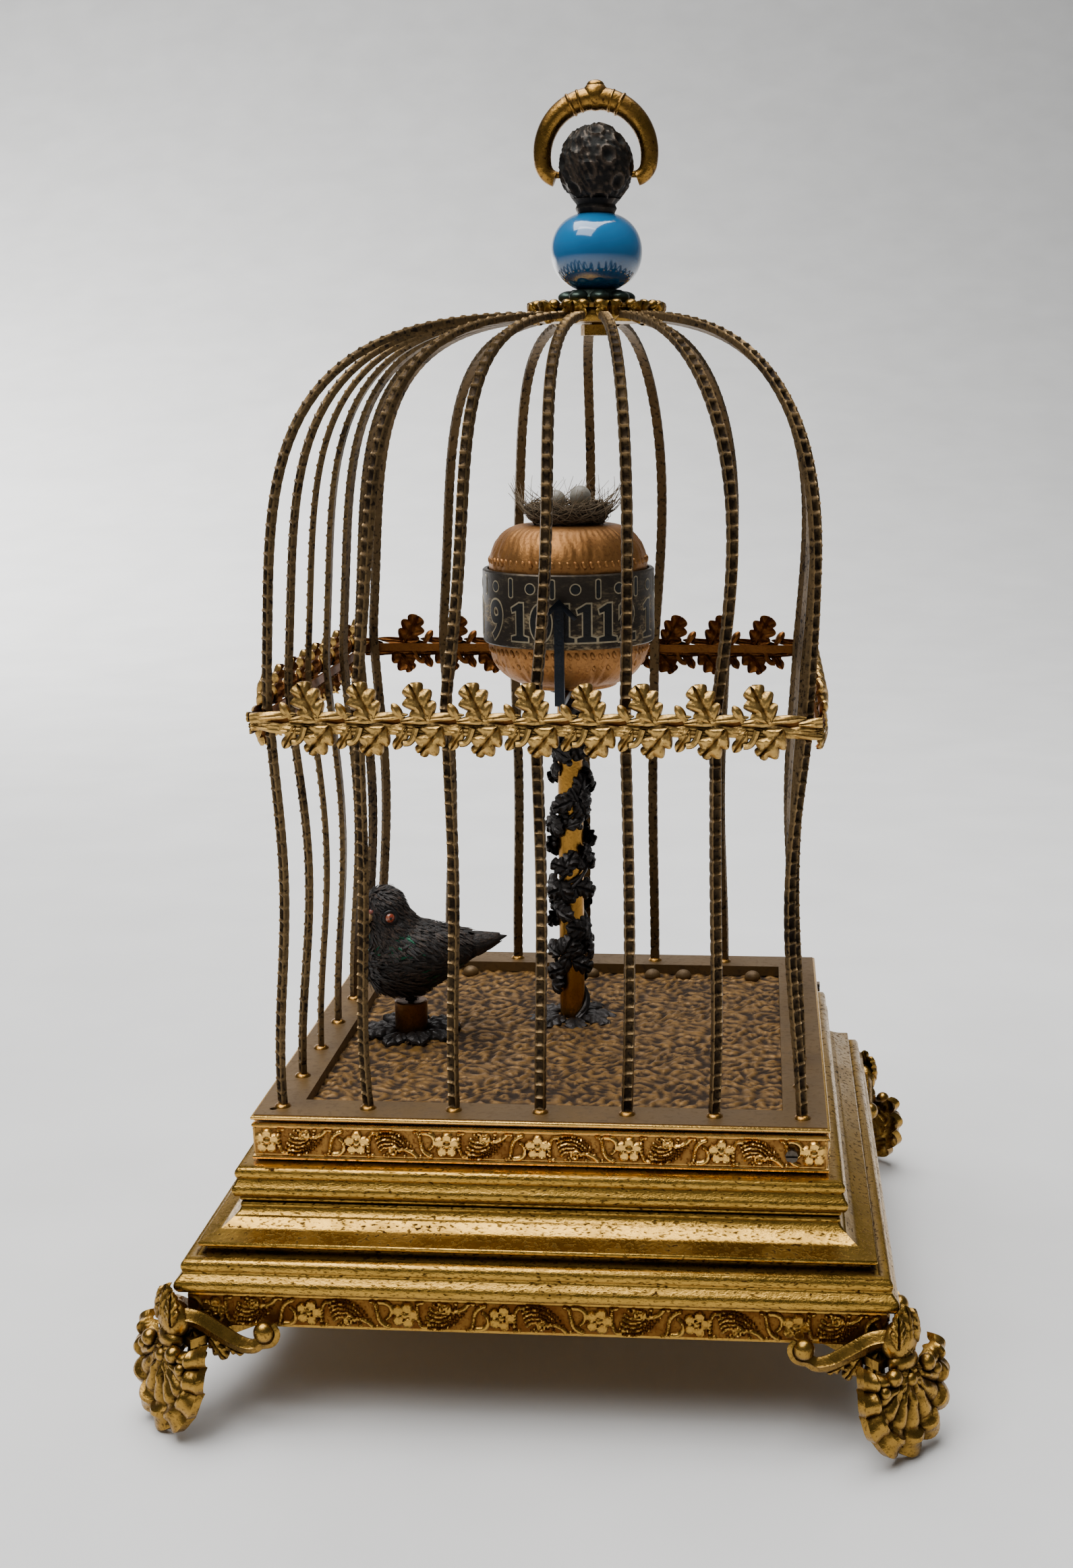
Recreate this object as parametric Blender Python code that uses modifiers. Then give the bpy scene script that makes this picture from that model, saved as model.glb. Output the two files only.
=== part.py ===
"""Birdcage timepiece with a moving bird, modelled as its separate pieces.

A square gilt cage of beaded bars stands on a stepped brass base with four cast
corner feet. A post behind the middle carries a globe whose numeral band turns
past a fixed arrow. A bird stands on a short perch at the left. The movement
hangs under the floor, with the winding key and the setting knob below it.

Metres, +Z up. The origin is on the table, under the middle of the base.
The front is towards -Y. Sizes are halves where a name ends in HALF.
"""
import math

import bmesh
import bpy
from mathutils import Matrix, Vector

# Fits between neighbouring pieces
GAP = 0.0003
RUNNING_GAP = 0.0003
WELD = 0.00001
SHARP_ANGLE = math.radians(35)

# Base, from the table up
BASE_BOTTOM_Z = 0.0132
LOWER_FRIEZE_HALF = 0.0445
LOWER_FRIEZE_HEIGHT = 0.0044
FRIEZE_STOCK = 0.0005
LOWER_MOULDING_PROUD = 0.0015
LOWER_MOULDING_HEIGHT = 0.0045
LOWER_BEAD_RADIUS = 0.0011
LOWER_BEAD_STEP = 0.0008
COVE_FOOT_INSET = 0.0026
COVE_FOOT_RISE = 0.0015
COVE_HEIGHT = 0.0033
COVE_SAG = 0.0009
NECK_PROUD = 0.0009
NECK_HEIGHT = 0.0012
UPPER_MOULDING_PROUD = 0.0027
UPPER_MOULDING_HEIGHT = 0.0042
UPPER_BEAD_RADIUS = 0.0010
UPPER_BEAD_STEP = 0.0004
UPPER_FRIEZE_HALF = 0.0370
UPPER_FRIEZE_HEIGHT = 0.0050
UPPER_FRIEZE_BEAD = 0.0003
SHELL_WALL = 0.0010
SHELL_LEDGE = 0.0010

# Rim plate and sunk floor
RIM_THICKNESS = 0.0008
RECESS_INSET = 0.0056
RECESS_LIP = 0.0007
FLOOR_DROP = 0.0019
FLOOR_THICKNESS = 0.0008
RIM_HOLE_RADIUS = 0.0005
RIM_HOLE_INSET = 0.0021

# Bottom plate
BOTTOM_PLATE_THICKNESS = 0.0010
SOUND_SLOT_LENGTH = 0.0160
SOUND_SLOT_WIDTH = 0.0018
SOUND_SLOT_PITCH = 0.0050
SOUND_SLOT_COUNT = 4
SOUND_SLOTS_X = -0.0170
SOUND_SLOTS_Y = -0.0220

# Feet: cast corner brackets with a shell below and two scrolls
FOOT_SHELL_REACH = 0.0025
FOOT_SHELL_TILT = math.radians(-10)
FOOT_SHELL_SIDE = 0.0066
FOOT_SHELL_DROP = 0.0122
FOOT_SHELL_THICKNESS = 0.0022
FOOT_SHELL_LOBES = 9
FOOT_SHELL_LOBE_POINTS = 3
FOOT_SHELL_LOBE_DEPTH = 0.0007
FOOT_SHELL_SWEEP = math.radians(210)
FOOT_SHELL_TAPER = 1.5
FOOT_KNUCKLE_RADIUS = 0.0022
FOOT_KNUCKLE_LIFT = 0.0018
FOOT_ARM_RADIUS = 0.0010
FOOT_ARM_LENGTH = 0.0122
FOOT_ARM_DROP = 0.0033
FOOT_VOLUTE_RADIUS = 0.0016
FOOT_VOLUTE_RISE = 0.0020
FOOT_LEAF_DEPTH = 0.0045
FOOT_LEAF_THICKNESS = 0.0014
FOOT_BERRY_RADIUS = 0.0018
FOOT_BERRY_INSET = 0.0007
FOOT_BERRY_DROP = 0.0050
FOOT_LUG_THICKNESS = 0.0012
FOOT_LUG_HALF_WIDTH = 0.0035
FOOT_LUG_REACH = 0.0112
FOOT_STUD_RADIUS = 0.0009
FOOT_STUD_INSET = 0.0025

# Scroll arm and its leaf: shares of the arm's length, and of its drop or the
# leaf's depth, from the corner outwards
FOOT_ARM_SHARES = ((0.0, 0.8), (0.2, 1.0), (0.45, 0.65), (0.7, 0.1), (0.9, 0.0), (1.0, 0.4))
FOOT_LEAF_SHARES = ((0.0, -1.2), (0.35, -0.8), (0.50, -0.9), (0.65, -0.5), (0.80, -0.4), (0.75, 0.0))
FOOT_LEAF_TOP_SHARES = (0.4, 0.6)

# Slotted screws through the upper frieze, front and right
CASE_SCREW_INSET = 0.0045
CASE_SCREW_SHANK = 0.0005
CASE_SCREW_HEAD = 0.00085
CASE_SCREW_HEAD_HEIGHT = 0.0005
CASE_SCREW_INSIDE = 0.0006
SCREW_SLOT_WIDTH = 0.0003
SCREW_SLOT_DEPTH = 0.00025

# Cage bars: each lies in the upright plane through its foot and the crown
BAR_INSET = 0.0031
BARS_PER_SIDE = 7
BAR_WIDTH = 0.0013
BAR_THICKNESS = 0.0008
BAR_WAIST = 0.043
BAR_WAIST_HEIGHT = 0.0577
BAR_WAIST_STEPS = 4
DOME_START_RISE = 0.0607
DOME_HEIGHT = 0.0407
DOME_POWER = 3.2
DOME_STEPS = 7
CROWN_LEAN = 0.0052
DOME_SWAY = 0.0012

# How far each front bar is bent to the right, from the left one on
FRONT_WAIST_BENDS = (-0.00075, -0.0013, -0.0004, 0.0001, 0.00055, 0.00075, -0.00075)
FRONT_DOME_BENDS = (-0.00025, 0.0007, 0.0010, 0.00035, -0.0009, 0.00075, -0.0005)

# Strips that tie each side's bars, and the leaf belt over them
STRIP_PROUD = 0.0003
STRIP_HEIGHT = 0.0024
STRIP_OVERHANG = 0.0012
BELT_RISE = 0.0512
BELT_BAND_THICKNESS = 0.0008
BELT_BAND_HEIGHT = 0.0024
BELT_ROOT_SHARE = 0.7
BELT_LEAF_THICKNESS = 0.0004
BELT_LEAF_UP = 0.0054
BELT_LEAF_DOWN = 0.0040
BELT_LEAF_PITCH = 0.0069

# One leaf above and one below the stem: shares of the pitch and of the leaf
BELT_UPPER_SHARES = ((0.10, 0.0), (0.40, 1.0), (0.75, 0.0))
BELT_LOWER_SHARES = ((0.30, 0.0), (0.65, 1.0), (0.95, 0.0))

# Crown
CROWN_PLATE_RADIUS = 0.0096
CROWN_PLATE_THICKNESS = 0.0006
CROWN_SCALLOPS = 12
CROWN_SCALLOP_DEPTH = 0.0006
CROWN_HUB_RADIUS = 0.0088
CROWN_HUB_HEIGHT = 0.0016
PETAL_COUNT = 6
PETAL_RADIUS = 0.0052
PETAL_DEPTH = 0.0012
PETAL_HEIGHT = 0.0016
OPALINE_RADIUS = 0.0062
OPALINE_HEIGHT = 0.0098
FILIGREE_RADIUS = 0.0052
FILIGREE_HEIGHT = 0.0102
FILIGREE_NECK_RADIUS = 0.0024
FILIGREE_NECK_HEIGHT = 0.0010
SPINDLE_RADIUS = 0.0009
SPINDLE_NUT_RADIUS = 0.0022
SPINDLE_NUT_HEIGHT = 0.0014
SPINDLE_INTO_FILIGREE = 0.0045
BEAD_STEPS = 6

# Bow: the hanging ring that swings on two pins in the filigree bead
BOW_RADIUS = 0.0076
BOW_STOCK = 0.00125
BOW_HOOK_RADIUS = 0.0021
BOW_PIVOT_DROP = 0.0023
BOW_PIVOT_BELOW_MIDDLE = 0.0013
BOW_PIN_RADIUS = 0.00045
BOW_PIN_REACH = 0.0016
BOW_KNOB_RADIUS = 0.0019
BOW_KNOB_LIFT = 0.0004
BOW_COLLAR_RADIUS = 0.0017
BOW_COLLAR_WIDTH = 0.0006
BOW_COLLAR_ANGLE = math.radians(21)

# Post and globe
POST_Y = 0.0100
POST_RADIUS = 0.00187
POST_BORE = 0.0011
POST_HEIGHT = 0.0512
ARBOR_RADIUS = 0.0007
ROOT_LEAF_RADIUS = 0.0060
ROOT_LEAF_COUNT = 6
LEAF_RING_THICKNESS = 0.0005
LEAF_RING_BAND = 0.0010
VINE_RADIUS = 0.00040
VINE_TURNS = 4.5
VINE_POINTS_PER_TURN = 7
VINE_START_RISE = 0.0024
VINE_END_DROP = 0.0030
VINE_LEAF_COUNT = 10
VINE_LEAF_LENGTH = 0.0017
VINE_LEAF_WIDTH = 0.0010
VINE_LEAF_THICKNESS = 0.0004
BOWL_BASE_RADIUS = 0.0056
BOWL_HEIGHT = 0.0063
BAND_RADIUS = 0.01245
BAND_WALL = 0.0007
BAND_HEIGHT = 0.0105
GLOBE_WALL = 0.0008
GLOBE_LAP = 0.0012
GLOBE_STEPS = 4
CAP_SHOULDER_RADIUS = 0.0113
CAP_TOP_RADIUS = 0.0063
CAP_HEIGHT = 0.0059
NEST_RADIUS = 0.0062
NEST_HEIGHT = 0.0034
NEST_HOLLOW_RADIUS = 0.0040
NEST_HOLLOW_DEPTH = 0.0020
NEST_FLOOR_RADIUS = 0.0024
EGG_RADIUS = 0.0015
EGG_LENGTH = 0.0019
ARBOR_NUT_RADIUS = 0.0014
ARBOR_NUT_HEIGHT = 0.0006

# Fixed arrow
POINTER_GAP = 0.0010
POINTER_THICKNESS = 0.0006
POINTER_WIDTH = 0.0015
POINTER_HEAD_WIDTH = 0.0048
POINTER_HEIGHT = 0.0150
POINTER_HEAD_HEIGHT = 0.0027
POINTER_NOTCH = 0.0012
POINTER_BRACKET_HEIGHT = 0.0010
POINTER_COLLAR_WALL = 0.0008

# Perch
PERCH_X = -0.0231
PERCH_Y = 0.0010
PERCH_RADIUS = 0.0024
PERCH_BORE = 0.0009
PERCH_HEIGHT = 0.0053
PERCH_SPIGOT_RADIUS = 0.0019
PERCH_SPIGOT_LENGTH = 0.0016
PERCH_LEAF_RADIUS = 0.0062
PERCH_LEAF_COUNT = 7

# Bird: its own -X is ahead
BIRD_YAW = math.radians(12)
BIRD_BREAST_REACH = 0.0065
BIRD_BODY_LENGTH = 0.0200
BIRD_BODY_SKEW = 1.3
BIRD_BODY_HALF_HEIGHT = 0.0059
BIRD_BODY_HALF_WIDTH = 0.0052
BIRD_TAIL_RISE = 0.0034
BIRD_RUMP_X = 0.0082
BIRD_RUMP_SHARE = 0.51
BIRD_TAPER_START = 0.0005
BIRD_HEAD_AHEAD = 0.0035
BIRD_HEAD_LIFT = 0.0073
BIRD_HEAD_HALF_HEIGHT = 0.0040
BIRD_HEAD_HALF_WIDTH = 0.0033
BIRD_HEAD_TURN = math.radians(40)
EYE_RADIUS = 0.00075
EYE_AZIMUTH = math.radians(62)
EYE_PROUD = 0.0003
BEAK_RADIUS = 0.0013
BEAK_LENGTH = 0.0024
BEAK_DROP = 0.0006
BEAK_PITCH = math.radians(53)
BEAK_TIP_SHARE = 0.2
BEAK_SIDES = 8
TAIL_GAP = 0.0009
TAIL_LENGTH = 0.0053
TAIL_PITCH = math.radians(12)
TAIL_ROOT_HALF_WIDTH = 0.0022
TAIL_ROOT_HALF_HEIGHT = 0.0022
TAIL_TIP_SHARE = 0.15
BIRD_ROD_RADIUS = 0.0005
BIRD_ROD_INTO_BODY = 0.0035
BIRD_LEVER_LENGTH = 0.0080
BIRD_LEVER_WIDTH = 0.0022
BIRD_LEVER_THICKNESS = 0.0008
BIRD_LEVER_LEVEL = 0.0093
BIRD_ROD_LEVEL = 0.0010

# Movement plates; a LEVEL is a height above the lower plate
PLATE_INSET = 0.0052
PLATE_THICKNESS = 0.0010
PLATE_SPACING = 0.0130
UPPER_PLATE_DROP = 0.0048
PILLAR_INSET = 0.0030
PILLAR_RADIUS = 0.0018
PILLAR_NECK_RADIUS = 0.0010

# Wheels, with tooth shape in modules and in shares of the tooth pitch
GEAR_MODULE = 0.00075
TOOTH_ADDENDUM = 0.80
TOOTH_DEDENDUM = 1.15
TIP_SHARE = 0.10
ROOT_SHARE = 0.25
GEAR_THICKNESS = 0.0012
GEAR_LEVEL = 0.0085
HOUR_TEETH = 24
BARREL_TEETH = 32
BARREL_RADIUS = 0.0104
BARREL_LEVEL = 0.0008
BARREL_ANGLE = math.radians(-36)
THIRD_PINION_TEETH = 8
THIRD_WHEEL_TEETH = 20
THIRD_WHEEL_LEVEL = 0.0040
THIRD_ANGLE = math.radians(120)
ESCAPE_PINION_TEETH = 8
ESCAPE_WHEEL_TEETH = 15
ESCAPE_WHEEL_RADIUS = 0.0043
ESCAPE_TOOTH_DEPTH = 0.0006
ESCAPE_ANGLE = math.radians(180)
CAM_TEETH = 16
CAM_ANGLE = math.radians(198)
CAM_RADIUS = 0.0040
CAM_THROW = 0.0008
CAM_GAP = 0.0008
PIVOT_RADIUS = 0.0005
BALANCE_X = -0.0215
BALANCE_Y = 0.0115
BALANCE_RADIUS = 0.0054
BALANCE_RIM = 0.0009
BALANCE_LEVEL = 0.0065
BALANCE_THICKNESS = 0.0008

# Winding key and setting knob, under the base
KEY_ARBOR_RADIUS = 0.0012
KEY_ABOVE_TABLE = 0.0040
KEY_BOW_RADIUS = 0.0042
KEY_BOW_SPREAD = 0.0034
KEY_BOW_THICKNESS = 0.0012
KEY_BOSS_RADIUS = 0.0018
KEY_BOSS_DROP = 0.0017
KNOB_RADIUS = 0.0036
KNOB_THICKNESS = 0.0022
KNOB_DROP = 0.0033
KNOB_FLUTES = 12
KNOB_FLUTE_DEPTH = 0.0005

# Song works
BELLOWS_X = -0.0150
BELLOWS_Y = -0.0205
BELLOWS_LENGTH = 0.0170
BELLOWS_WIDTH = 0.0130
BELLOWS_BOARD = 0.0008
BELLOWS_HEIGHT = 0.0060
BELLOWS_INSET = 0.0010
WHISTLE_LENGTH = 0.0260
WHISTLE_RADIUS = 0.0017
WHISTLE_BORE = 0.0011
PISTON_RADIUS = 0.0008
PISTON_LENGTH = 0.0110
PISTON_OUT = 0.0050

# Turned pieces are drawn with this many sides
SIDES_LARGE = 20
SIDES_MEDIUM = 14
SIDES_SMALL = 8
SQUARE_SIDES = 4

# Colour, metallic, roughness
GILT = ((0.80, 0.58, 0.22), 1.0, 0.30)
OLD_GILT = ((0.55, 0.40, 0.18), 1.0, 0.45)
BAR_BRASS = ((0.34, 0.25, 0.13), 1.0, 0.45)
DUSTY_BRASS = ((0.40, 0.29, 0.14), 0.8, 0.65)
COPPER_GILT = ((0.78, 0.50, 0.24), 1.0, 0.42)
GUNMETAL = ((0.14, 0.13, 0.12), 0.9, 0.50)
BLUED_STEEL = ((0.05, 0.07, 0.09), 0.9, 0.35)
DARK_BRONZE = ((0.09, 0.08, 0.07), 0.8, 0.50)
GREEN_BRONZE = ((0.13, 0.16, 0.12), 0.7, 0.60)
OPALINE_BLUE = ((0.05, 0.38, 0.68), 0.0, 0.08)
DARK_STEEL = ((0.16, 0.14, 0.12), 1.0, 0.45)
CLOCK_BRASS = ((0.72, 0.56, 0.28), 1.0, 0.35)
CLOCK_STEEL = ((0.55, 0.56, 0.58), 1.0, 0.30)
NEST_FIBRE = ((0.34, 0.24, 0.12), 0.0, 0.90)
EGG_WHITE = ((0.82, 0.78, 0.68), 0.0, 0.45)
BIRD_DARK = ((0.05, 0.06, 0.05), 0.0, 0.75)
BEAK_CREAM = ((0.78, 0.62, 0.38), 0.0, 0.50)
EYE_RED = ((0.70, 0.16, 0.08), 0.0, 0.15)
LEATHER = ((0.62, 0.46, 0.34), 0.0, 0.80)
WALNUT = ((0.26, 0.16, 0.09), 0.0, 0.60)

# Heights that follow from the sizes above, from the table up
BOTTOM_PLATE_Z = BASE_BOTTOM_Z + GAP
BOTTOM_PLATE_TOP_Z = BOTTOM_PLATE_Z + BOTTOM_PLATE_THICKNESS
LOWER_FRIEZE_TOP_Z = BASE_BOTTOM_Z + LOWER_FRIEZE_HEIGHT
LOWER_MOULDING_Z = LOWER_FRIEZE_TOP_Z + GAP
LOWER_MOULDING_TOP_Z = LOWER_MOULDING_Z + LOWER_MOULDING_HEIGHT
COVE_FOOT_Z = LOWER_MOULDING_TOP_Z + COVE_FOOT_RISE
NECK_BOTTOM_Z = COVE_FOOT_Z + COVE_HEIGHT
NECK_TOP_Z = NECK_BOTTOM_Z + NECK_HEIGHT
UPPER_MOULDING_TOP_Z = NECK_TOP_Z + UPPER_MOULDING_HEIGHT
UPPER_FRIEZE_Z = UPPER_MOULDING_TOP_Z + GAP
SHELL_TOP_Z = UPPER_FRIEZE_Z + UPPER_FRIEZE_HEIGHT
RIM_BOTTOM_Z = SHELL_TOP_Z + GAP
RIM_TOP_Z = RIM_BOTTOM_Z + RIM_THICKNESS
FLOOR_TOP_Z = RIM_TOP_Z - FLOOR_DROP
FLOOR_BOTTOM_Z = FLOOR_TOP_Z - FLOOR_THICKNESS
BAR_FOOT_Z = RIM_TOP_Z + GAP
BELT_Z = RIM_TOP_Z + BELT_RISE
DOME_TOP_Z = RIM_TOP_Z + DOME_START_RISE + DOME_HEIGHT
CROWN_PLATE_Z = DOME_TOP_Z + BAR_THICKNESS / 2 + GAP
CROWN_PLATE_TOP_Z = CROWN_PLATE_Z + CROWN_PLATE_THICKNESS
CROWN_HUB_Z = CROWN_PLATE_Z - CROWN_HUB_HEIGHT
PETAL_Z = CROWN_PLATE_TOP_Z + GAP
OPALINE_Z = PETAL_Z + PETAL_HEIGHT + GAP
FILIGREE_NECK_Z = OPALINE_Z + OPALINE_HEIGHT + GAP
FILIGREE_Z = FILIGREE_NECK_Z + FILIGREE_NECK_HEIGHT
BOW_PIVOT_Z = FILIGREE_Z + FILIGREE_HEIGHT / 2 - BOW_PIVOT_BELOW_MIDDLE
BOW_CENTRE_Z = BOW_PIVOT_Z + BOW_PIVOT_DROP
POST_TOP_Z = FLOOR_TOP_Z + POST_HEIGHT
BOWL_BOTTOM_Z = POST_TOP_Z + GAP
BAND_BOTTOM_Z = BOWL_BOTTOM_Z + BOWL_HEIGHT
BAND_TOP_Z = BAND_BOTTOM_Z + BAND_HEIGHT
CAP_TOP_Z = BAND_TOP_Z + GAP + CAP_HEIGHT
NEST_Z = CAP_TOP_Z + GAP
NEST_FLOOR_Z = NEST_Z + NEST_HEIGHT - NEST_HOLLOW_DEPTH
PERCH_TOP_Z = FLOOR_TOP_Z + PERCH_HEIGHT
BIRD_MIDDLE_Z = PERCH_TOP_Z + GAP + BIRD_BODY_HALF_HEIGHT
BIRD_ROD_TOP_Z = PERCH_TOP_Z + GAP + BIRD_ROD_INTO_BODY
UPPER_PLATE_TOP_Z = FLOOR_BOTTOM_Z - UPPER_PLATE_DROP
UPPER_PLATE_Z = UPPER_PLATE_TOP_Z - PLATE_THICKNESS
LOWER_PLATE_TOP_Z = UPPER_PLATE_Z - PLATE_SPACING
LOWER_PLATE_Z = LOWER_PLATE_TOP_Z - PLATE_THICKNESS
GEAR_Z = LOWER_PLATE_TOP_Z + GEAR_LEVEL
THIRD_WHEEL_Z = LOWER_PLATE_TOP_Z + THIRD_WHEEL_LEVEL
BELLOWS_Z = LOWER_PLATE_TOP_Z + GAP
WHISTLE_Z = LOWER_PLATE_TOP_Z + GAP + WHISTLE_RADIUS
KNOB_Z = BASE_BOTTOM_Z - KNOB_DROP - KNOB_THICKNESS

# Widths and fits that follow
LOWER_MOULDING_HALF = LOWER_FRIEZE_HALF + LOWER_MOULDING_PROUD
COVE_FOOT_HALF = LOWER_MOULDING_HALF - COVE_FOOT_INSET
NECK_HALF = UPPER_FRIEZE_HALF + NECK_PROUD
UPPER_MOULDING_HALF = UPPER_FRIEZE_HALF + UPPER_MOULDING_PROUD
RIM_HALF = UPPER_FRIEZE_HALF
RECESS_HALF = RIM_HALF - RECESS_INSET
BAR_HALF_SPACING = RIM_HALF - BAR_INSET
CASE_SCREW_ALONG = UPPER_FRIEZE_HALF - CASE_SCREW_INSET
SHELL_NECK_HALF = UPPER_FRIEZE_HALF - FRIEZE_STOCK - GAP
PLATE_HALF = SHELL_NECK_HALF - SHELL_WALL - SHELL_LEDGE - PLATE_INSET
SHELL_FOOT_HALF = LOWER_FRIEZE_HALF - FRIEZE_STOCK - GAP
ARBOR_HOLE = ARBOR_RADIUS + RUNNING_GAP
KEY_HOLE = KEY_ARBOR_RADIUS + RUNNING_GAP
SPINDLE_HOLE = SPINDLE_RADIUS + GAP
BAR_END_RADIUS = CROWN_HUB_RADIUS + GAP
BOW_END_X = FILIGREE_RADIUS + GAP
FOOT_LINE = LOWER_FRIEZE_HALF + GAP + FOOT_VOLUTE_RADIUS
FOOT_SHELL_RADIUS = LOWER_FRIEZE_HALF * math.sqrt(2) + FOOT_SHELL_REACH
FOOT_LUG_TOP_Z = BASE_BOTTOM_Z - GAP
FOOT_LUG_Z = FOOT_LUG_TOP_Z - FOOT_LUG_THICKNESS
FOOT_KNUCKLE_Z = BASE_BOTTOM_Z + FOOT_KNUCKLE_LIFT
FOOT_STUD_DIAGONAL = FOOT_SHELL_RADIUS - FOOT_LUG_REACH + FOOT_STUD_INSET

# Axes
ORIGIN = Vector((0.0, 0.0, 0.0))
POST_AT = Vector((0.0, POST_Y, 0.0))
PERCH_AT = Vector((PERCH_X, PERCH_Y, 0.0))
CROWN_AT = Vector((CROWN_LEAN, 0.0, 0.0))
BALANCE_AT = Vector((BALANCE_X, BALANCE_Y, 0.0))
BIRD_FRAME = Matrix.Translation(PERCH_AT) @ Matrix.Rotation(BIRD_YAW, 4, "Z")
BIRD_HEAD_AT = Vector((-BIRD_HEAD_AHEAD, 0.0, BIRD_MIDDLE_Z + BIRD_HEAD_LIFT))
BEAK_TURN = Matrix.Rotation(BIRD_HEAD_TURN, 4, "Z")


def polar(radius, angle):
    """Level vector of a length at an angle."""
    return Vector((radius * math.cos(angle), radius * math.sin(angle), 0.0))


def meshed_at(start, teeth, other_teeth, angle):
    """Middle of a gear that meshes with the one at start."""
    return start + polar(GEAR_MODULE * (teeth + other_teeth) / 2, angle)


def meshed_phase(phase, teeth, other_teeth, angle):
    """Turn of the second gear that sets its gap before the first's tooth."""
    shift = (phase - angle) * teeth / other_teeth
    return angle + math.pi - shift + math.pi / other_teeth


BARREL_AT = meshed_at(POST_AT, HOUR_TEETH, BARREL_TEETH, BARREL_ANGLE)
BARREL_PHASE = meshed_phase(0.0, HOUR_TEETH, BARREL_TEETH, BARREL_ANGLE)
THIRD_AT = meshed_at(POST_AT, HOUR_TEETH, THIRD_PINION_TEETH, THIRD_ANGLE)
THIRD_PHASE = meshed_phase(0.0, HOUR_TEETH, THIRD_PINION_TEETH, THIRD_ANGLE)
ESCAPE_AT = meshed_at(THIRD_AT, THIRD_WHEEL_TEETH, ESCAPE_PINION_TEETH, ESCAPE_ANGLE)
ESCAPE_PHASE = meshed_phase(0.0, THIRD_WHEEL_TEETH, ESCAPE_PINION_TEETH, ESCAPE_ANGLE)
CAM_AT = meshed_at(BARREL_AT, BARREL_TEETH, CAM_TEETH, CAM_ANGLE)
CAM_PHASE = meshed_phase(BARREL_PHASE, BARREL_TEETH, CAM_TEETH, CAM_ANGLE)


def new_collection(name):
    """Make a collection in the scene."""
    group = bpy.data.collections.new(name)
    bpy.context.scene.collection.children.link(group)
    return group


def material(name, finish):
    """Make one piece's own material."""
    colour, metallic, roughness = finish
    made = bpy.data.materials.new(name)
    made.use_nodes = True
    shader = made.node_tree.nodes["Principled BSDF"]
    shader.inputs["Base Color"].default_value = (*colour, 1.0)
    shader.inputs["Metallic"].default_value = metallic
    shader.inputs["Roughness"].default_value = roughness
    return made


def working_shape(data, place=ORIGIN):
    """Put mesh or curve data aside as a shape to join or cut with."""
    shape = bpy.data.objects.new("shape", data)
    shape.location = place
    shape.hide_render = True
    shape.display_type = "WIRE"
    SHAPES.objects.link(shape)
    return shape


def evaluated_mesh(shape):
    """Mesh of a shape in world space, with its caps welded."""
    bpy.context.view_layer.update()
    graph = bpy.context.evaluated_depsgraph_get()
    mesh = bpy.data.meshes.new_from_object(shape.evaluated_get(graph))
    work = bmesh.new()
    work.from_mesh(mesh)
    work.transform(shape.matrix_world)
    bmesh.ops.remove_doubles(work, verts=work.verts, dist=WELD)
    if shape.matrix_world.determinant() < 0:
        bmesh.ops.reverse_faces(work, faces=work.faces)
    work.to_mesh(mesh)
    work.free()
    return mesh


def plain(shape):
    """Replace a shape by its plain mesh."""
    mesh = evaluated_mesh(shape)
    bpy.data.objects.remove(shape, do_unlink=True)
    return working_shape(mesh)


def combined(shape, other, operation):
    """Join or cut a shape with another, which is used up."""
    first = plain(shape)
    second = plain(other)
    step = first.modifiers.new(operation.lower(), "BOOLEAN")
    step.operation = operation
    step.solver = "EXACT"
    step.object = second
    result = plain(first)
    bpy.data.objects.remove(second, do_unlink=True)
    return result


def piece(name, shapes, finish, origin=ORIGIN, cuts=()):
    """Join shapes, cut others out, and keep the result as a named piece."""
    whole = plain(shapes[0])
    for shape in shapes[1:]:
        whole = combined(whole, shape, "UNION")
    for cutter in cuts:
        whole = combined(whole, cutter, "DIFFERENCE")
    mesh = whole.data
    bpy.data.objects.remove(whole, do_unlink=True)
    mesh.transform(Matrix.Translation(-origin))
    mesh.shade_smooth()
    mesh.set_sharp_from_angle(angle=SHARP_ANGLE)
    mesh.name = name
    mesh.materials.clear()
    mesh.materials.append(material(name, finish))
    made = bpy.data.objects.new(name, mesh)
    made.location = origin
    PARTS.objects.link(made)
    return made


def from_bmesh(fill, place=ORIGIN):
    """Make a shape from a function that fills a bmesh."""
    work = bmesh.new()
    fill(work)
    mesh = bpy.data.meshes.new("shape")
    work.to_mesh(mesh)
    work.free()
    return working_shape(mesh, place)


def block(size, centre):
    """Box from its size and its middle."""

    def fill(work):
        bmesh.ops.create_cube(work, size=1.0)
        bmesh.ops.scale(work, vec=size, verts=work.verts)

    return from_bmesh(fill, centre)


def rod(radius, low, high, at=ORIGIN, sides=SIDES_SMALL, top_share=1.0):
    """Upright round bar between two heights, or a cone."""

    def fill(work):
        bmesh.ops.create_cone(
            work,
            cap_ends=True,
            segments=sides,
            radius1=radius,
            radius2=radius * top_share,
            depth=high - low,
        )

    return from_bmesh(fill, Vector((at.x, at.y, (low + high) / 2)))


def ball(radius, at=ORIGIN, stretch=(1.0, 1.0, 1.0), segments=SIDES_SMALL, rings=6):
    """Sphere or ellipsoid."""

    def fill(work):
        bmesh.ops.create_uvsphere(work, u_segments=segments, v_segments=rings, radius=radius)
        bmesh.ops.scale(work, vec=stretch, verts=work.verts)

    return from_bmesh(fill, at)


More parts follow.
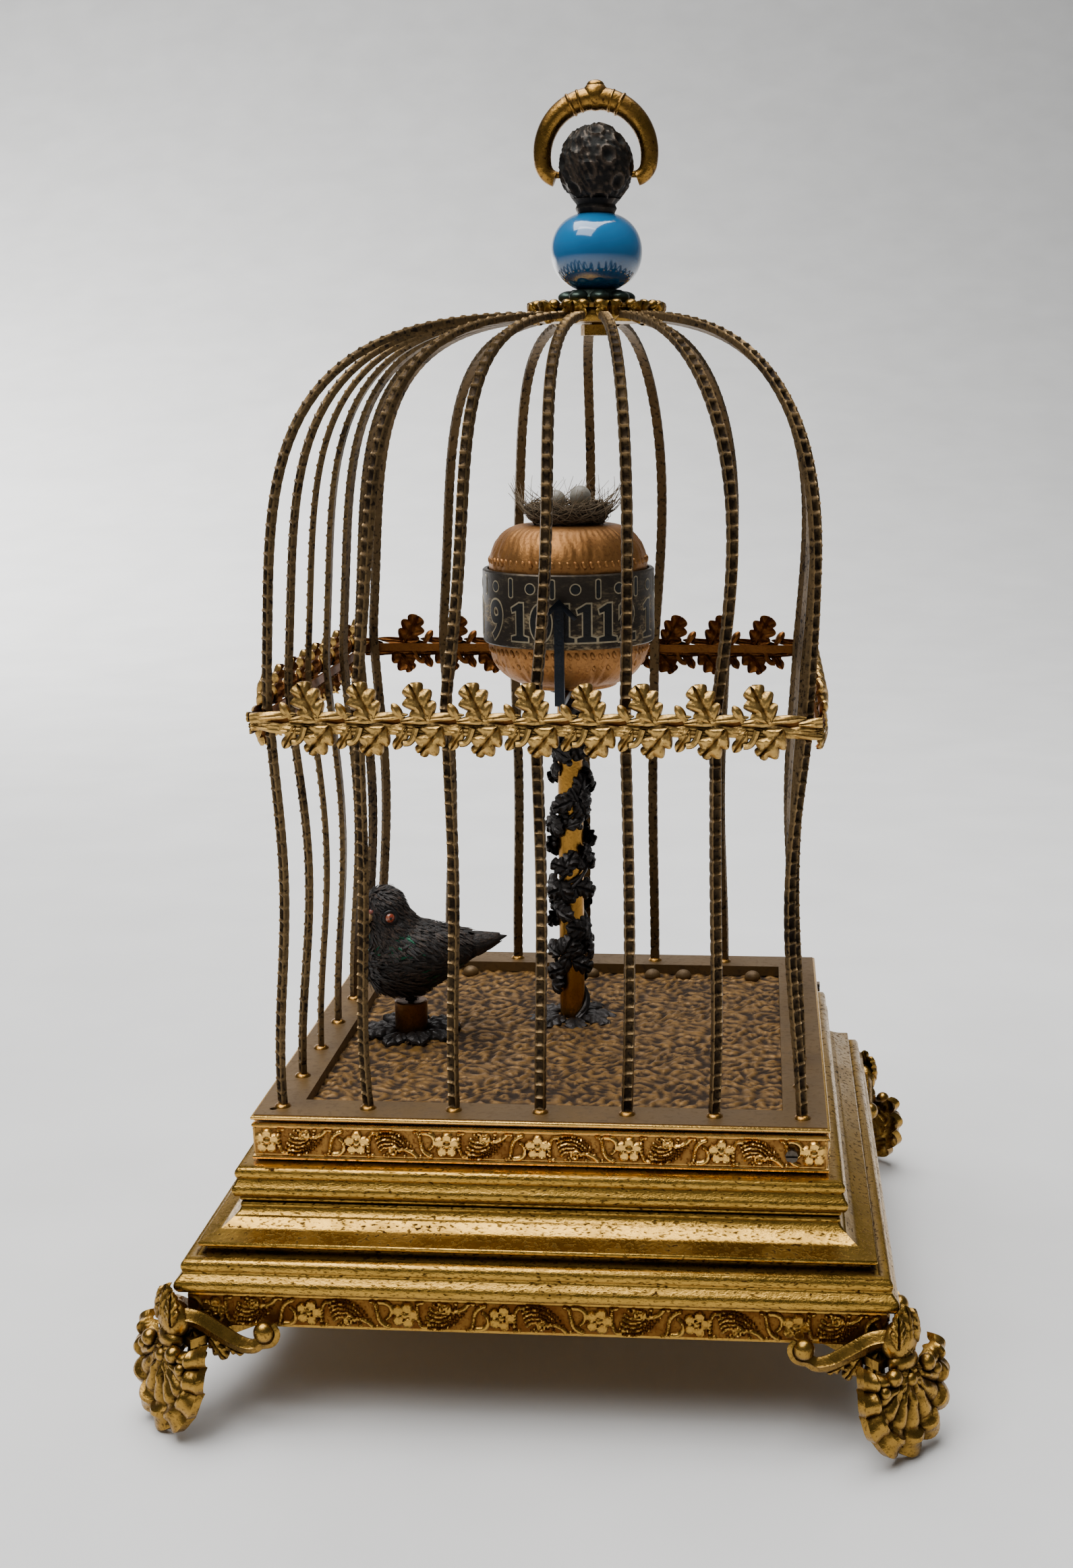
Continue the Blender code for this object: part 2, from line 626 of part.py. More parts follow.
def turned(profile, at=ORIGIN, sides=SIDES_MEDIUM, closed=False):
    """Turn a profile of (radius, height) points, outer side first, about Z."""
    count = len(profile)
    edges = [(index, index + 1) for index in range(count - 1)]
    if closed:
        edges.append((count - 1, 0))
    mesh = bpy.data.meshes.new("profile")
    mesh.from_pydata([(radius, 0.0, height) for radius, height in profile], edges, [])
    shape = working_shape(mesh, at)
    screw = shape.modifiers.new("turn", "SCREW")
    screw.steps = sides
    screw.render_steps = sides
    screw.use_merge_vertices = True
    screw.merge_threshold = WELD
    return shape


def squared(profile):
    """Carry a closed profile of (half width, height) points round a square."""
    corners = [(half * math.sqrt(2), height) for half, height in profile]
    ring = turned(corners, ORIGIN, SQUARE_SIDES, closed=True)
    ring.rotation_euler.z = math.pi / SQUARE_SIDES
    return ring


def plate(loops, low, high, at=ORIGIN):
    """Flat plate between two heights from closed outlines."""
    curve = bpy.data.curves.new("outline", "CURVE")
    curve.dimensions = "2D"
    curve.fill_mode = "BOTH"
    curve.extrude = (high - low) / 2
    for loop in loops:
        spline = curve.splines.new("POLY")
        spline.points.add(len(loop) - 1)
        for point, spot in zip(spline.points, loop):
            point.co = (spot[0], spot[1], 0.0, 1.0)
        spline.use_cyclic_u = True
    return working_shape(curve, Vector((at.x, at.y, (low + high) / 2)))


def standing(loop, thickness, at=ORIGIN, turn=0.0):
    """Upright plate whose outline gives (distance along it, height)."""
    shape = plate([loop], -thickness / 2, thickness / 2)
    shape.location = at
    shape.rotation_euler = (math.pi / 2, 0.0, turn)
    return shape


def wire(points, radius, level=1):
    """Round wire through points."""
    curve = bpy.data.curves.new("wire", "CURVE")
    curve.dimensions = "3D"
    curve.fill_mode = "FULL"
    curve.bevel_depth = radius
    curve.bevel_resolution = level
    curve.use_fill_caps = True
    spline = curve.splines.new("POLY")
    spline.points.add(len(points) - 1)
    for point, spot in zip(spline.points, points):
        point.co = (*spot, 1.0)
    return working_shape(curve)


def moved(shape, matrix):
    """Move a plain copy of a shape by a matrix."""
    made = plain(shape)
    made.matrix_world = matrix
    return made


def circle(radius, sides=SIDES_SMALL, at=ORIGIN):
    """Points of a circle."""
    step = 2 * math.pi / sides
    return [(at.x + radius * math.cos(step * i), at.y + radius * math.sin(step * i)) for i in range(sides)]


def square(half):
    """Corners of a square."""
    return [(-half, -half), (half, -half), (half, half), (-half, half)]


def arc(centre, radius, first, last, steps):
    """Points of an arc, with angles in degrees."""
    points = []
    for index in range(steps + 1):
        angle = math.radians(first + (last - first) * index / steps)
        points.append((centre[0] + radius * math.cos(angle), centre[1] + radius * math.sin(angle)))
    return points


def scalloped(radius, depth, count, points_each=4):
    """Outline of a disc with rounded lobes."""
    total = count * points_each
    points = []
    for index in range(total):
        angle = 2 * math.pi * index / total
        reach = radius - depth * (1 - abs(math.sin(count * angle / 2)))
        points.append((reach * math.cos(angle), reach * math.sin(angle)))
    return points


def gear(teeth, phase):
    """Outline of a gear with plain tapered teeth and easy backlash."""
    tip = GEAR_MODULE * (teeth / 2 + TOOTH_ADDENDUM)
    root = GEAR_MODULE * (teeth / 2 - TOOTH_DEDENDUM)
    corners = ((root, -ROOT_SHARE), (tip, -TIP_SHARE), (tip, TIP_SHARE), (root, ROOT_SHARE))
    step = 2 * math.pi / teeth
    points = []
    for tooth in range(teeth):
        for radius, share in corners:
            spot = polar(radius, phase + (tooth + share) * step)
            points.append((spot.x, spot.y))
    return points


def side_place(side, along, half, height):
    """Place on one side of the base, with local -Z pointing inward."""
    quarter = Matrix.Rotation(side * math.pi / 2, 4, "Z")
    spot = Matrix.Translation((along, -half, height))
    return quarter @ spot @ Matrix.Rotation(math.pi / 2, 4, "X")


CASE_SCREW_PLACES = {
    name: side_place(side, CASE_SCREW_ALONG, UPPER_FRIEZE_HALF, UPPER_FRIEZE_Z + UPPER_FRIEZE_HEIGHT / 2)
    for side, name in enumerate(("case_screw_front", "case_screw_right"))
}


def case_screw_holes():
    """Cutters for the screws through the upper frieze."""
    depth = UPPER_FRIEZE_BEAD + FRIEZE_STOCK + GAP + SHELL_WALL + SHELL_LEDGE
    return [moved(rod(CASE_SCREW_SHANK + GAP, -depth, depth), place) for place in CASE_SCREW_PLACES.values()]


def make_base_shell():
    """Stepped and moulded brass box, open above and below."""
    low_bead = (LOWER_MOULDING_HALF - LOWER_BEAD_RADIUS, LOWER_MOULDING_Z + LOWER_BEAD_RADIUS)
    high_bead = (low_bead[0] - LOWER_BEAD_STEP, LOWER_MOULDING_TOP_Z - LOWER_BEAD_RADIUS)
    top_low_bead = (UPPER_MOULDING_HALF - UPPER_BEAD_RADIUS, NECK_TOP_Z + UPPER_BEAD_RADIUS)
    top_high_bead = (top_low_bead[0] - UPPER_BEAD_STEP, UPPER_MOULDING_TOP_Z - UPPER_BEAD_RADIUS)
    sag = ((NECK_HALF + COVE_FOOT_HALF) / 2 - COVE_SAG, (NECK_BOTTOM_Z + COVE_FOOT_Z) / 2 - COVE_SAG)
    outer = [(SHELL_NECK_HALF, SHELL_TOP_Z), (SHELL_NECK_HALF, UPPER_MOULDING_TOP_Z)]
    outer += arc(top_high_bead, UPPER_BEAD_RADIUS, 90, -30, 4)
    outer += arc(top_low_bead, UPPER_BEAD_RADIUS, 30, -90, 4)
    outer += [(NECK_HALF, NECK_TOP_Z), (NECK_HALF, NECK_BOTTOM_Z), sag, (COVE_FOOT_HALF, COVE_FOOT_Z)]
    outer += arc(high_bead, LOWER_BEAD_RADIUS, 90, -20, 4)
    outer += arc(low_bead, LOWER_BEAD_RADIUS, 40, -90, 4)
    outer += [(SHELL_FOOT_HALF, LOWER_MOULDING_Z), (SHELL_FOOT_HALF, BASE_BOTTOM_Z)]
    foot_inner = SHELL_FOOT_HALF - SHELL_WALL
    top_inner = SHELL_NECK_HALF - SHELL_WALL
    foot_ledge_z = BOTTOM_PLATE_TOP_Z + GAP
    floor_ledge_z = FLOOR_BOTTOM_Z - GAP
    inner = [
        (foot_inner, BASE_BOTTOM_Z),
        (foot_inner, foot_ledge_z),
        (foot_inner - SHELL_LEDGE, foot_ledge_z),
        (foot_inner - SHELL_LEDGE, LOWER_MOULDING_TOP_Z - SHELL_WALL),
        (NECK_HALF - SHELL_WALL - SHELL_LEDGE, NECK_BOTTOM_Z - SHELL_WALL),
        (top_inner - SHELL_LEDGE, NECK_TOP_Z),
        (top_inner - SHELL_LEDGE, floor_ledge_z),
        (top_inner, floor_ledge_z),
        (top_inner, SHELL_TOP_Z),
    ]
    piece("base_shell", [squared(outer + inner)], GILT, cuts=case_screw_holes())


def make_friezes():
    """Stamped strips that wrap the top and the foot of the base."""
    bead = UPPER_FRIEZE_BEAD
    inner = UPPER_FRIEZE_HALF - FRIEZE_STOCK
    upper = arc((UPPER_FRIEZE_HALF, SHELL_TOP_Z - bead), bead, 90, -90, 4)
    upper += arc((UPPER_FRIEZE_HALF, UPPER_FRIEZE_Z + bead), bead, 90, -90, 4)
    upper += [(inner, UPPER_FRIEZE_Z), (inner, SHELL_TOP_Z)]
    piece("upper_frieze", [squared(upper)], GILT, cuts=case_screw_holes())
    low = BASE_BOTTOM_Z
    top = LOWER_FRIEZE_TOP_Z
    inner = LOWER_FRIEZE_HALF - FRIEZE_STOCK
    lower = [(LOWER_FRIEZE_HALF, top), (LOWER_FRIEZE_HALF, low), (inner, low), (inner, top)]
    piece("lower_frieze", [squared(lower)], GILT)


def make_rim_plate():
    """Square frame that carries the bars, with a lip round the sunk floor."""
    lip_z = FLOOR_TOP_Z + GAP
    lip_half = RECESS_HALF + RECESS_LIP
    profile = [(RIM_HALF, RIM_TOP_Z), (RIM_HALF, RIM_BOTTOM_Z), (lip_half, RIM_BOTTOM_Z)]
    profile += [(lip_half, lip_z), (RECESS_HALF, lip_z), (RECESS_HALF, RIM_TOP_Z)]
    inset = RIM_HALF - RIM_HOLE_INSET
    corner = Vector((-inset, -inset, 0.0))
    hole = rod(RIM_HOLE_RADIUS, RIM_BOTTOM_Z - GAP, RIM_TOP_Z + GAP, corner)
    piece("rim_plate", [squared(profile)], DUSTY_BRASS, cuts=[hole])


def make_floor_plate():
    """Embossed floor with holes for the post and for the bird's perch."""
    loops = [square(SHELL_NECK_HALF - SHELL_WALL - GAP)]
    loops.append(circle(POST_RADIUS + GAP, SIDES_MEDIUM, POST_AT))
    loops.append(circle(PERCH_SPIGOT_RADIUS + GAP, SIDES_MEDIUM, PERCH_AT))
    piece("floor_plate", [plate(loops, FLOOR_BOTTOM_Z, FLOOR_TOP_Z)], DUSTY_BRASS)


def make_bottom_plate():
    """Closing plate with sound slots and holes for key, knob and studs."""
    loops = [square(SHELL_FOOT_HALF - SHELL_WALL - GAP)]
    left = SOUND_SLOTS_X - SOUND_SLOT_LENGTH / 2
    right = SOUND_SLOTS_X + SOUND_SLOT_LENGTH / 2
    for index in range(SOUND_SLOT_COUNT):
        middle = SOUND_SLOTS_Y + (index - (SOUND_SLOT_COUNT - 1) / 2) * SOUND_SLOT_PITCH
        low = middle - SOUND_SLOT_WIDTH / 2
        high = middle + SOUND_SLOT_WIDTH / 2
        loops.append([(left, low), (right, low), (right, high), (left, high)])
    loops.append(circle(ARBOR_HOLE, at=POST_AT))
    loops.append(circle(KEY_HOLE, at=BARREL_AT))
    for corner in range(SQUARE_SIDES):
        stud_at = polar(FOOT_STUD_DIAGONAL, math.pi / 4 + corner * math.pi / 2)
        loops.append(circle(FOOT_STUD_RADIUS + GAP, at=stud_at))
    piece("bottom_plate", [plate(loops, BOTTOM_PLATE_Z, BOTTOM_PLATE_TOP_Z)], OLD_GILT)


def shell_fan():
    """Scalloped fan outline, hinged at the middle of its top."""
    count = FOOT_SHELL_LOBES * FOOT_SHELL_LOBE_POINTS
    points = []
    for index in range(count + 1):
        share = index / count
        angle = (share - 0.5) * FOOT_SHELL_SWEEP
        below = max(0.0, math.cos(angle)) ** FOOT_SHELL_TAPER
        reach = FOOT_SHELL_SIDE + (FOOT_SHELL_DROP - FOOT_SHELL_SIDE) * below
        reach -= FOOT_SHELL_LOBE_DEPTH * (1 - abs(math.sin(share * FOOT_SHELL_LOBES * math.pi)))
        points.append((reach * math.sin(angle), -reach * math.cos(angle)))
    return points


def foot_arm(place):
    """One scroll arm with its end ball and the leaf under it."""
    low = FOOT_KNUCKLE_Z - FOOT_ARM_DROP
    end = FOOT_LINE - FOOT_ARM_LENGTH
    path = [(FOOT_LINE - FOOT_ARM_LENGTH * x, low + FOOT_ARM_DROP * z) for x, z in FOOT_ARM_SHARES]
    leaf = [(FOOT_LINE - FOOT_ARM_LENGTH * x, low + FOOT_LEAF_DEPTH * z) for x, z in FOOT_LEAF_SHARES]
    top_x, top_z = FOOT_LEAF_TOP_SHARES
    leaf += [(FOOT_LINE - top_x * FOOT_ARM_LENGTH, low + top_z * FOOT_ARM_DROP), (FOOT_LINE, FOOT_KNUCKLE_Z)]
    shapes = [
        wire([(x, -FOOT_LINE, z) for x, z in path], FOOT_ARM_RADIUS),
        ball(FOOT_VOLUTE_RADIUS, Vector((end, -FOOT_LINE, low + FOOT_VOLUTE_RISE))),
        standing(leaf, FOOT_LEAF_THICKNESS, Vector((0.0, -FOOT_LINE, 0.0))),
    ]
    return [moved(shape, place) for shape in shapes]


def foot_shape():
    """The front right foot, flat where it stands, with a stud upwards."""
    hinge = polar(FOOT_SHELL_RADIUS, -math.pi / 4)
    swap = Matrix(((0, -1, 0, 0), (-1, 0, 0, 0), (0, 0, 1, 0), (0, 0, 0, 1)))
    fan_place = (
        Matrix.Translation((hinge.x, hinge.y, FOOT_LUG_Z))
        @ Matrix.Rotation(math.pi / 4, 4, "Z")
        @ Matrix.Rotation(FOOT_SHELL_TILT, 4, "X")
    )
    diagonal = Matrix.Rotation(-math.pi / 4, 4, "Z")
    lug_size = (FOOT_LUG_REACH, 2 * FOOT_LUG_HALF_WIDTH, FOOT_LUG_THICKNESS)
    lug_middle = (FOOT_SHELL_RADIUS - FOOT_LUG_REACH / 2, 0.0, (FOOT_LUG_Z + FOOT_LUG_TOP_Z) / 2)
    below = FOOT_SHELL_DROP
    berry = FOOT_LINE - FOOT_BERRY_INSET
    shapes = [
        ball(FOOT_KNUCKLE_RADIUS, Vector((hinge.x, hinge.y, FOOT_KNUCKLE_Z))),
        ball(FOOT_BERRY_RADIUS, Vector((berry, -berry, FOOT_LUG_Z - FOOT_BERRY_DROP))),
        moved(block(lug_size, lug_middle), diagonal),
        rod(FOOT_STUD_RADIUS, FOOT_LUG_Z, BOTTOM_PLATE_TOP_Z, polar(FOOT_STUD_DIAGONAL, -math.pi / 4)),
    ]
    shapes += foot_arm(Matrix.Identity(4)) + foot_arm(swap)
    whole = moved(standing(shell_fan(), FOOT_SHELL_THICKNESS), fan_place)
    for shape in shapes:
        whole = combined(whole, shape, "UNION")
    return combined(whole, block((4 * FOOT_LINE, 4 * FOOT_LINE, below), (0.0, 0.0, -below / 2)), "DIFFERENCE")


def make_feet():
    """Four like feet, one at each corner."""
    names = ("foot_front_right", "foot_back_right", "foot_back_left", "foot_front_left")
    for quarter, name in enumerate(names):
        turn = Matrix.Rotation(quarter * math.pi / 2, 4, "Z")
        piece(name, [moved(foot_shape(), turn)], GILT)


def make_case_screws():
    """Slotted screws on the upper frieze."""
    head_low = UPPER_FRIEZE_BEAD + GAP
    head_top = head_low + CASE_SCREW_HEAD_HEIGHT
    tip = -(FRIEZE_STOCK + GAP + SHELL_WALL + CASE_SCREW_INSIDE)
    profile = [(0.0, head_top), (CASE_SCREW_HEAD, head_top), (CASE_SCREW_HEAD, head_low)]
    profile += [(CASE_SCREW_SHANK, head_low), (CASE_SCREW_SHANK, tip), (0.0, tip)]
    slot_size = (3 * CASE_SCREW_HEAD, SCREW_SLOT_WIDTH, 2 * SCREW_SLOT_DEPTH)
    for name, place in CASE_SCREW_PLACES.items():
        slot = block(slot_size, (0.0, 0.0, head_top))
        screw = combined(turned(profile, sides=SIDES_SMALL), slot, "DIFFERENCE")
        piece(name, [moved(screw, place)], DARK_STEEL, place.to_translation())


def bar_pinch(height):
    """Share of its foot's distance that a bar keeps at a height in the waist."""
    share = (height - BAR_FOOT_Z) / BAR_WAIST_HEIGHT
    return 1 - BAR_WAIST * math.sin(math.pi * share) ** 2


STRIP_OUTER = BAR_HALF_SPACING * bar_pinch(BELT_Z) + BAR_THICKNESS / 2 + STRIP_PROUD
BELT_HALF = STRIP_OUTER + GAP + BELT_BAND_THICKNESS / 2


def bar_path(reach):
    """Middle line of a bar: (distance from the crown's axis, height)."""
    points = []
    for step in range(BAR_WAIST_STEPS + 1):
        height = BAR_FOOT_Z + BAR_WAIST_HEIGHT * step / BAR_WAIST_STEPS
        points.append((reach * bar_pinch(height), height))
    last = math.acos((BAR_END_RADIUS / reach) ** (DOME_POWER / 2))
    for step in range(DOME_STEPS + 1):
        angle = last * step / DOME_STEPS
        share = math.cos(angle) ** (2 / DOME_POWER)
        lift = math.sin(angle) ** (2 / DOME_POWER)
        points.append((reach * share, RIM_TOP_Z + DOME_START_RISE + DOME_HEIGHT * lift))
    return points


def offset_path(points, distance):
    """Shift a path to its left by a distance, its start kept level."""
    shifted = []
    for index, point in enumerate(points):
        before = Vector(points[max(index - 1, 0)])
        after = Vector(points[min(index + 1, len(points) - 1)])
        along = (after - before).normalized()
        shifted.append((point[0] - along.y * distance, point[1] + along.x * distance))
    shifted[0] = (shifted[0][0], points[0][1])
    return shifted


def bar_bend(height, waist, dome):
    """How far a bar stands to the right of its even curve at a height."""
    low = BELT_Z - STRIP_HEIGHT
    high = BELT_Z + STRIP_HEIGHT
    below = (height - BAR_FOOT_Z) / (low - BAR_FOOT_Z)
    above = (height - high) / (CROWN_HUB_Z - high)
    bend = 0.0
    for share, reach in ((below, waist), (above, DOME_SWAY + dome)):
        if 0 < share < 1:
            bend += reach * math.sin(math.pi * share)
    return bend


def bar(foot, waist=0.0, dome=0.0):
    """One bar from its foot on the rim plate to the crown hub, bent at its waist and dome."""
    reach = Vector((*foot, 0.0)) - CROWN_AT
    path = bar_path(reach.length)
    loop = offset_path(path, BAR_THICKNESS / 2) + offset_path(path, -BAR_THICKNESS / 2)[::-1]
    shape = plain(standing(loop, BAR_WIDTH, CROWN_AT, math.atan2(reach.y, reach.x)))
    for vert in shape.data.vertices:
        vert.co.x += bar_bend(vert.co.z, waist, dome)
    return shape


def make_cage_bars():
    """Corner bars, and each side's five bars tied by a strip."""
    half = BAR_HALF_SPACING
    bends = list(zip(FRONT_WAIST_BENDS, FRONT_DOME_BENDS))
    even = (0.0, 0.0)
    corners = {
        "corner_bar_front_left": ((-half, -half), bends[0]),
        "corner_bar_front_right": ((half, -half), bends[-1]),
        "corner_bar_back_left": ((-half, half), even),
        "corner_bar_back_right": ((half, half), even),
    }
    for name, (foot, bent) in corners.items():
        piece(name, [bar(foot, *bent)], BAR_BRASS)
    spacing = 2 * half / (BARS_PER_SIDE - 1)
    inner = [-half + spacing * index for index in range(1, BARS_PER_SIDE - 1)]
    strip_inner = half * bar_pinch(BELT_Z)
    strip_size = (2 * (inner[-1] + STRIP_OVERHANG), STRIP_OUTER - strip_inner, STRIP_HEIGHT)
    names = ("side_bars_front", "side_bars_right", "side_bars_back", "side_bars_left")
    for side, name in enumerate(names):
        turn = Matrix.Rotation(side * math.pi / 2, 4, "Z")
        strip = block(strip_size, (0.0, -(strip_inner + STRIP_OUTER) / 2, BELT_Z))
        shapes = [moved(strip, turn)]
        for along, bent in zip(inner, bends[1:-1]):
            foot = turn @ Vector((along, -half, 0.0))
            shapes.append(bar((foot.x, foot.y), *(bent if side == 0 else even)))
        piece(name, shapes, BAR_BRASS)


def belt_leaves(length):
    """One side's leaves as a flat outline, joined along the middle."""
    count = round(length / BELT_LEAF_PITCH) - 1
    pitch = length / (count + 1)
    root = BELT_BAND_HEIGHT * BELT_ROOT_SHARE / 2
    half = length / 2
    upper = []
    lower = []
    for index in range(count):
        start = -half + pitch * (index + 0.5)
        upper += [(start + x * pitch, root + z * (BELT_LEAF_UP - root)) for x, z in BELT_UPPER_SHARES]
        lower += [(start + x * pitch, -root - z * (BELT_LEAF_DOWN - root)) for x, z in BELT_LOWER_SHARES]
    return [(-half, -root), (-half, root)] + upper + [(half, root), (half, -root)] + lower[::-1]


def make_leaf_belt():
    """Ring of oak leaves round the bars: its stem band with the leaf tips."""
    low = BELT_Z - BELT_BAND_HEIGHT / 2
    high = BELT_Z + BELT_BAND_HEIGHT / 2
    inner = BELT_HALF - BELT_BAND_THICKNESS / 2
    outer = BELT_HALF + BELT_BAND_THICKNESS / 2
    shapes = [squared([(outer, high), (outer, low), (inner, low), (inner, high)])]
    loop = belt_leaves(2 * BELT_HALF)
    for side in range(SQUARE_SIDES):
        turn = side * math.pi / 2
        spot = Matrix.Rotation(turn, 4, "Z") @ Vector((0.0, -BELT_HALF, BELT_Z))
        shapes.append(standing(loop, BELT_LEAF_THICKNESS, spot, turn))
    piece("leaf_belt", shapes, GILT)


def make_crown_plate():
    """Scalloped plate on a hub that the bars' ends are soldered to."""
    hole = circle(SPINDLE_HOLE)
    disc = scalloped(CROWN_PLATE_RADIUS, CROWN_SCALLOP_DEPTH, CROWN_SCALLOPS)
    top = plate([disc, hole], CROWN_PLATE_Z, CROWN_PLATE_TOP_Z, CROWN_AT)
    hub_top = CROWN_PLATE_Z + CROWN_PLATE_THICKNESS / 2
    hub = plate([circle(CROWN_HUB_RADIUS, SIDES_LARGE), hole], CROWN_HUB_Z, hub_top, CROWN_AT)
    piece("crown_plate", [top, hub], GILT, CROWN_AT)


def make_petal_collar():
    """Dark petals under the blue bead."""
    loops = [scalloped(PETAL_RADIUS, PETAL_DEPTH, PETAL_COUNT), circle(SPINDLE_HOLE)]
    piece("petal_collar", [plate(loops, PETAL_Z, PETAL_Z + PETAL_HEIGHT, CROWN_AT)], GREEN_BRONZE, CROWN_AT)


def bead_side(radius, height, bottom, end_radius):
    """Side of a bead from its top end to its bottom end."""
    share = math.sqrt(1 - (end_radius / radius) ** 2)
    points = []
    for index in range(BEAD_STEPS + 1):
        lift = math.cos(math.pi * index / BEAD_STEPS)
        points.append((radius * math.sqrt(1 - (lift * share) ** 2), bottom + height * (1 + lift) / 2))
    return points


def make_beads():
    """Blue opaline bead below and pierced dark bead above, on the spindle."""
    profile = bead_side(OPALINE_RADIUS, OPALINE_HEIGHT, OPALINE_Z, FILIGREE_NECK_RADIUS)
    profile += [(SPINDLE_HOLE, OPALINE_Z), (SPINDLE_HOLE, OPALINE_Z + OPALINE_HEIGHT)]
    piece("opaline_bead", [turned(profile, CROWN_AT, closed=True)], OPALINE_BLUE, CROWN_AT)
    bore_top = FILIGREE_Z + SPINDLE_INTO_FILIGREE + GAP
    profile = [(0.0, FILIGREE_Z + FILIGREE_HEIGHT)]
    profile += bead_side(FILIGREE_RADIUS, FILIGREE_HEIGHT, FILIGREE_Z, FILIGREE_NECK_RADIUS)
    profile += [(FILIGREE_NECK_RADIUS, FILIGREE_NECK_Z), (SPINDLE_HOLE, FILIGREE_NECK_Z)]
    profile += [(SPINDLE_HOLE, bore_top), (0.0, bore_top)]
    holes = []
    for side in (-1, 1):
        hole = rod(BOW_PIN_RADIUS + RUNNING_GAP, -BOW_PIN_REACH - GAP, BOW_PIN_REACH)
        holes.append(moved(hole, bow_end(side)))
    piece("filigree_bead", [turned(profile, CROWN_AT)], DARK_BRONZE, CROWN_AT, holes)


def bow_end(side):
    """Place of a bow's end, with local +Z pointing outward."""
    spot = Vector((CROWN_LEAN + side * BOW_END_X, 0.0, BOW_PIVOT_Z))
    return Matrix.Translation(spot) @ Matrix.Rotation(side * math.pi / 2, 4, "Y")


def make_crown_spindle():
    """Rod with a round nut that draws the beads down on the crown plate."""
    nut_top = CROWN_HUB_Z - GAP
    nut_low = nut_top - SPINDLE_NUT_HEIGHT
    tip = FILIGREE_Z + SPINDLE_INTO_FILIGREE
    profile = [(0.0, tip), (SPINDLE_RADIUS, tip), (SPINDLE_RADIUS, nut_top)]
    profile += [(SPINDLE_NUT_RADIUS, nut_top), (SPINDLE_NUT_RADIUS, nut_low), (0.0, nut_low)]
    piece("crown_spindle", [turned(profile, CROWN_AT, SIDES_SMALL)], OLD_GILT, CROWN_AT)


def make_bow():
    """Hanging ring with a knob and collars on top and a pin at each end."""
    hook = (BOW_RADIUS - BOW_HOOK_RADIUS, BOW_PIVOT_Z + BOW_HOOK_RADIUS)
    right = arc((0.0, BOW_CENTRE_Z), BOW_RADIUS, 90, 0, 8)
    right += arc(hook, BOW_HOOK_RADIUS, 0, -90, 4)[1:]
    right.append((BOW_END_X, BOW_PIVOT_Z))
    path = [(-x, z) for x, z in right[:0:-1]] + right
    shapes = [wire([(CROWN_LEAN + x, 0.0, z) for x, z in path], BOW_STOCK)]
    knob_z = BOW_CENTRE_Z + BOW_RADIUS + BOW_KNOB_LIFT
    shapes.append(ball(BOW_KNOB_RADIUS, Vector((CROWN_LEAN, 0.0, knob_z))))
    half = BOW_COLLAR_WIDTH / 2
    centre = Matrix.Translation((CROWN_LEAN, 0.0, BOW_CENTRE_Z))
    for side in (-1, 1):
        turn = Matrix.Rotation(side * BOW_COLLAR_ANGLE, 4, "Y")
        across = Matrix.Rotation(math.pi / 2, 4, "Y")
        place = centre @ turn @ Matrix.Translation((0.0, 0.0, BOW_RADIUS)) @ across
        shapes.append(moved(rod(BOW_COLLAR_RADIUS, -half, half), place))
        shapes.append(moved(rod(BOW_PIN_RADIUS, -BOW_PIN_REACH, BOW_STOCK), bow_end(side)))
    piece("bow", shapes, GILT, Vector((CROWN_LEAN, 0.0, BOW_PIVOT_Z)))


def make_post():
    """Brass tube from the movement to the globe."""
    low = UPPER_PLATE_TOP_Z + GAP
    profile = [(POST_RADIUS, POST_TOP_Z), (POST_RADIUS, low), (POST_BORE, low), (POST_BORE, POST_TOP_Z)]
    piece("post_tube", [turned(profile, POST_AT, closed=True)], GILT, POST_AT)


def leaf_ring(tube_radius, radius, count, at):
    """Flat ring of leaves on the floor round a tube."""
    low = FLOOR_TOP_Z + GAP
    hole = tube_radius + GAP
    loops = [scalloped(radius, radius - hole - LEAF_RING_BAND, count), circle(hole, SIDES_MEDIUM)]
    return plate(loops, low, low + LEAF_RING_THICKNESS, at)


def vine_point(share):
    """Point of the vine's helix, from its start to its end."""
    start = FLOOR_TOP_Z + VINE_START_RISE
    end = POST_TOP_Z - VINE_END_DROP
    spot = polar(POST_RADIUS + GAP + VINE_RADIUS, 2 * math.pi * VINE_TURNS * share)
    return POST_AT + spot + Vector((0.0, 0.0, start + (end - start) * share))


def make_post_vine():
    """Dark vine that climbs the post from a ring of root leaves."""
    count = round(VINE_TURNS * VINE_POINTS_PER_TURN)
    start = vine_point(0.0)
    points = [Vector((start.x, start.y, FLOOR_TOP_Z + GAP + LEAF_RING_THICKNESS / 2))]
    points += [vine_point(index / count) for index in range(count + 1)]
    shapes = [wire(points, VINE_RADIUS, 0)]
    shapes.append(leaf_ring(POST_RADIUS, ROOT_LEAF_RADIUS, ROOT_LEAF_COUNT, POST_AT))
    size = (VINE_LEAF_THICKNESS, VINE_LEAF_WIDTH, VINE_LEAF_LENGTH)
    for index in range(VINE_LEAF_COUNT):
        spot = vine_point(round((index + 0.5) * count / VINE_LEAF_COUNT) / count)
        out = Vector((spot.x - POST_AT.x, spot.y - POST_AT.y, 0.0)).normalized()
        turn = Matrix.Rotation(math.atan2(out.y, out.x), 4, "Z")
        place = Matrix.Translation(spot + out * VINE_LEAF_THICKNESS) @ turn
        shapes.append(moved(ball(1.0, stretch=size, segments=6, rings=3), place))
    piece("post_vine", shapes, DARK_BRONZE, POST_AT)


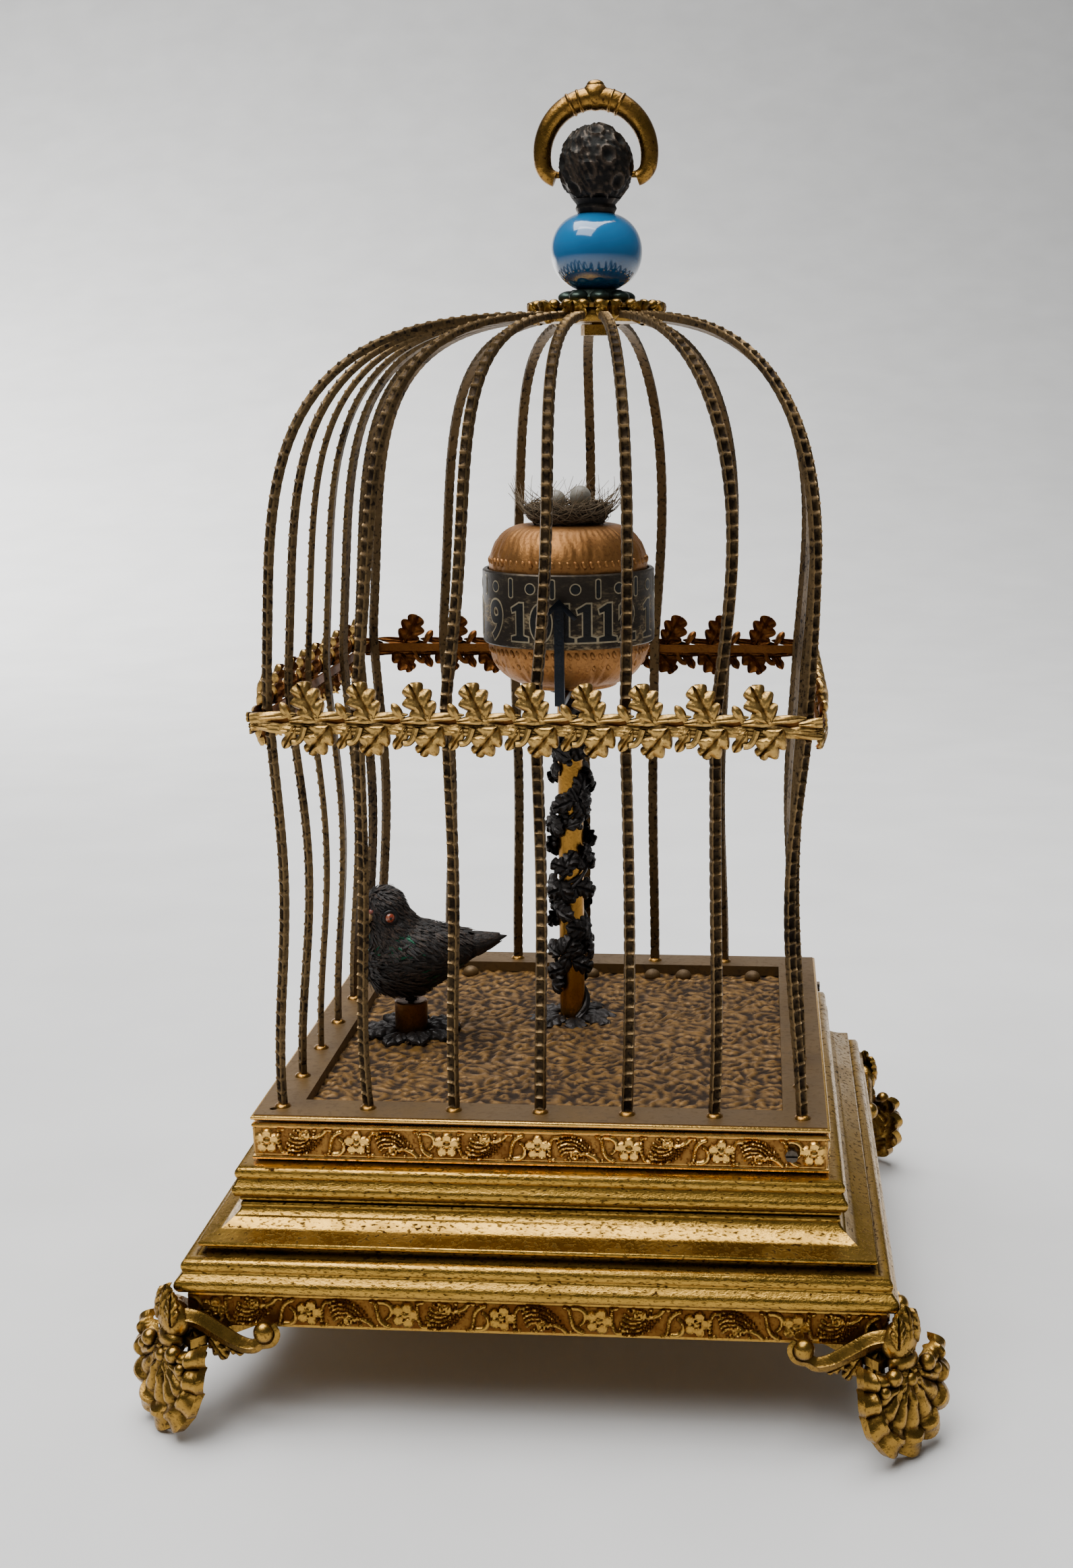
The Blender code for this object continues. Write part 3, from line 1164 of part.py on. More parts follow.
def make_dial_arbor():
    """Rod inside the post that turns the globe, with its top nut."""
    nut_top = CAP_TOP_Z + GAP + ARBOR_NUT_HEIGHT
    profile = [(0.0, nut_top), (ARBOR_NUT_RADIUS, nut_top), (ARBOR_NUT_RADIUS, nut_top - ARBOR_NUT_HEIGHT)]
    profile += [(ARBOR_RADIUS, nut_top - ARBOR_NUT_HEIGHT), (ARBOR_RADIUS, KNOB_Z), (0.0, KNOB_Z)]
    piece("dial_arbor", [turned(profile, POST_AT, SIDES_SMALL)], CLOCK_STEEL, POST_AT)


def make_dial_bowl():
    """Embossed lower half of the globe, with a hole for the arbor."""
    rim = BAND_RADIUS - BAND_WALL - GAP
    rim_top = BAND_BOTTOM_Z + GLOBE_LAP
    outer = [(rim, rim_top)]
    inner = [(rim - GLOBE_WALL, rim_top)]
    for index in range(GLOBE_STEPS + 1):
        angle = math.pi / 2 * index / GLOBE_STEPS
        radius = BOWL_BASE_RADIUS + (rim - BOWL_BASE_RADIUS) * math.cos(angle)
        height = BAND_BOTTOM_Z - BOWL_HEIGHT * math.sin(angle)
        outer.append((radius, height))
        inner.append((radius - GLOBE_WALL, height + GLOBE_WALL * math.sin(angle)))
    base = [(ARBOR_HOLE, BOWL_BOTTOM_Z), (ARBOR_HOLE, BOWL_BOTTOM_Z + GLOBE_WALL)]
    profile = outer + base + inner[::-1]
    piece("dial_bowl", [turned(profile, POST_AT, closed=True)], COPPER_GILT, POST_AT)


def make_hour_band():
    """Dark band that bears the numerals."""
    inner = BAND_RADIUS - BAND_WALL
    profile = [(BAND_RADIUS, BAND_TOP_Z), (BAND_RADIUS, BAND_BOTTOM_Z)]
    profile += [(inner, BAND_BOTTOM_Z), (inner, BAND_TOP_Z)]
    piece("hour_band", [turned(profile, POST_AT, SIDES_LARGE, closed=True)], GUNMETAL, POST_AT)


def make_dial_cap():
    """Embossed upper half of the globe, flat on top for the nest."""
    skirt = BAND_RADIUS - BAND_WALL - GAP
    skirt_low = BAND_TOP_Z - GLOBE_LAP
    shoulder_z = BAND_TOP_Z + GAP
    outer = []
    inner = []
    for index in range(GLOBE_STEPS + 1):
        angle = math.pi / 2 * index / GLOBE_STEPS
        radius = CAP_TOP_RADIUS + (CAP_SHOULDER_RADIUS - CAP_TOP_RADIUS) * math.sin(angle)
        height = shoulder_z + CAP_HEIGHT * math.cos(angle)
        outer.append((radius, height))
        inner.append((radius - GLOBE_WALL, height - GLOBE_WALL * math.cos(angle)))
    profile = [(ARBOR_HOLE, CAP_TOP_Z)] + outer + [(skirt, shoulder_z), (skirt, skirt_low)]
    profile += [(skirt - GLOBE_WALL, skirt_low)] + inner[::-1] + [(ARBOR_HOLE, CAP_TOP_Z - GLOBE_WALL)]
    piece("dial_cap", [turned(profile, POST_AT, closed=True)], COPPER_GILT, POST_AT)


def make_nest():
    """Nest of fibres with a hollow for the eggs."""
    top = NEST_Z + NEST_HEIGHT
    pocket = ARBOR_NUT_RADIUS + GAP
    pocket_top = NEST_Z + ARBOR_NUT_HEIGHT + GAP
    profile = [(0.0, NEST_FLOOR_Z), (NEST_FLOOR_RADIUS, NEST_FLOOR_Z), (NEST_HOLLOW_RADIUS, top)]
    profile += [((NEST_HOLLOW_RADIUS + NEST_RADIUS) / 2, top), (NEST_RADIUS, NEST_Z + NEST_HEIGHT / 2)]
    profile += [(NEST_RADIUS, NEST_Z), (pocket, NEST_Z), (pocket, pocket_top), (0.0, pocket_top)]
    piece("nest", [turned(profile, POST_AT)], NEST_FIBRE, POST_AT)


def make_eggs():
    """Two small eggs in the nest."""
    stretch = (1.0, EGG_LENGTH / EGG_RADIUS, 1.0)
    for side, name in ((-1, "egg_left"), (1, "egg_right")):
        spot = Vector((side * (EGG_RADIUS + GAP), 0.0, NEST_FLOOR_Z + GAP + EGG_RADIUS))
        piece(name, [ball(EGG_RADIUS, POST_AT + spot, stretch)], EGG_WHITE, POST_AT + spot)


def make_pointer():
    """Fixed arrow in front of the band, on a bracket round the post."""
    top = POST_TOP_Z
    low = top - POINTER_BRACKET_HEIGHT
    face = POST_Y - BAND_RADIUS - POINTER_GAP - POINTER_THICKNESS / 2
    half = POINTER_WIDTH / 2
    barb = POINTER_HEAD_WIDTH / 2
    tip_z = low + POINTER_HEIGHT
    barb_z = tip_z - POINTER_HEAD_HEIGHT
    notch_z = barb_z + POINTER_NOTCH
    loop = [(-half, low), (half, low), (half, notch_z), (barb, barb_z)]
    loop += [(0.0, tip_z), (-barb, barb_z), (-half, notch_z)]
    inner = POST_RADIUS + GAP
    outer = inner + POINTER_COLLAR_WALL
    arm_end = POST_Y - (inner + outer) / 2
    arm = block((POINTER_WIDTH, arm_end - face, top - low), (0.0, (arm_end + face) / 2, (low + top) / 2))
    collar = plate([circle(outer, SIDES_MEDIUM), circle(inner, SIDES_MEDIUM)], low, top, POST_AT)
    arrow = standing(loop, POINTER_THICKNESS, Vector((0.0, face, 0.0)))
    piece("pointer", [arrow, arm, collar], BLUED_STEEL)


def make_perch():
    """Short brass tube with a spigot in the floor, in a ring of leaves."""
    seat = FLOOR_TOP_Z + GAP
    low = FLOOR_TOP_Z - PERCH_SPIGOT_LENGTH
    profile = [(PERCH_RADIUS, PERCH_TOP_Z), (PERCH_RADIUS, seat), (PERCH_SPIGOT_RADIUS, seat)]
    profile += [(PERCH_SPIGOT_RADIUS, low), (PERCH_BORE, low), (PERCH_BORE, PERCH_TOP_Z)]
    piece("perch_tube", [turned(profile, PERCH_AT, closed=True)], OLD_GILT, PERCH_AT)
    ring = leaf_ring(PERCH_RADIUS, PERCH_LEAF_RADIUS, PERCH_LEAF_COUNT, PERCH_AT)
    piece("perch_leaves", [ring], DARK_BRONZE, PERCH_AT)


def rump_rise(x):
    """Height of the body's middle line above the bird's middle at x."""
    share = (x + BIRD_BREAST_REACH) / BIRD_BODY_LENGTH
    return BIRD_TAIL_RISE * share * share


def body_girth(x):
    """Share of its full girth that the body keeps at x: it narrows to the rump."""
    behind = max(x - BIRD_TAPER_START, 0.0) / (BIRD_RUMP_X - BIRD_TAPER_START)
    return 1 - (1 - BIRD_RUMP_SHARE) * min(behind, 1.0)


def body_shape():
    """Plump body that narrows and rises to the tail."""

    def fill(work):
        bmesh.ops.create_uvsphere(work, u_segments=10, v_segments=8, radius=1.0)
        for vert in work.verts:
            share = ((vert.co.z + 1) / 2) ** BIRD_BODY_SKEW
            x = BIRD_BODY_LENGTH * share - BIRD_BREAST_REACH
            girth = body_girth(x)
            z = BIRD_MIDDLE_Z + vert.co.x * BIRD_BODY_HALF_HEIGHT * girth + rump_rise(x)
            vert.co = (x, vert.co.y * BIRD_BODY_HALF_WIDTH * girth, z)
        bmesh.ops.recalc_face_normals(work, faces=work.faces)

    return from_bmesh(fill)


def head_shape(grow=0.0):
    """Head, or the space round it."""
    width = (BIRD_HEAD_HALF_WIDTH + grow) / (BIRD_HEAD_HALF_HEIGHT + grow)
    return ball(BIRD_HEAD_HALF_HEIGHT + grow, BIRD_HEAD_AT, (width, width, 1.0), 10, 7)


def eye_spots():
    """Middles of the eyes, right then left, in the bird's own frame."""
    spots = []
    for side in (-1, 1):
        turn = Matrix.Rotation(side * EYE_AZIMUTH, 4, "Z")
        out = turn @ BEAK_TURN @ Vector((-1.0, 0.0, 0.0))
        spots.append(BIRD_HEAD_AT + out * (BIRD_HEAD_HALF_WIDTH - EYE_RADIUS + EYE_PROUD))
    return spots


def beak_place():
    """Place of the beak, from inside the head, with local +Z to its tip."""
    level = BIRD_HEAD_HALF_WIDTH * math.sqrt(1 - (BEAK_DROP / BIRD_HEAD_HALF_HEIGHT) ** 2)
    start = Matrix.Translation(BIRD_HEAD_AT - Vector((0.0, 0.0, BEAK_DROP)))
    ahead = Matrix.Translation((BEAK_RADIUS - level, 0.0, 0.0))
    return start @ BEAK_TURN @ ahead @ Matrix.Rotation(-math.pi / 2 - BEAK_PITCH, 4, "Y")


def beak_half(side):
    """Upper (1) or lower (-1) half of the beak, clear of head and split."""
    length = BEAK_RADIUS + BEAK_LENGTH
    away = block((2 * length, 4 * BEAK_RADIUS, 4 * length), (side * (GAP / 2 - length), 0.0, 0.0))
    cone = rod(BEAK_RADIUS, 0.0, length, sides=BEAK_SIDES, top_share=BEAK_TIP_SHARE)
    half = moved(combined(cone, away, "DIFFERENCE"), beak_place())
    return moved(combined(half, head_shape(GAP), "DIFFERENCE"), BIRD_FRAME)


def make_bird_body():
    """Stuffed body and head in one, with sockets for eyes and rod."""
    hole = rod(BIRD_ROD_RADIUS + GAP, PERCH_TOP_Z, BIRD_ROD_TOP_Z + GAP)
    behind = block((BIRD_BODY_LENGTH,) * 3, (BIRD_RUMP_X + BIRD_BODY_LENGTH / 2, 0.0, BIRD_MIDDLE_Z))
    sockets = [ball(EYE_RADIUS + GAP, spot) for spot in eye_spots()]
    whole = combined(body_shape(), head_shape(), "UNION")
    for cutter in [hole, behind] + sockets:
        whole = combined(whole, cutter, "DIFFERENCE")
    piece("bird_body", [moved(whole, BIRD_FRAME)], BIRD_DARK, Vector((PERCH_X, PERCH_Y, PERCH_TOP_Z)))


def make_bird_eyes():
    """Two glass eyes."""
    for name, spot in zip(("bird_eye_right", "bird_eye_left"), eye_spots()):
        at = BIRD_FRAME @ spot
        piece(name, [ball(EYE_RADIUS, at, segments=8, rings=6)], EYE_RED, at)


def make_beak():
    """Fixed upper beak and the lower one that opens, hinged at its root."""
    hinge = BIRD_FRAME @ beak_place() @ Vector((0.0, 0.0, BEAK_RADIUS + GAP))
    piece("bird_upper_beak", [beak_half(1)], BEAK_CREAM, hinge)
    piece("bird_lower_beak", [beak_half(-1)], BEAK_CREAM, hinge)


def make_tail():
    """Tail that flicks on a pin behind the rump."""
    root = Vector((BIRD_RUMP_X + TAIL_GAP, 0.0, BIRD_MIDDLE_Z + rump_rise(BIRD_RUMP_X)))

    def fill(work):
        bmesh.ops.create_cone(
            work, cap_ends=True, segments=SIDES_SMALL, radius1=1.0, radius2=TAIL_TIP_SHARE, depth=1.0
        )
        bmesh.ops.translate(work, vec=(0.0, 0.0, 0.5), verts=work.verts)
        size = (TAIL_ROOT_HALF_HEIGHT, TAIL_ROOT_HALF_WIDTH, TAIL_LENGTH)
        bmesh.ops.scale(work, vec=size, verts=work.verts)

    level = Matrix.Rotation(math.pi / 2 - TAIL_PITCH, 4, "Y")
    place = BIRD_FRAME @ Matrix.Translation(root) @ level
    piece("bird_tail", [moved(from_bmesh(fill), place)], BIRD_DARK, BIRD_FRAME @ root)


def make_bird_rod():
    """Rod up through the perch that turns the bird, with its lever below."""
    shaft = rod(BIRD_ROD_RADIUS, LOWER_PLATE_TOP_Z + BIRD_ROD_LEVEL, BIRD_ROD_TOP_Z, PERCH_AT)
    size = (BIRD_LEVER_LENGTH, BIRD_LEVER_WIDTH, BIRD_LEVER_THICKNESS)
    level = LOWER_PLATE_TOP_Z + BIRD_LEVER_LEVEL
    lever = block(size, PERCH_AT + Vector(((BIRD_LEVER_LENGTH - BIRD_LEVER_WIDTH) / 2, 0.0, level)))
    piece("bird_rod", [shaft, lever], CLOCK_STEEL, PERCH_AT)


def make_movement_plates():
    """Lower plate with its riveted pillars, and the upper plate on them."""
    along = PLATE_HALF - PILLAR_INSET
    pillars = [Vector((x, y, 0.0)) for x in (-along, along) for y in (-along, along)]
    shared = [circle(ARBOR_HOLE, at=POST_AT), circle(KEY_HOLE, at=BARREL_AT)]
    for at in (THIRD_AT, ESCAPE_AT, CAM_AT, BALANCE_AT):
        shared.append(circle(PIVOT_RADIUS + RUNNING_GAP, at=at))
    lower = [plate([square(PLATE_HALF)] + shared, LOWER_PLATE_Z, LOWER_PLATE_TOP_Z)]
    top = FLOOR_BOTTOM_Z - GAP
    shoulder = UPPER_PLATE_Z - GAP
    rivet = LOWER_PLATE_Z + PLATE_THICKNESS / 2
    for at in pillars:
        profile = [(0.0, top), (PILLAR_NECK_RADIUS, top), (PILLAR_NECK_RADIUS, shoulder)]
        profile += [(PILLAR_RADIUS, shoulder), (PILLAR_RADIUS, rivet), (0.0, rivet)]
        lower.append(turned(profile, at, SIDES_SMALL))
    piece("movement_lower_plate", lower, CLOCK_BRASS)
    loops = [square(PLATE_HALF)] + shared
    loops.append(circle(BIRD_ROD_RADIUS + RUNNING_GAP, at=PERCH_AT))
    loops += [circle(PILLAR_NECK_RADIUS + GAP, at=at) for at in pillars]
    piece("movement_upper_plate", [plate(loops, UPPER_PLATE_Z, UPPER_PLATE_TOP_Z)], CLOCK_BRASS)


def make_barrel():
    """Mainspring barrel with the great wheel on top."""
    hole = circle(KEY_HOLE)
    low = LOWER_PLATE_TOP_Z + BARREL_LEVEL
    drum = plate([circle(BARREL_RADIUS, SIDES_LARGE), hole], low, GEAR_Z + GEAR_THICKNESS / 2, BARREL_AT)
    wheel = plate([gear(BARREL_TEETH, BARREL_PHASE), hole], GEAR_Z, GEAR_Z + GEAR_THICKNESS, BARREL_AT)
    piece("mainspring_barrel", [drum, wheel], CLOCK_BRASS, BARREL_AT)


def make_winding_key():
    """Winding arbor through the barrel, with the key's wings below."""
    boss_top = BASE_BOTTOM_Z - KEY_BOSS_DROP
    middle = KEY_ABOVE_TABLE + KEY_BOW_RADIUS
    profile = [(0.0, UPPER_PLATE_TOP_Z), (KEY_ARBOR_RADIUS, UPPER_PLATE_TOP_Z), (KEY_ARBOR_RADIUS, boss_top)]
    profile += [(KEY_BOSS_RADIUS, boss_top), (KEY_BOSS_RADIUS, middle), (0.0, middle)]
    shapes = [turned(profile, BARREL_AT, SIDES_SMALL)]
    half = KEY_BOW_THICKNESS / 2
    for side in (-1, 1):
        spot = BARREL_AT + Vector((side * KEY_BOW_SPREAD, 0.0, middle))
        upright = Matrix.Translation(spot) @ Matrix.Rotation(math.pi / 2, 4, "X")
        shapes.append(moved(rod(KEY_BOW_RADIUS, -half, half, sides=SIDES_MEDIUM), upright))
    piece("winding_key", shapes, CLOCK_STEEL, BARREL_AT)


def make_hour_wheel():
    """Wheel on the dial's arbor."""
    loops = [gear(HOUR_TEETH, 0.0), circle(ARBOR_HOLE)]
    piece("hour_wheel", [plate(loops, GEAR_Z, GEAR_Z + GEAR_THICKNESS, POST_AT)], CLOCK_BRASS, POST_AT)


def make_train_arbor(name, at, discs):
    """Arbor with its wheels: each disc is (outline, low, high)."""
    shapes = [rod(PIVOT_RADIUS, LOWER_PLATE_Z, UPPER_PLATE_TOP_Z, at)]
    shapes += [plate([loop], low, high, at) for loop, low, high in discs]
    piece(name, shapes, CLOCK_BRASS, at)


def make_train():
    """Third wheel, escape wheel and the wheel of the bird's cam."""
    top = GEAR_Z + GEAR_THICKNESS
    third_top = THIRD_WHEEL_Z + GEAR_THICKNESS
    cam_z = top + CAM_GAP
    third_pinion = (gear(THIRD_PINION_TEETH, THIRD_PHASE), GEAR_Z - GAP, top + GAP)
    third_wheel = (gear(THIRD_WHEEL_TEETH, 0.0), THIRD_WHEEL_Z, third_top)
    make_train_arbor("third_wheel", THIRD_AT, [third_pinion, third_wheel])
    escape_pinion = (gear(ESCAPE_PINION_TEETH, ESCAPE_PHASE), THIRD_WHEEL_Z - GAP, third_top + GAP)
    escape_disc = scalloped(ESCAPE_WHEEL_RADIUS, ESCAPE_TOOTH_DEPTH, ESCAPE_WHEEL_TEETH, points_each=2)
    make_train_arbor("escape_wheel", ESCAPE_AT, [escape_pinion, (escape_disc, GEAR_Z, top)])
    cam_wheel = (gear(CAM_TEETH, CAM_PHASE), GEAR_Z, top)
    cam = circle(CAM_RADIUS, SIDES_MEDIUM, Vector((CAM_THROW, 0.0, 0.0)))
    cam_disc = (cam, cam_z, cam_z + GEAR_THICKNESS)
    make_train_arbor("cam_wheel", CAM_AT, [cam_wheel, cam_disc])


def make_balance():
    """Balance wheel: a rim with one spoke on its staff."""
    low = LOWER_PLATE_TOP_Z + BALANCE_LEVEL
    high = low + BALANCE_THICKNESS
    inner = BALANCE_RADIUS - BALANCE_RIM
    rim = plate([circle(BALANCE_RADIUS, SIDES_LARGE), circle(inner, SIDES_LARGE)], low, high, BALANCE_AT)
    spoke_size = (BALANCE_RADIUS + inner, BALANCE_RIM, BALANCE_THICKNESS / 2)
    spoke = block(spoke_size, BALANCE_AT + Vector((0.0, 0.0, (low + high) / 2)))
    staff = rod(PIVOT_RADIUS, LOWER_PLATE_Z, UPPER_PLATE_TOP_Z, BALANCE_AT)
    piece("balance_wheel", [rim, spoke, staff], CLOCK_BRASS, BALANCE_AT)


def make_set_knob():
    """Fluted knob under the base that sets the globe."""
    loops = [scalloped(KNOB_RADIUS, KNOB_FLUTE_DEPTH, KNOB_FLUTES, points_each=3), circle(ARBOR_HOLE)]
    piece("set_knob", [plate(loops, KNOB_Z, KNOB_Z + KNOB_THICKNESS, POST_AT)], GILT, POST_AT)


def make_bellows():
    """Bellows that blow the whistle: leather and a board that rides on it."""
    leather_top = BELLOWS_Z + BELLOWS_HEIGHT
    inset = 2 * BELLOWS_INSET
    leather_size = (BELLOWS_LENGTH - inset, BELLOWS_WIDTH - inset, BELLOWS_HEIGHT)
    leather = block(leather_size, (BELLOWS_X, BELLOWS_Y, (BELLOWS_Z + leather_top) / 2))
    piece("bellows_leather", [leather], LEATHER)
    middle = Vector((BELLOWS_X, BELLOWS_Y, leather_top + GAP + BELLOWS_BOARD / 2))
    board = block((BELLOWS_LENGTH, BELLOWS_WIDTH, BELLOWS_BOARD), middle)
    piece("bellows_board", [board], WALNUT, middle)


def make_whistle():
    """Whistle tube with the piston that slides in it to change the note."""
    start = Vector((BELLOWS_X + BELLOWS_LENGTH / 2 + GAP, BELLOWS_Y, WHISTLE_Z))
    level = Matrix.Translation(start) @ Matrix.Rotation(math.pi / 2, 4, "Y")
    profile = [(WHISTLE_RADIUS, WHISTLE_LENGTH), (WHISTLE_RADIUS, 0.0)]
    profile += [(WHISTLE_BORE, 0.0), (WHISTLE_BORE, WHISTLE_LENGTH)]
    tube = moved(turned(profile, sides=SIDES_SMALL, closed=True), level)
    piece("whistle_tube", [tube], CLOCK_BRASS, start)
    end = WHISTLE_LENGTH + PISTON_OUT
    piston = turned_rod(PISTON_RADIUS, end - PISTON_LENGTH, end, level)
    piece("whistle_piston", [piston], CLOCK_STEEL, start + Vector((end, 0.0, 0.0)))


def turned_rod(radius, low, high, place):
    """Rod between two distances along a placed axis."""
    profile = [(0.0, high), (radius, high), (radius, low), (0.0, low)]
    return moved(turned(profile, sides=SIDES_SMALL), place)


for item in list(bpy.data.objects):
    bpy.data.objects.remove(item, do_unlink=True)
PARTS = new_collection("birdcage_timepiece")
SHAPES = new_collection("working_shapes")

make_base_shell()
make_friezes()
make_rim_plate()
make_floor_plate()
make_bottom_plate()
make_feet()
make_case_screws()
make_cage_bars()
make_leaf_belt()
make_crown_plate()
make_petal_collar()
make_beads()
make_crown_spindle()
make_bow()
make_post()
make_post_vine()
make_dial_arbor()
make_dial_bowl()
make_hour_band()
make_dial_cap()
make_nest()
make_eggs()
make_pointer()
make_perch()
make_bird_body()
make_bird_eyes()
make_beak()
make_tail()
make_bird_rod()
make_movement_plates()
make_barrel()
make_winding_key()
make_hour_wheel()
make_train()
make_balance()
make_set_knob()
make_bellows()
make_whistle()
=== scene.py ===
"""Looks of the birdcage timepiece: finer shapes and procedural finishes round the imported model.

Each sub-assembly of the real object is a class: it holds its sizes, builds its meshes in the
model's own frame, in metres, and dresses them in the finishes that are listed first.
"""

import logging
import math
import random
from dataclasses import dataclass
from enum import Enum
from typing import Callable, Optional, Sequence

import bmesh
import bpy
import numpy as np
from mathutils import Matrix, Vector, geometry


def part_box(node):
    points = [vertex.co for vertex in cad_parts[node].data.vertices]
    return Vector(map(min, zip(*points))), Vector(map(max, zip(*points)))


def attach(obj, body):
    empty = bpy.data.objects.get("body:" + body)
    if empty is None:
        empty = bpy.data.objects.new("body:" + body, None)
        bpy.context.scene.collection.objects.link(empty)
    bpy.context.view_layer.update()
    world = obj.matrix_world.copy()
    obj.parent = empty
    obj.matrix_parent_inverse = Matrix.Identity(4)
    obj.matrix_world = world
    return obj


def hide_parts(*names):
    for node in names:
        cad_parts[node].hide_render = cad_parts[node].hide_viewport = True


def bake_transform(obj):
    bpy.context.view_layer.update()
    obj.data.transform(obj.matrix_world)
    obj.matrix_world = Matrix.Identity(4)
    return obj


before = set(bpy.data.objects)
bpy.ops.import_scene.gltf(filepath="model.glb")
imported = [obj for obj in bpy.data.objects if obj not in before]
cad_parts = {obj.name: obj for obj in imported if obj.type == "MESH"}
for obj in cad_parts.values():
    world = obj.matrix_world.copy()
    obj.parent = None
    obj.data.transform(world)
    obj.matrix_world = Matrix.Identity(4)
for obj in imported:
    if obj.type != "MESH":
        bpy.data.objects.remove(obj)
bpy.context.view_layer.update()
LOG = logging.getLogger("birdcage")
MM = 0.001
# Vertex attribute read by the finishes: real tone on feathers, painted shade on the low parts of reliefs.
TONE_AND_SHADE = "tone"
Colour = tuple[float, float, float]
Point = tuple[float, float]


class Body(Enum):
    """Bodies of the model that pieces ride on."""

    CAGE = "cage"
    DIAL = "dial"
    BIRD = "bird"
    BEAK = "beak"
    TAIL = "tail"
    BOW = "bow_ring"
    BELLOWS = "bellows"


class Slot(Enum):
    """Names of the material slots."""

    GILT = "gilt_brass"
    OLD_GILT = "old_gilt"
    BAR = "bar_brass"
    DUSTY = "dusty_brass"
    COPPER = "copper_gilt"
    GUNMETAL = "gunmetal"
    BLUED = "blued_steel"
    BRONZE = "dark_bronze"
    GREEN = "green_bronze"
    OPALINE = "blue_opaline"
    STEEL = "dark_steel"
    CLOCK_BRASS = "clock_brass"
    CLOCK_STEEL = "clock_steel"
    NEST = "nest_fibre"
    EGG = "egg_white"
    FEATHER = "bird_feather"
    HORN = "beak_horn"
    EYE = "eye_glass"
    LEATHER = "bellows_leather"
    WOOD = "bellows_wood"


# Finishes


class Board:
    """Short way to lay out shader nodes in one tree."""

    def __init__(self, tree: bpy.types.NodeTree) -> None:
        """Keep the tree that nodes go into."""
        self.tree = tree

    def add(self, kind: str, inputs: dict, **settings: object) -> bpy.types.Node:
        """Add a node with its settings and inputs.

        Args:
            kind: node type without its ShaderNode prefix.
            inputs: value or source socket for each input's name or index.
            settings: the node's own options.

        Returns:
            The new node.
        """
        node = self.tree.nodes.new("ShaderNode" + kind)
        node.location = (180 * len(self.tree.nodes), 0)
        for name, value in settings.items():
            setattr(node, name, value)
        for name, value in inputs.items():
            if isinstance(value, bpy.types.NodeSocket):
                self.tree.links.new(value, node.inputs[name])
            else:
                node.inputs[name].default_value = value
        return node

    def math(self, operation: str, first: object, second: object = 0.0) -> bpy.types.NodeSocket:
        """Result of one sum of two values, kept between 0 and 1."""
        return self.add("Math", {0: first, 1: second}, operation=operation, use_clamp=True).outputs[0]

    def scaled(self, value: bpy.types.NodeSocket, source: Point, target: Point) -> bpy.types.NodeSocket:
        """Carry a value from one range to another.

        Args:
            value: the value's socket.
            source: lowest and highest value read.
            target: what they become.

        Returns:
            Socket with the new value.
        """
        span = {"Value": value, "From Min": source[0], "From Max": source[1]}
        return self.add("MapRange", {**span, "To Min": target[0], "To Max": target[1]}).outputs[0]

    def mixed(self, share: object, first: object, second: object) -> bpy.types.NodeSocket:
        """Colour between two colours."""
        return self.add("Mix", {0: share, 6: first, 7: second}, data_type="RGBA").outputs[2]


def node_group(name: str, sockets: Sequence[tuple[str, str, str]]) -> tuple[bpy.types.NodeTree, Board]:
    """Make a shader node group with named sockets.

    Args:
        name: the group's name.
        sockets: name, INPUT or OUTPUT, and type of each socket.

    Returns:
        The group and its board.
    """
    group = bpy.data.node_groups.new(name, "ShaderNodeTree")
    for label, side, kind in sockets:
        group.interface.new_socket(name=label, in_out=side, socket_type="NodeSocket" + kind)
    return group, Board(group)


def patina_group() -> bpy.types.NodeTree:
    """Bright metal with dark tarnish pits and blots, and painted shade in recesses and on the low parts of reliefs.

    Returns:
        Group that puts out a colour, a mask of the dark parts and a height.
    """
    names = [("Vector", "Vector"), ("Bright", "Color"), ("Dark", "Color"), ("Blot Scale", "Float")]
    names += [("Pit Scale", "Float"), ("Blots", "Float"), ("Pits", "Float"), ("Hollow Reach", "Float")]
    names += [("Hollows", "Float"), ("Tone", "Float")]
    sockets = [(label, "INPUT", kind) for label, kind in names]
    sockets += [("Colour", "OUTPUT", "Color"), ("Mask", "OUTPUT", "Float"), ("Height", "OUTPUT", "Float")]
    group, board = node_group("patina_and_shade", sockets)
    given = board.tree.nodes.new("NodeGroupInput").outputs
    blot = board.add("TexNoise", {"Vector": given["Vector"], "Scale": given["Blot Scale"], "Detail": 5.0})
    pit = board.add("TexNoise", {"Vector": given["Vector"], "Scale": given["Pit Scale"], "Detail": 3.0})
    # Painted shade: ambient occlusion darkens the colour in recesses.
    shade = board.add("AmbientOcclusion", {"Distance": given["Hollow Reach"]}, samples=6, only_local=True)
    hollow_shade = board.math("MULTIPLY", board.math("SUBTRACT", 1.0, shade.outputs["AO"]), given["Hollows"])
    blots = board.math("MULTIPLY", board.scaled(blot.outputs[0], (0.48, 0.72), (0.0, 1.0)), given["Blots"])
    pits = board.math("MULTIPLY", board.scaled(pit.outputs[0], (0.54, 0.66), (0.0, 1.0)), given["Pits"])
    # The mask adds painted shade (recesses and the relief input) to real tarnish (blots and pits).
    mask = board.math("ADD", board.math("ADD", hollow_shade, given["Tone"]), board.math("ADD", blots, pits))
    vary = board.scaled(blot.outputs[0], (0.3, 0.7), (0.72, 1.18))
    bright = board.add("VectorMath", {0: given["Bright"], "Scale": vary}, operation="SCALE").outputs[0]
    out = board.tree.nodes.new("NodeGroupOutput").inputs
    board.tree.links.new(board.mixed(mask, bright, given["Dark"]), out["Colour"])
    board.tree.links.new(mask, out["Mask"])
    board.tree.links.new(board.math("SUBTRACT", pit.outputs[0], board.math("MULTIPLY", mask, 0.4)), out["Height"])
    return group


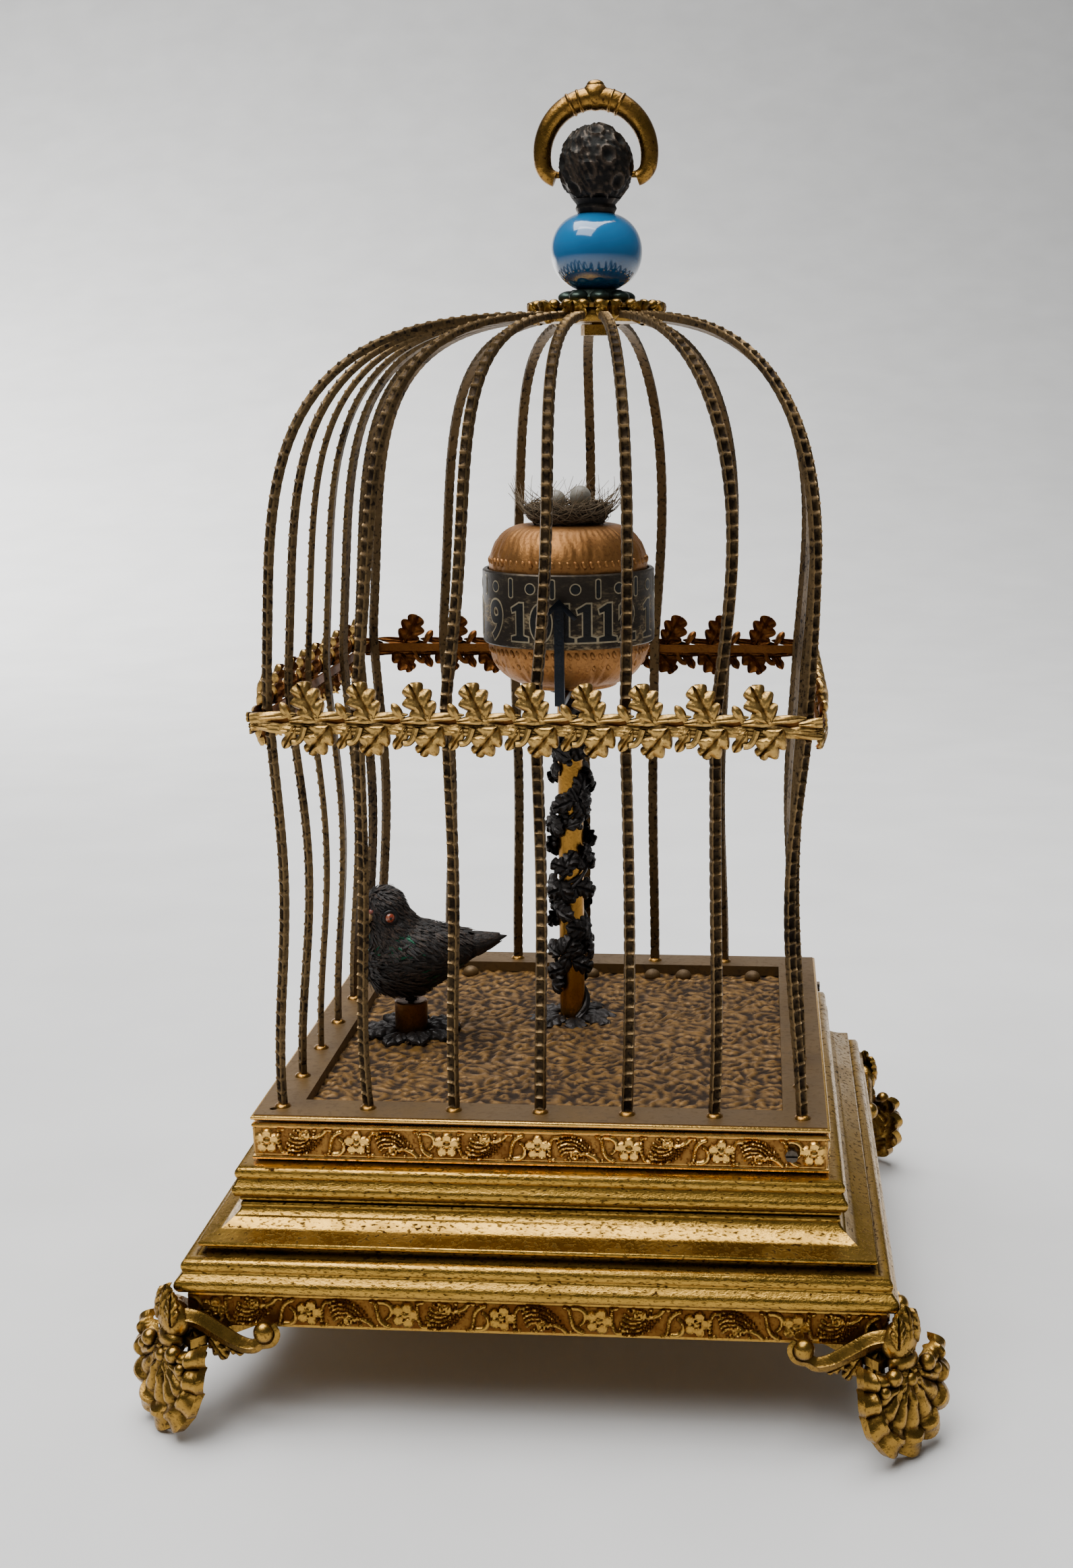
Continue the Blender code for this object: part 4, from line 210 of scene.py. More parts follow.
def dust_group() -> bpy.types.NodeTree:
    """Dust that lies on the upward faces.

    Returns:
        Group that puts out the dusted colour and the dust's mask.
    """
    names = [("Vector", "Vector"), ("Normal", "Vector"), ("Colour", "Color"), ("Dust", "Color")]
    sockets = [(label, "INPUT", kind) for label, kind in names + [("Amount", "Float"), ("Scale", "Float")]]
    sockets += [("Colour", "OUTPUT", "Color"), ("Mask", "OUTPUT", "Float")]
    group, board = node_group("dust", sockets)
    given = board.tree.nodes.new("NodeGroupInput").outputs
    upward = board.add("SeparateXYZ", {0: given["Normal"]}).outputs["Z"]
    cloud = board.add("TexNoise", {"Vector": given["Vector"], "Scale": given["Scale"], "Detail": 6.0})
    patch = board.scaled(cloud.outputs[0], (0.35, 0.62), (0.25, 1.0))
    lying = board.math("MULTIPLY", board.scaled(upward, (-0.2, 0.9), (0.15, 1.0)), patch)
    mask = board.math("MULTIPLY", lying, given["Amount"])
    out = board.tree.nodes.new("NodeGroupOutput").inputs
    board.tree.links.new(board.mixed(mask, given["Colour"], given["Dust"]), out["Colour"])
    board.tree.links.new(mask, out["Mask"])
    return group


PATINA_AND_SHADE = patina_group()
DUST = dust_group()


def opaque(colour: Colour) -> tuple[float, float, float, float]:
    """Colour with its alpha."""
    return (*colour, 1.0)


def blank_material(name: str) -> tuple[bpy.types.Material, Board, bpy.types.Node]:
    """Make a material to dress.

    Args:
        name: the material's name.

    Returns:
        The material, its board and its Principled shader.
    """
    made = bpy.data.materials.new(name)
    made.use_nodes = True
    return made, Board(made.node_tree), made.node_tree.nodes["Principled BSDF"]


@dataclass(frozen=True)
class Finish:
    """Worn surface: bright colour with dark tarnish pits and blots, painted shade in recesses and on the low parts of
    reliefs, and dust on top.
    """

    name: str
    bright: Colour
    dark: Colour
    metallic: float = 1.0
    rough: Point = (0.28, 0.6)
    blot_scale: float = 260.0
    pit_scale: float = 2600.0
    stretch: Colour = (1.0, 1.0, 1.0)
    blots: float = 0.3
    pits: float = 0.35
    # Reach and strength of the painted shade that ambient occlusion puts in recesses.
    hollow_reach: float = 0.0009
    hollows: float = 1.0
    # Strength of the painted shade that the tone attribute puts on the low parts of reliefs.
    tone_share: float = 1.0
    bump: float = 0.00006
    dust: float = 0.0
    dust_colour: Colour = (0.36, 0.30, 0.22)
    coat: float = 0.0
    coat_rough: float = 0.1

    def material(self) -> bpy.types.Material:
        """Build the material, or find it if it is built already."""
        found = bpy.data.materials.get(self.name)
        if found is not None:
            return found
        made, board, shader = blank_material(self.name)
        place = board.add("TexCoord", {}).outputs
        vector = board.add("Mapping", {"Vector": place["Object"], "Scale": self.stretch}).outputs[0]
        # Painted shade: the tone attribute is darker on the low parts of reliefs.
        tone = board.add("Attribute", {}, attribute_name=TONE_AND_SHADE).outputs["Fac"]
        wear_and_shade = board.add("Group", {}, node_tree=PATINA_AND_SHADE)
        values = {"Bright": opaque(self.bright), "Dark": opaque(self.dark), "Blot Scale": self.blot_scale}
        values |= {"Pit Scale": self.pit_scale, "Blots": self.blots, "Pits": self.pits}
        values |= {"Hollow Reach": self.hollow_reach, "Hollows": self.hollows}
        for label, value in values.items():
            wear_and_shade.inputs[label].default_value = value
        made.node_tree.links.new(vector, wear_and_shade.inputs["Vector"])
        made.node_tree.links.new(board.math("MULTIPLY", tone, self.tone_share), wear_and_shade.inputs["Tone"])
        colour, mask = wear_and_shade.outputs["Colour"], wear_and_shade.outputs["Mask"]
        roughness = board.scaled(mask, (0.0, 1.0), self.rough)
        if self.dust > 0.0:
            inputs = {"Vector": place["Object"], "Normal": place["Normal"], "Colour": colour, "Amount": self.dust}
            dusting = board.tree.nodes.new("ShaderNodeGroup")
            dusting.node_tree = DUST
            for label, value in {**inputs, "Dust": opaque(self.dust_colour), "Scale": self.blot_scale * 2}.items():
                if isinstance(value, bpy.types.NodeSocket):
                    made.node_tree.links.new(value, dusting.inputs[label])
                else:
                    dusting.inputs[label].default_value = value
            colour = dusting.outputs["Colour"]
            roughness = board.math("MAXIMUM", roughness, board.math("MULTIPLY", dusting.outputs["Mask"], 0.8))
        bump = board.add("Bump", {"Height": wear_and_shade.outputs["Height"], "Strength": 1.0, "Distance": self.bump})
        made.node_tree.links.new(colour, shader.inputs["Base Color"])
        made.node_tree.links.new(roughness, shader.inputs["Roughness"])
        made.node_tree.links.new(bump.outputs[0], shader.inputs["Normal"])
        shader.inputs["Metallic"].default_value = self.metallic
        shader.inputs["Coat Weight"].default_value = self.coat
        shader.inputs["Coat Roughness"].default_value = self.coat_rough
        return made


GILT = Finish("gilt_shell", (0.50, 0.285, 0.050), (0.036, 0.016, 0.005), rough=(0.24, 0.6), blot_scale=180.0,
              pit_scale=1500.0, stretch=(1.0, 1.0, 3.0), blots=0.45, pits=0.75, hollow_reach=0.0014, hollows=1.4)
STAMPED = Finish("gilt_frieze", (0.88, 0.52, 0.13), (0.15, 0.055, 0.012), rough=(0.26, 0.5), blots=0.25, pits=0.25,
                 hollow_reach=0.0005)
COPPERY = Finish("coppery_frieze", (0.46, 0.26, 0.050), (0.13, 0.045, 0.009), rough=(0.3, 0.55), blots=0.4, pits=0.3,
                 hollow_reach=0.0005)
CAST_GILT = Finish("cast_gilt", (0.40, 0.225, 0.045), (0.035, 0.017, 0.006), rough=(0.25, 0.55), blot_scale=420.0,
                   blots=0.45, pits=0.45, hollow_reach=0.0016, hollows=1.5)
BELT_GILT = Finish("belt_gilt", (0.56, 0.34, 0.10), (0.05, 0.028, 0.010), rough=(0.32, 0.6), blot_scale=500.0,
                   blots=0.4, pits=0.4, hollow_reach=0.0009, hollows=1.3)
COPPER_BACK = Finish("copper_back", (0.20, 0.075, 0.018), (0.08, 0.025, 0.008), rough=(0.4, 0.65), blots=0.3)
BAR_BRASS = Finish("tarnished_bars", (0.28, 0.175, 0.072), (0.014, 0.008, 0.004), metallic=0.85, rough=(0.36, 0.65),
                   blot_scale=140.0, pit_scale=1800.0, blots=0.4, pits=0.4, hollow_reach=0.0009, hollows=1.2)
SOLDER = Finish("solder_gilt", (0.42, 0.21, 0.045), (0.12, 0.05, 0.012), rough=(0.3, 0.5), blots=0.3)
DUSTY = Finish("dusty_rim", (0.15, 0.083, 0.022), (0.05, 0.027, 0.010), metallic=0.35, rough=(0.5, 0.8),
               blot_scale=90.0, pit_scale=1200.0, blots=0.5, pits=0.35, dust=0.5, dust_colour=(0.085, 0.052, 0.024))
FLOOR = Finish("embossed_floor", (0.33, 0.165, 0.032), (0.018, 0.009, 0.004), metallic=0.45, rough=(0.42, 0.8),
               blot_scale=110.0, pit_scale=1500.0, blots=0.5, pits=0.4, hollow_reach=0.0012, hollows=1.2, dust=0.35,
               dust_colour=(0.050, 0.026, 0.011))
COPPER_GILT = Finish("orange_copper", (0.42, 0.19, 0.055), (0.08, 0.028, 0.009), metallic=0.8, rough=(0.45, 0.65),
                     blot_scale=320.0, blots=0.35, pits=0.35, hollow_reach=0.0007, hollows=1.3)
TUBE_BRASS = Finish("post_brass", (0.44, 0.22, 0.040), (0.12, 0.05, 0.012), rough=(0.28, 0.5), blots=0.4, pits=0.25)
PERCH_BRASS = Finish("perch_brass", (0.22, 0.10, 0.030), (0.05, 0.024, 0.010), rough=(0.34, 0.55), blots=0.4, pits=0.3)
BLUED = Finish("blued_arrow", (0.012, 0.015, 0.020), (0.03, 0.026, 0.023), metallic=0.9, rough=(0.3, 0.5), blots=0.3)
SLATE = Finish("slate_bronze", (0.030, 0.025, 0.023), (0.008, 0.007, 0.007), metallic=0.6, rough=(0.40, 0.65),
               blots=0.3, pits=0.3, dust=0.12, dust_colour=(0.09, 0.08, 0.075))
GREEN = Finish("green_petals", (0.028, 0.04, 0.028), (0.010, 0.012, 0.010), metallic=0.7, rough=(0.35, 0.6),
               blot_scale=700.0, blots=0.3, pits=0.2, dust=0.35, dust_colour=(0.12, 0.19, 0.16))
FILIGREE = Finish("dark_filigree", (0.060, 0.040, 0.026), (0.005, 0.004, 0.004), metallic=0.75, rough=(0.4, 0.7),
                  blot_scale=500.0, blots=0.2, pits=0.2, hollow_reach=0.0008, hollows=1.2, dust=0.12,
                  dust_colour=(0.18, 0.19, 0.16))
BOW_GILT = Finish("bow_gilt", (0.34, 0.18, 0.038), (0.045, 0.020, 0.007), rough=(0.26, 0.58), blot_scale=520.0,
                  blots=0.75, pits=0.5, hollow_reach=0.0008)
STEEL = Finish("screw_steel", (0.10, 0.08, 0.06), (0.025, 0.02, 0.016), metallic=0.9, rough=(0.35, 0.6), blots=0.4)
CLOCK_BRASS = Finish("movement_brass", (0.72, 0.53, 0.24), (0.30, 0.20, 0.08), rough=(0.22, 0.45), blots=0.2, pits=0.15)
CLOCK_STEEL = Finish("movement_steel", (0.52, 0.53, 0.56), (0.20, 0.17, 0.15), rough=(0.2, 0.45), blots=0.2, pits=0.2)
FIBRE = Finish("dry_fibres", (0.21, 0.15, 0.085), (0.06, 0.042, 0.025), metallic=0.0, rough=(0.8, 0.95), pits=0.3,
               hollow_reach=0.0012)
EGG = Finish("speckled_egg", (0.36, 0.335, 0.28), (0.11, 0.085, 0.06), metallic=0.0, rough=(0.4, 0.6), blot_scale=900.0,
             blots=0.45, pits=0.35, dust=0.2)
HORN = Finish("cream_horn", (0.34, 0.22, 0.10), (0.12, 0.06, 0.025), metallic=0.0, rough=(0.4, 0.6), blot_scale=500.0,
              blots=0.35, pits=0.2, hollow_reach=0.0006)
EYE_RING = Finish("eye_ring", (0.012, 0.010, 0.010), (0.005, 0.005, 0.005), metallic=0.0, rough=(0.4, 0.6))
PINK = Finish("pink_cere", (0.30, 0.085, 0.06), (0.15, 0.04, 0.03), metallic=0.0, rough=(0.4, 0.6))
INK = Finish("black_numeral", (0.005, 0.005, 0.005), (0.012, 0.010, 0.008), metallic=0.2, rough=(0.35, 0.55))
PALE = Finish("pale_outline", (0.48, 0.40, 0.26), (0.22, 0.17, 0.10), metallic=0.7, rough=(0.4, 0.6), blots=0.4)
LEATHER = Finish("kid_leather", (0.55, 0.40, 0.28), (0.26, 0.17, 0.10), metallic=0.0, rough=(0.7, 0.9),
                 pit_scale=3200.0, pits=0.3, blots=0.25)
WOOD = Finish("walnut_board", (0.24, 0.13, 0.06), (0.09, 0.045, 0.02), metallic=0.0, rough=(0.4, 0.6),
              blot_scale=90.0, stretch=(1.0, 8.0, 8.0), blots=0.8, pits=0.3, coat=0.2)


@dataclass(frozen=True)
class BandFinish:
    """Dark band with pale scratched patches."""

    name: str = "scratched_gunmetal"
    dark: Colour = (0.036, 0.028, 0.021)
    pale: Colour = (0.38, 0.285, 0.16)
    fade: Point = (0.1005, 0.1030)

    def material(self) -> bpy.types.Material:
        """Build the material."""
        made, board, shader = blank_material(self.name)
        place = board.add("TexCoord", {}).outputs["Object"]
        flat = board.add("Mapping", {"Vector": place, "Scale": (1.0, 1.0, 2.2)}).outputs[0]
        cloud = board.add("TexNoise", {"Vector": flat, "Scale": 190.0, "Detail": 8.0, "Roughness": 0.66})
        fine = board.add("TexNoise", {"Vector": flat, "Scale": 1400.0, "Detail": 4.0})
        patches = board.scaled(cloud.outputs[0], (0.46, 0.60), (0.0, 1.0))
        scratch = board.scaled(fine.outputs[0], (0.45, 0.6), (0.15, 1.0))
        height = board.add("SeparateXYZ", {0: place}).outputs["Z"]
        lower = board.scaled(height, self.fade, (1.0, 0.15))
        mask = board.math("MULTIPLY", board.math("MULTIPLY", patches, scratch), lower)
        links = made.node_tree.links
        links.new(board.mixed(mask, opaque(self.dark), opaque(self.pale)), shader.inputs["Base Color"])
        links.new(board.scaled(mask, (0.0, 1.0), (0.42, 0.6)), shader.inputs["Roughness"])
        bump = board.add("Bump", {"Height": fine.outputs[0], "Strength": 0.8, "Distance": 0.00005})
        links.new(bump.outputs[0], shader.inputs["Normal"])
        shader.inputs["Metallic"].default_value = 0.75
        return made


@dataclass(frozen=True)
class OpalineFinish:
    """Milky blue glass with a glossy skin, with painted light at the top and painted shade towards the bottom."""

    name: str = "milky_blue_glass"
    # high is the painted lit colour of the top and low the painted shaded colour of the bottom; span is the height over
    # which one runs into the other.
    high: Colour = (0.018, 0.20, 0.46)
    low: Colour = (0.002, 0.036, 0.12)
    span: Point = (0.1440, 0.1536)

    def material(self) -> bpy.types.Material:
        """Build the material."""
        made, board, shader = blank_material(self.name)
        place = board.add("TexCoord", {}).outputs["Object"]
        height = board.add("SeparateXYZ", {0: place}).outputs["Z"]
        cloud = board.add("TexNoise", {"Vector": place, "Scale": 240.0, "Detail": 3.0}).outputs[0]
        # Painted light and shade: the colour runs from low at the bottom to high at the top.
        rise = board.scaled(height, self.span, (0.0, 0.9))
        share = board.math("ADD", rise, board.scaled(cloud, (0.4, 0.7), (0.0, 0.12)))
        links = made.node_tree.links
        links.new(board.mixed(share, opaque(self.low), opaque(self.high)), shader.inputs["Base Color"])
        links.new(board.scaled(cloud, (0.3, 0.7), (0.10, 0.16)), shader.inputs["Roughness"])
        shader.inputs["Coat Weight"].default_value = 1.0
        shader.inputs["Coat Roughness"].default_value = 0.03
        return made


@dataclass(frozen=True)
class FeatherFinish:
    """Brown-black plumage that each feather tints by its tone, with some green sheen."""

    name: str = "plumage"
    dark: Colour = (0.008, 0.006, 0.005)
    brown: Colour = (0.065, 0.036, 0.020)
    green: Colour = (0.004, 0.075, 0.035)

    def material(self) -> bpy.types.Material:
        """Build the material."""
        made, board, shader = blank_material(self.name)
        place = board.add("TexCoord", {}).outputs["Object"]
        tone = board.add("Attribute", {}, attribute_name=TONE_AND_SHADE).outputs["Fac"]
        sheen = board.add("Attribute", {}, attribute_name="sheen").outputs["Fac"]
        strands = board.add("TexNoise", {"Vector": place, "Scale": 2600.0, "Detail": 4.0, "Distortion": 1.2})
        mask = board.math("MULTIPLY", tone, board.scaled(strands.outputs[0], (0.42, 0.62), (0.2, 1.0)))
        links = made.node_tree.links
        brown = board.mixed(mask, opaque(self.dark), opaque(self.brown))
        links.new(board.mixed(sheen, brown, opaque(self.green)), shader.inputs["Base Color"])
        links.new(board.scaled(sheen, (0.0, 1.0), (0.62, 0.3)), shader.inputs["Roughness"])
        links.new(board.math("MULTIPLY", sheen, 0.6), shader.inputs["Metallic"])
        bump = board.add("Bump", {"Height": strands.outputs[0], "Strength": 0.8, "Distance": 0.0001})
        links.new(bump.outputs[0], shader.inputs["Normal"])
        return made


@dataclass(frozen=True)
class EyeFinish:
    """Orange-red glass eye with paler flecks."""

    name: str = "red_glass_eye"
    iris: Colour = (0.32, 0.045, 0.020)
    fleck: Colour = (0.42, 0.14, 0.07)

    def material(self) -> bpy.types.Material:
        """Build the material."""
        made, board, shader = blank_material(self.name)
        place = board.add("TexCoord", {}).outputs["Object"]
        cloud = board.add("TexNoise", {"Vector": place, "Scale": 2600.0, "Detail": 3.0}).outputs[0]
        colour = board.mixed(board.scaled(cloud, (0.45, 0.6), (0.0, 1.0)), opaque(self.iris), opaque(self.fleck))
        made.node_tree.links.new(colour, shader.inputs["Base Color"])
        shader.inputs["Roughness"].default_value = 0.25
        shader.inputs["Coat Weight"].default_value = 1.0
        shader.inputs["Coat Roughness"].default_value = 0.05
        return made


@dataclass(frozen=True)
class StageFinish:
    """Plain pale table top with faint marks."""

    name: str = "pale_table"
    colour: Colour = (0.74, 0.735, 0.725)

    def material(self) -> bpy.types.Material:
        """Build the material."""
        made, board, shader = blank_material(self.name)
        place = board.add("TexCoord", {}).outputs["Object"]
        cloud = board.add("TexNoise", {"Vector": place, "Scale": 30.0, "Detail": 5.0}).outputs[0]
        shade = board.add("VectorMath", {0: self.colour, "Scale": board.scaled(cloud, (0.3, 0.7), (0.95, 1.03))},
                          operation="SCALE").outputs[0]
        made.node_tree.links.new(shade, shader.inputs["Base Color"])
        shader.inputs["Roughness"].default_value = 0.7
        return made


AnyFinish = Finish | BandFinish | OpalineFinish | FeatherFinish | EyeFinish | StageFinish


# Shapes


def smooth_path(points: Sequence[Sequence[float]], count: int) -> list[Vector]:
    """Smooth curve through points.

    Args:
        points: points that the curve passes through.
        count: number of steps between two points.

    Returns:
        Points of the curve.
    """
    spots = [Vector(point) for point in points]
    spots = [2 * spots[0] - spots[1]] + spots + [2 * spots[-1] - spots[-2]]
    made = []
    for a, b, c, d in zip(spots, spots[1:], spots[2:], spots[3:]):
        for step in range(count):
            t = step / count
            curve = 2 * b + (c - a) * t + (2 * a - 5 * b + 4 * c - d) * t**2 + (3 * b - a - 3 * c + d) * t**3
            made.append(curve / 2)
    return made + [spots[-2]]


def even_path(points: Sequence[Vector], count: int) -> list[Vector]:
    """Points at even distances along a path."""
    table = np.array([list(point) for point in points])
    steps = np.linalg.norm(np.diff(table, axis=0), axis=1)
    along = np.concatenate(([0.0], np.cumsum(steps)))
    spots = np.linspace(0.0, along[-1], count)
    return [Vector(row) for row in zip(*(np.interp(spots, along, table[:, k]) for k in range(3)))]


def rail(points: Sequence[Vector], side: Vector, sizes: Sequence[Point]) -> list[Matrix]:
    """Places along a path, with local Z along it.

    Args:
        points: the path.
        side: direction of local X at the start.
        sizes: scale of local X and Y at each point.

    Returns:
        One matrix for each point.
    """
    places = []
    for index, point in enumerate(points):
        before, after = points[max(index - 1, 0)], points[min(index + 1, len(points) - 1)]
        along = (after - before).normalized()
        side = (side - along * side.dot(along)).normalized()
        across = along.cross(side)
        wide, high = sizes[index]
        turn = Matrix((side * wide, across * high, along)).transposed().to_4x4()
        places.append(Matrix.Translation(point) @ turn)
    return places


def sweep(work: bmesh.types.BMesh, section: Sequence[Point], places: Sequence[Matrix], closed: bool = False) -> None:
    """Carry a closed outline along places.

    Args:
        work: mesh to add to.
        section: outline in local X and Y.
        places: where the outline stands at each step.
        closed: whether the last step joins the first.
    """
    ring = [work.verts.new(places[0] @ Vector((x, y, 0.0))) for x, y in section]
    edges = [work.edges.new((ring[index - 1], ring[index])) for index in range(len(ring))]
    first = edges
    for before, after in zip(places, places[1:]):
        made = bmesh.ops.extrude_edge_only(work, edges=edges)["geom"]
        verts = {item for item in made if isinstance(item, bmesh.types.BMVert)}
        edges = [item for item in made if isinstance(item, bmesh.types.BMEdge) and verts.issuperset(item.verts)]
        bmesh.ops.transform(work, matrix=after @ before.inverted(), verts=list(verts))
    if closed:
        bmesh.ops.bridge_loops(work, edges=first + edges)
    else:
        bmesh.ops.edgeloop_fill(work, edges=first)
        bmesh.ops.edgeloop_fill(work, edges=edges)


def disc(sides: int, radius: float = 1.0) -> list[Point]:
    """Points of a circle."""
    return [(radius * math.cos(math.tau * i / sides), radius * math.sin(math.tau * i / sides)) for i in range(sides)]


def tube(work: bmesh.types.BMesh, points: Sequence[Vector], radii: Sequence[float], sides: int = 8) -> None:
    """Add a round tube along a path, with a radius at each point."""
    side = Vector((0.3, 0.5, 0.81)).cross(points[1] - points[0])
    sweep(work, disc(sides), rail(points, side, [(radius, radius) for radius in radii]))


def taper(count: int, radius: float, start: float = 1.0, end: float = 1.0) -> list[float]:
    """Radii that change evenly along a path, as shares of one radius."""
    return [radius * (start + (end - start) * index / (count - 1)) for index in range(count)]


def level(profile: Sequence[Point], at: Point = (0.0, 0.0)) -> list[Matrix]:
    """Places that carry a flat outline to each (radius, height) of a profile about an upright."""
    return [Matrix.Translation((*at, z)) @ Matrix.Diagonal((radius, radius, 1, 1)) for radius, z in profile]


def squared(work: bmesh.types.BMesh, profile: Sequence[Point]) -> None:
    """Carry a closed profile of (half width, height) points round a square."""
    corner = math.sqrt(2)
    turn = Matrix.Rotation(math.pi / 4, 4, "Z")
    places = []
    for x, z in profile:
        places.append(turn @ Matrix.Translation((0, 0, z)) @ Matrix.Diagonal((x * corner, x * corner, 1, 1)))
    sweep(work, disc(4), places, closed=True)


def turned(work: bmesh.types.BMesh, profile: Sequence[Point], at: Vector, sides: int = 48) -> None:
    """Turn a profile of (radius, height) points about the upright through a point."""
    sweep(work, disc(sides), level([(max(radius, 1e-5), z) for radius, z in profile], (at.x, at.y)))


def blob(work: bmesh.types.BMesh, at: Vector, size: Sequence[float], turn: Optional[Matrix] = None,
         detail: tuple[int, int] = (16, 10)) -> None:
    """Add an ellipsoid with its half sizes."""
    place = Matrix.Translation(at) @ (turn or Matrix.Identity(4)) @ Matrix.Diagonal((*size, 1.0))
    bmesh.ops.create_uvsphere(work, u_segments=detail[0], v_segments=detail[1], radius=1.0, matrix=place)


def arc(centre: Point, radius: float, first: float, last: float, steps: int = 10) -> list[Point]:
    """Points of an arc, with angles in degrees."""
    angles = [math.radians(first + (last - first) * index / steps) for index in range(steps + 1)]
    return [(centre[0] + radius * math.cos(angle), centre[1] + radius * math.sin(angle)) for angle in angles]


def set_tone(mesh: bpy.types.Mesh, values: Sequence[float], name: str = TONE_AND_SHADE) -> None:
    """Write a number for each vertex, which the finishes read."""
    layer = mesh.attributes.get(name) or mesh.attributes.new(name, "FLOAT", "POINT")
    layer.data.foreach_set("value", np.asarray(values, np.float32))


def baked(work: bmesh.types.BMesh, name: str) -> bpy.types.Mesh:
    """Mesh of a finished bmesh, which is used up."""
    mesh = bpy.data.meshes.new(name)
    work.to_mesh(mesh)
    work.free()
    return mesh


def spots_of(mesh: bpy.types.Mesh) -> np.ndarray:
    """Places of a mesh's vertices, one row each."""
    spots = np.zeros(len(mesh.vertices) * 3, np.float32)
    mesh.vertices.foreach_get("co", spots)
    return spots.reshape(-1, 3)


def evaluated(shape: bpy.types.Object) -> bpy.types.Mesh:
    """Mesh of an object with its modifiers applied; the object is removed."""
    bpy.context.scene.collection.objects.link(shape)
    bpy.context.view_layer.update()
    made = bpy.data.meshes.new_from_object(shape.evaluated_get(bpy.context.evaluated_depsgraph_get()))
    bpy.data.objects.remove(shape)
    return made


def stamp(work: bmesh.types.BMesh, unit: bpy.types.Mesh, place: Matrix) -> None:
    """Add a copy of a small mesh at a place."""
    copy = unit.copy()
    copy.transform(place)
    work.from_mesh(copy)
    bpy.data.meshes.remove(copy)


def leaf(length: float, width: float, lobes: float, bulge: float = 0.12, curl: float = 0.0, notch: float = 0.3,
         thickness: float = 0.0002, grain: tuple[int, int] = (8, 18)) -> bpy.types.Mesh:
    """Lobed leaf with veins: it grows along +Y and its face is +Z.

    Args:
        length: length from root to tip.
        width: greatest width.
        lobes: number of lobes on each side.
        bulge: height of its swell as a share of the width.
        curl: how far the tip bends back, as a share of the length.
        notch: depth of the notches between lobes as a share of the half width.
        thickness: thickness of the metal.
        grain: faces across and along.

    Returns:
        The leaf's mesh.
    """
    work = bmesh.new()
    bmesh.ops.create_grid(work, x_segments=grain[0], y_segments=grain[1], size=1.0)
    for vert in work.verts:
        across, along = vert.co.x, (vert.co.y + 1) / 2
        swell = math.sin(math.pi * min(along * 0.94 + 0.05, 1.0) ** 0.8) ** 0.55
        half = width / 2 * swell * (1 - notch + notch * abs(math.sin(lobes * math.pi * along)))
        lift = bulge * width * (1 - across * across) * swell - bulge * width * 0.55 * math.exp(-((across / 0.16) ** 2))
        lift += bulge * width * 0.3 * math.cos(2 * math.pi * (lobes * along - 0.7 * abs(across))) * abs(across)
        vert.co = (across * half, along * length + abs(across) * half * 0.35, lift - curl * length * along * along)
    bmesh.ops.solidify(work, geom=work.faces[:], thickness=thickness)
    bmesh.ops.recalc_face_normals(work, faces=work.faces)
    return baked(work, "leaf")


def halve(work: bmesh.types.BMesh, at: Vector, out: Vector, clear_outer: bool = False) -> list:
    """Cut the faces that a plane crosses, and return what was made along it."""
    everything = work.verts[:] + work.edges[:] + work.faces[:]
    made = bmesh.ops.bisect_plane(work, geom=everything, dist=1e-7, plane_co=at, plane_no=out, clear_outer=clear_outer)
    return made["geom_cut"]


def cut_off(work: bmesh.types.BMesh, at: Vector, out: Vector) -> None:
    """Cut off what lies beyond a plane through a point, and close the cut."""
    cut = halve(work, at, out, clear_outer=True)
    edges = [item for item in cut if isinstance(item, bmesh.types.BMEdge) and item.is_valid and item.is_boundary]
    bmesh.ops.holes_fill(work, edges=edges)


def side_turn(side: int) -> Matrix:
    """Turn from the front to one of the four sides."""
    return Matrix.Rotation(side * math.pi / 2, 4, "Z")


class Relief:
    """Height field of raised strokes and bosses on a flat strip, in shares of its height."""

    def __init__(self, period: float) -> None:
        """Start an empty field that repeats after a period."""
        self.period = period
        self.strokes: list[tuple[np.ndarray, np.ndarray, float]] = []

    def stroke(self, points: Sequence[Point], width: Point, height: float = 1.0, mirror: bool = False) -> None:
        """Add a tapered ridge.

        Args:
            points: four points of a cubic curve.
            width: half width at its start and at its end.
            height: height of its crest.
            mirror: whether it is turned upside down.
        """
        flipped = [Vector((x, 1 - y if mirror else y)) for x, y in points]
        curve = np.array([list(point) for point in geometry.interpolate_bezier(*flipped, 15)])[:, :2]
        self.strokes.append((curve, np.linspace(width[0], width[1], len(curve)), height))

    def boss(self, at: Point, radius: float, height: float = 1.0) -> None:
        """Add a round boss."""
        self.strokes.append((np.array([at]), np.array([radius]), height))

    def ring(self, at: Point, radius: float, width: float, turns: float = 1.0, height: float = 0.9) -> None:
        """Add a ring, or a spiral that winds inward if it has more than one turn."""
        share = np.linspace(0.0, 1.0, 34)
        reach = radius * (1 - (0.75 * share if turns > 1 else 0))
        angle = math.tau * turns * share
        curve = np.stack((at[0] + reach * np.cos(angle), at[1] + reach * np.sin(angle)), axis=1)
        self.strokes.append((curve, np.full(len(curve), width), height))

    def heights(self, x: np.ndarray, y: np.ndarray) -> np.ndarray:
        """Heights at places along and across the strip.

        Args:
            x: distances along.
            y: distances across.

        Returns:
            Heights from 0 to about 1.
        """
        result = np.zeros(len(x))
        for curve, widths, height in self.strokes:
            for (cx, cy), width in zip(curve, widths):
                gap = (x - cx + self.period / 2) % self.period - self.period / 2
                near = 1 - (gap**2 + (y - cy) ** 2) / width**2
                result = np.maximum(result, height * np.sqrt(np.clip(near, 0.0, None)))
        return result


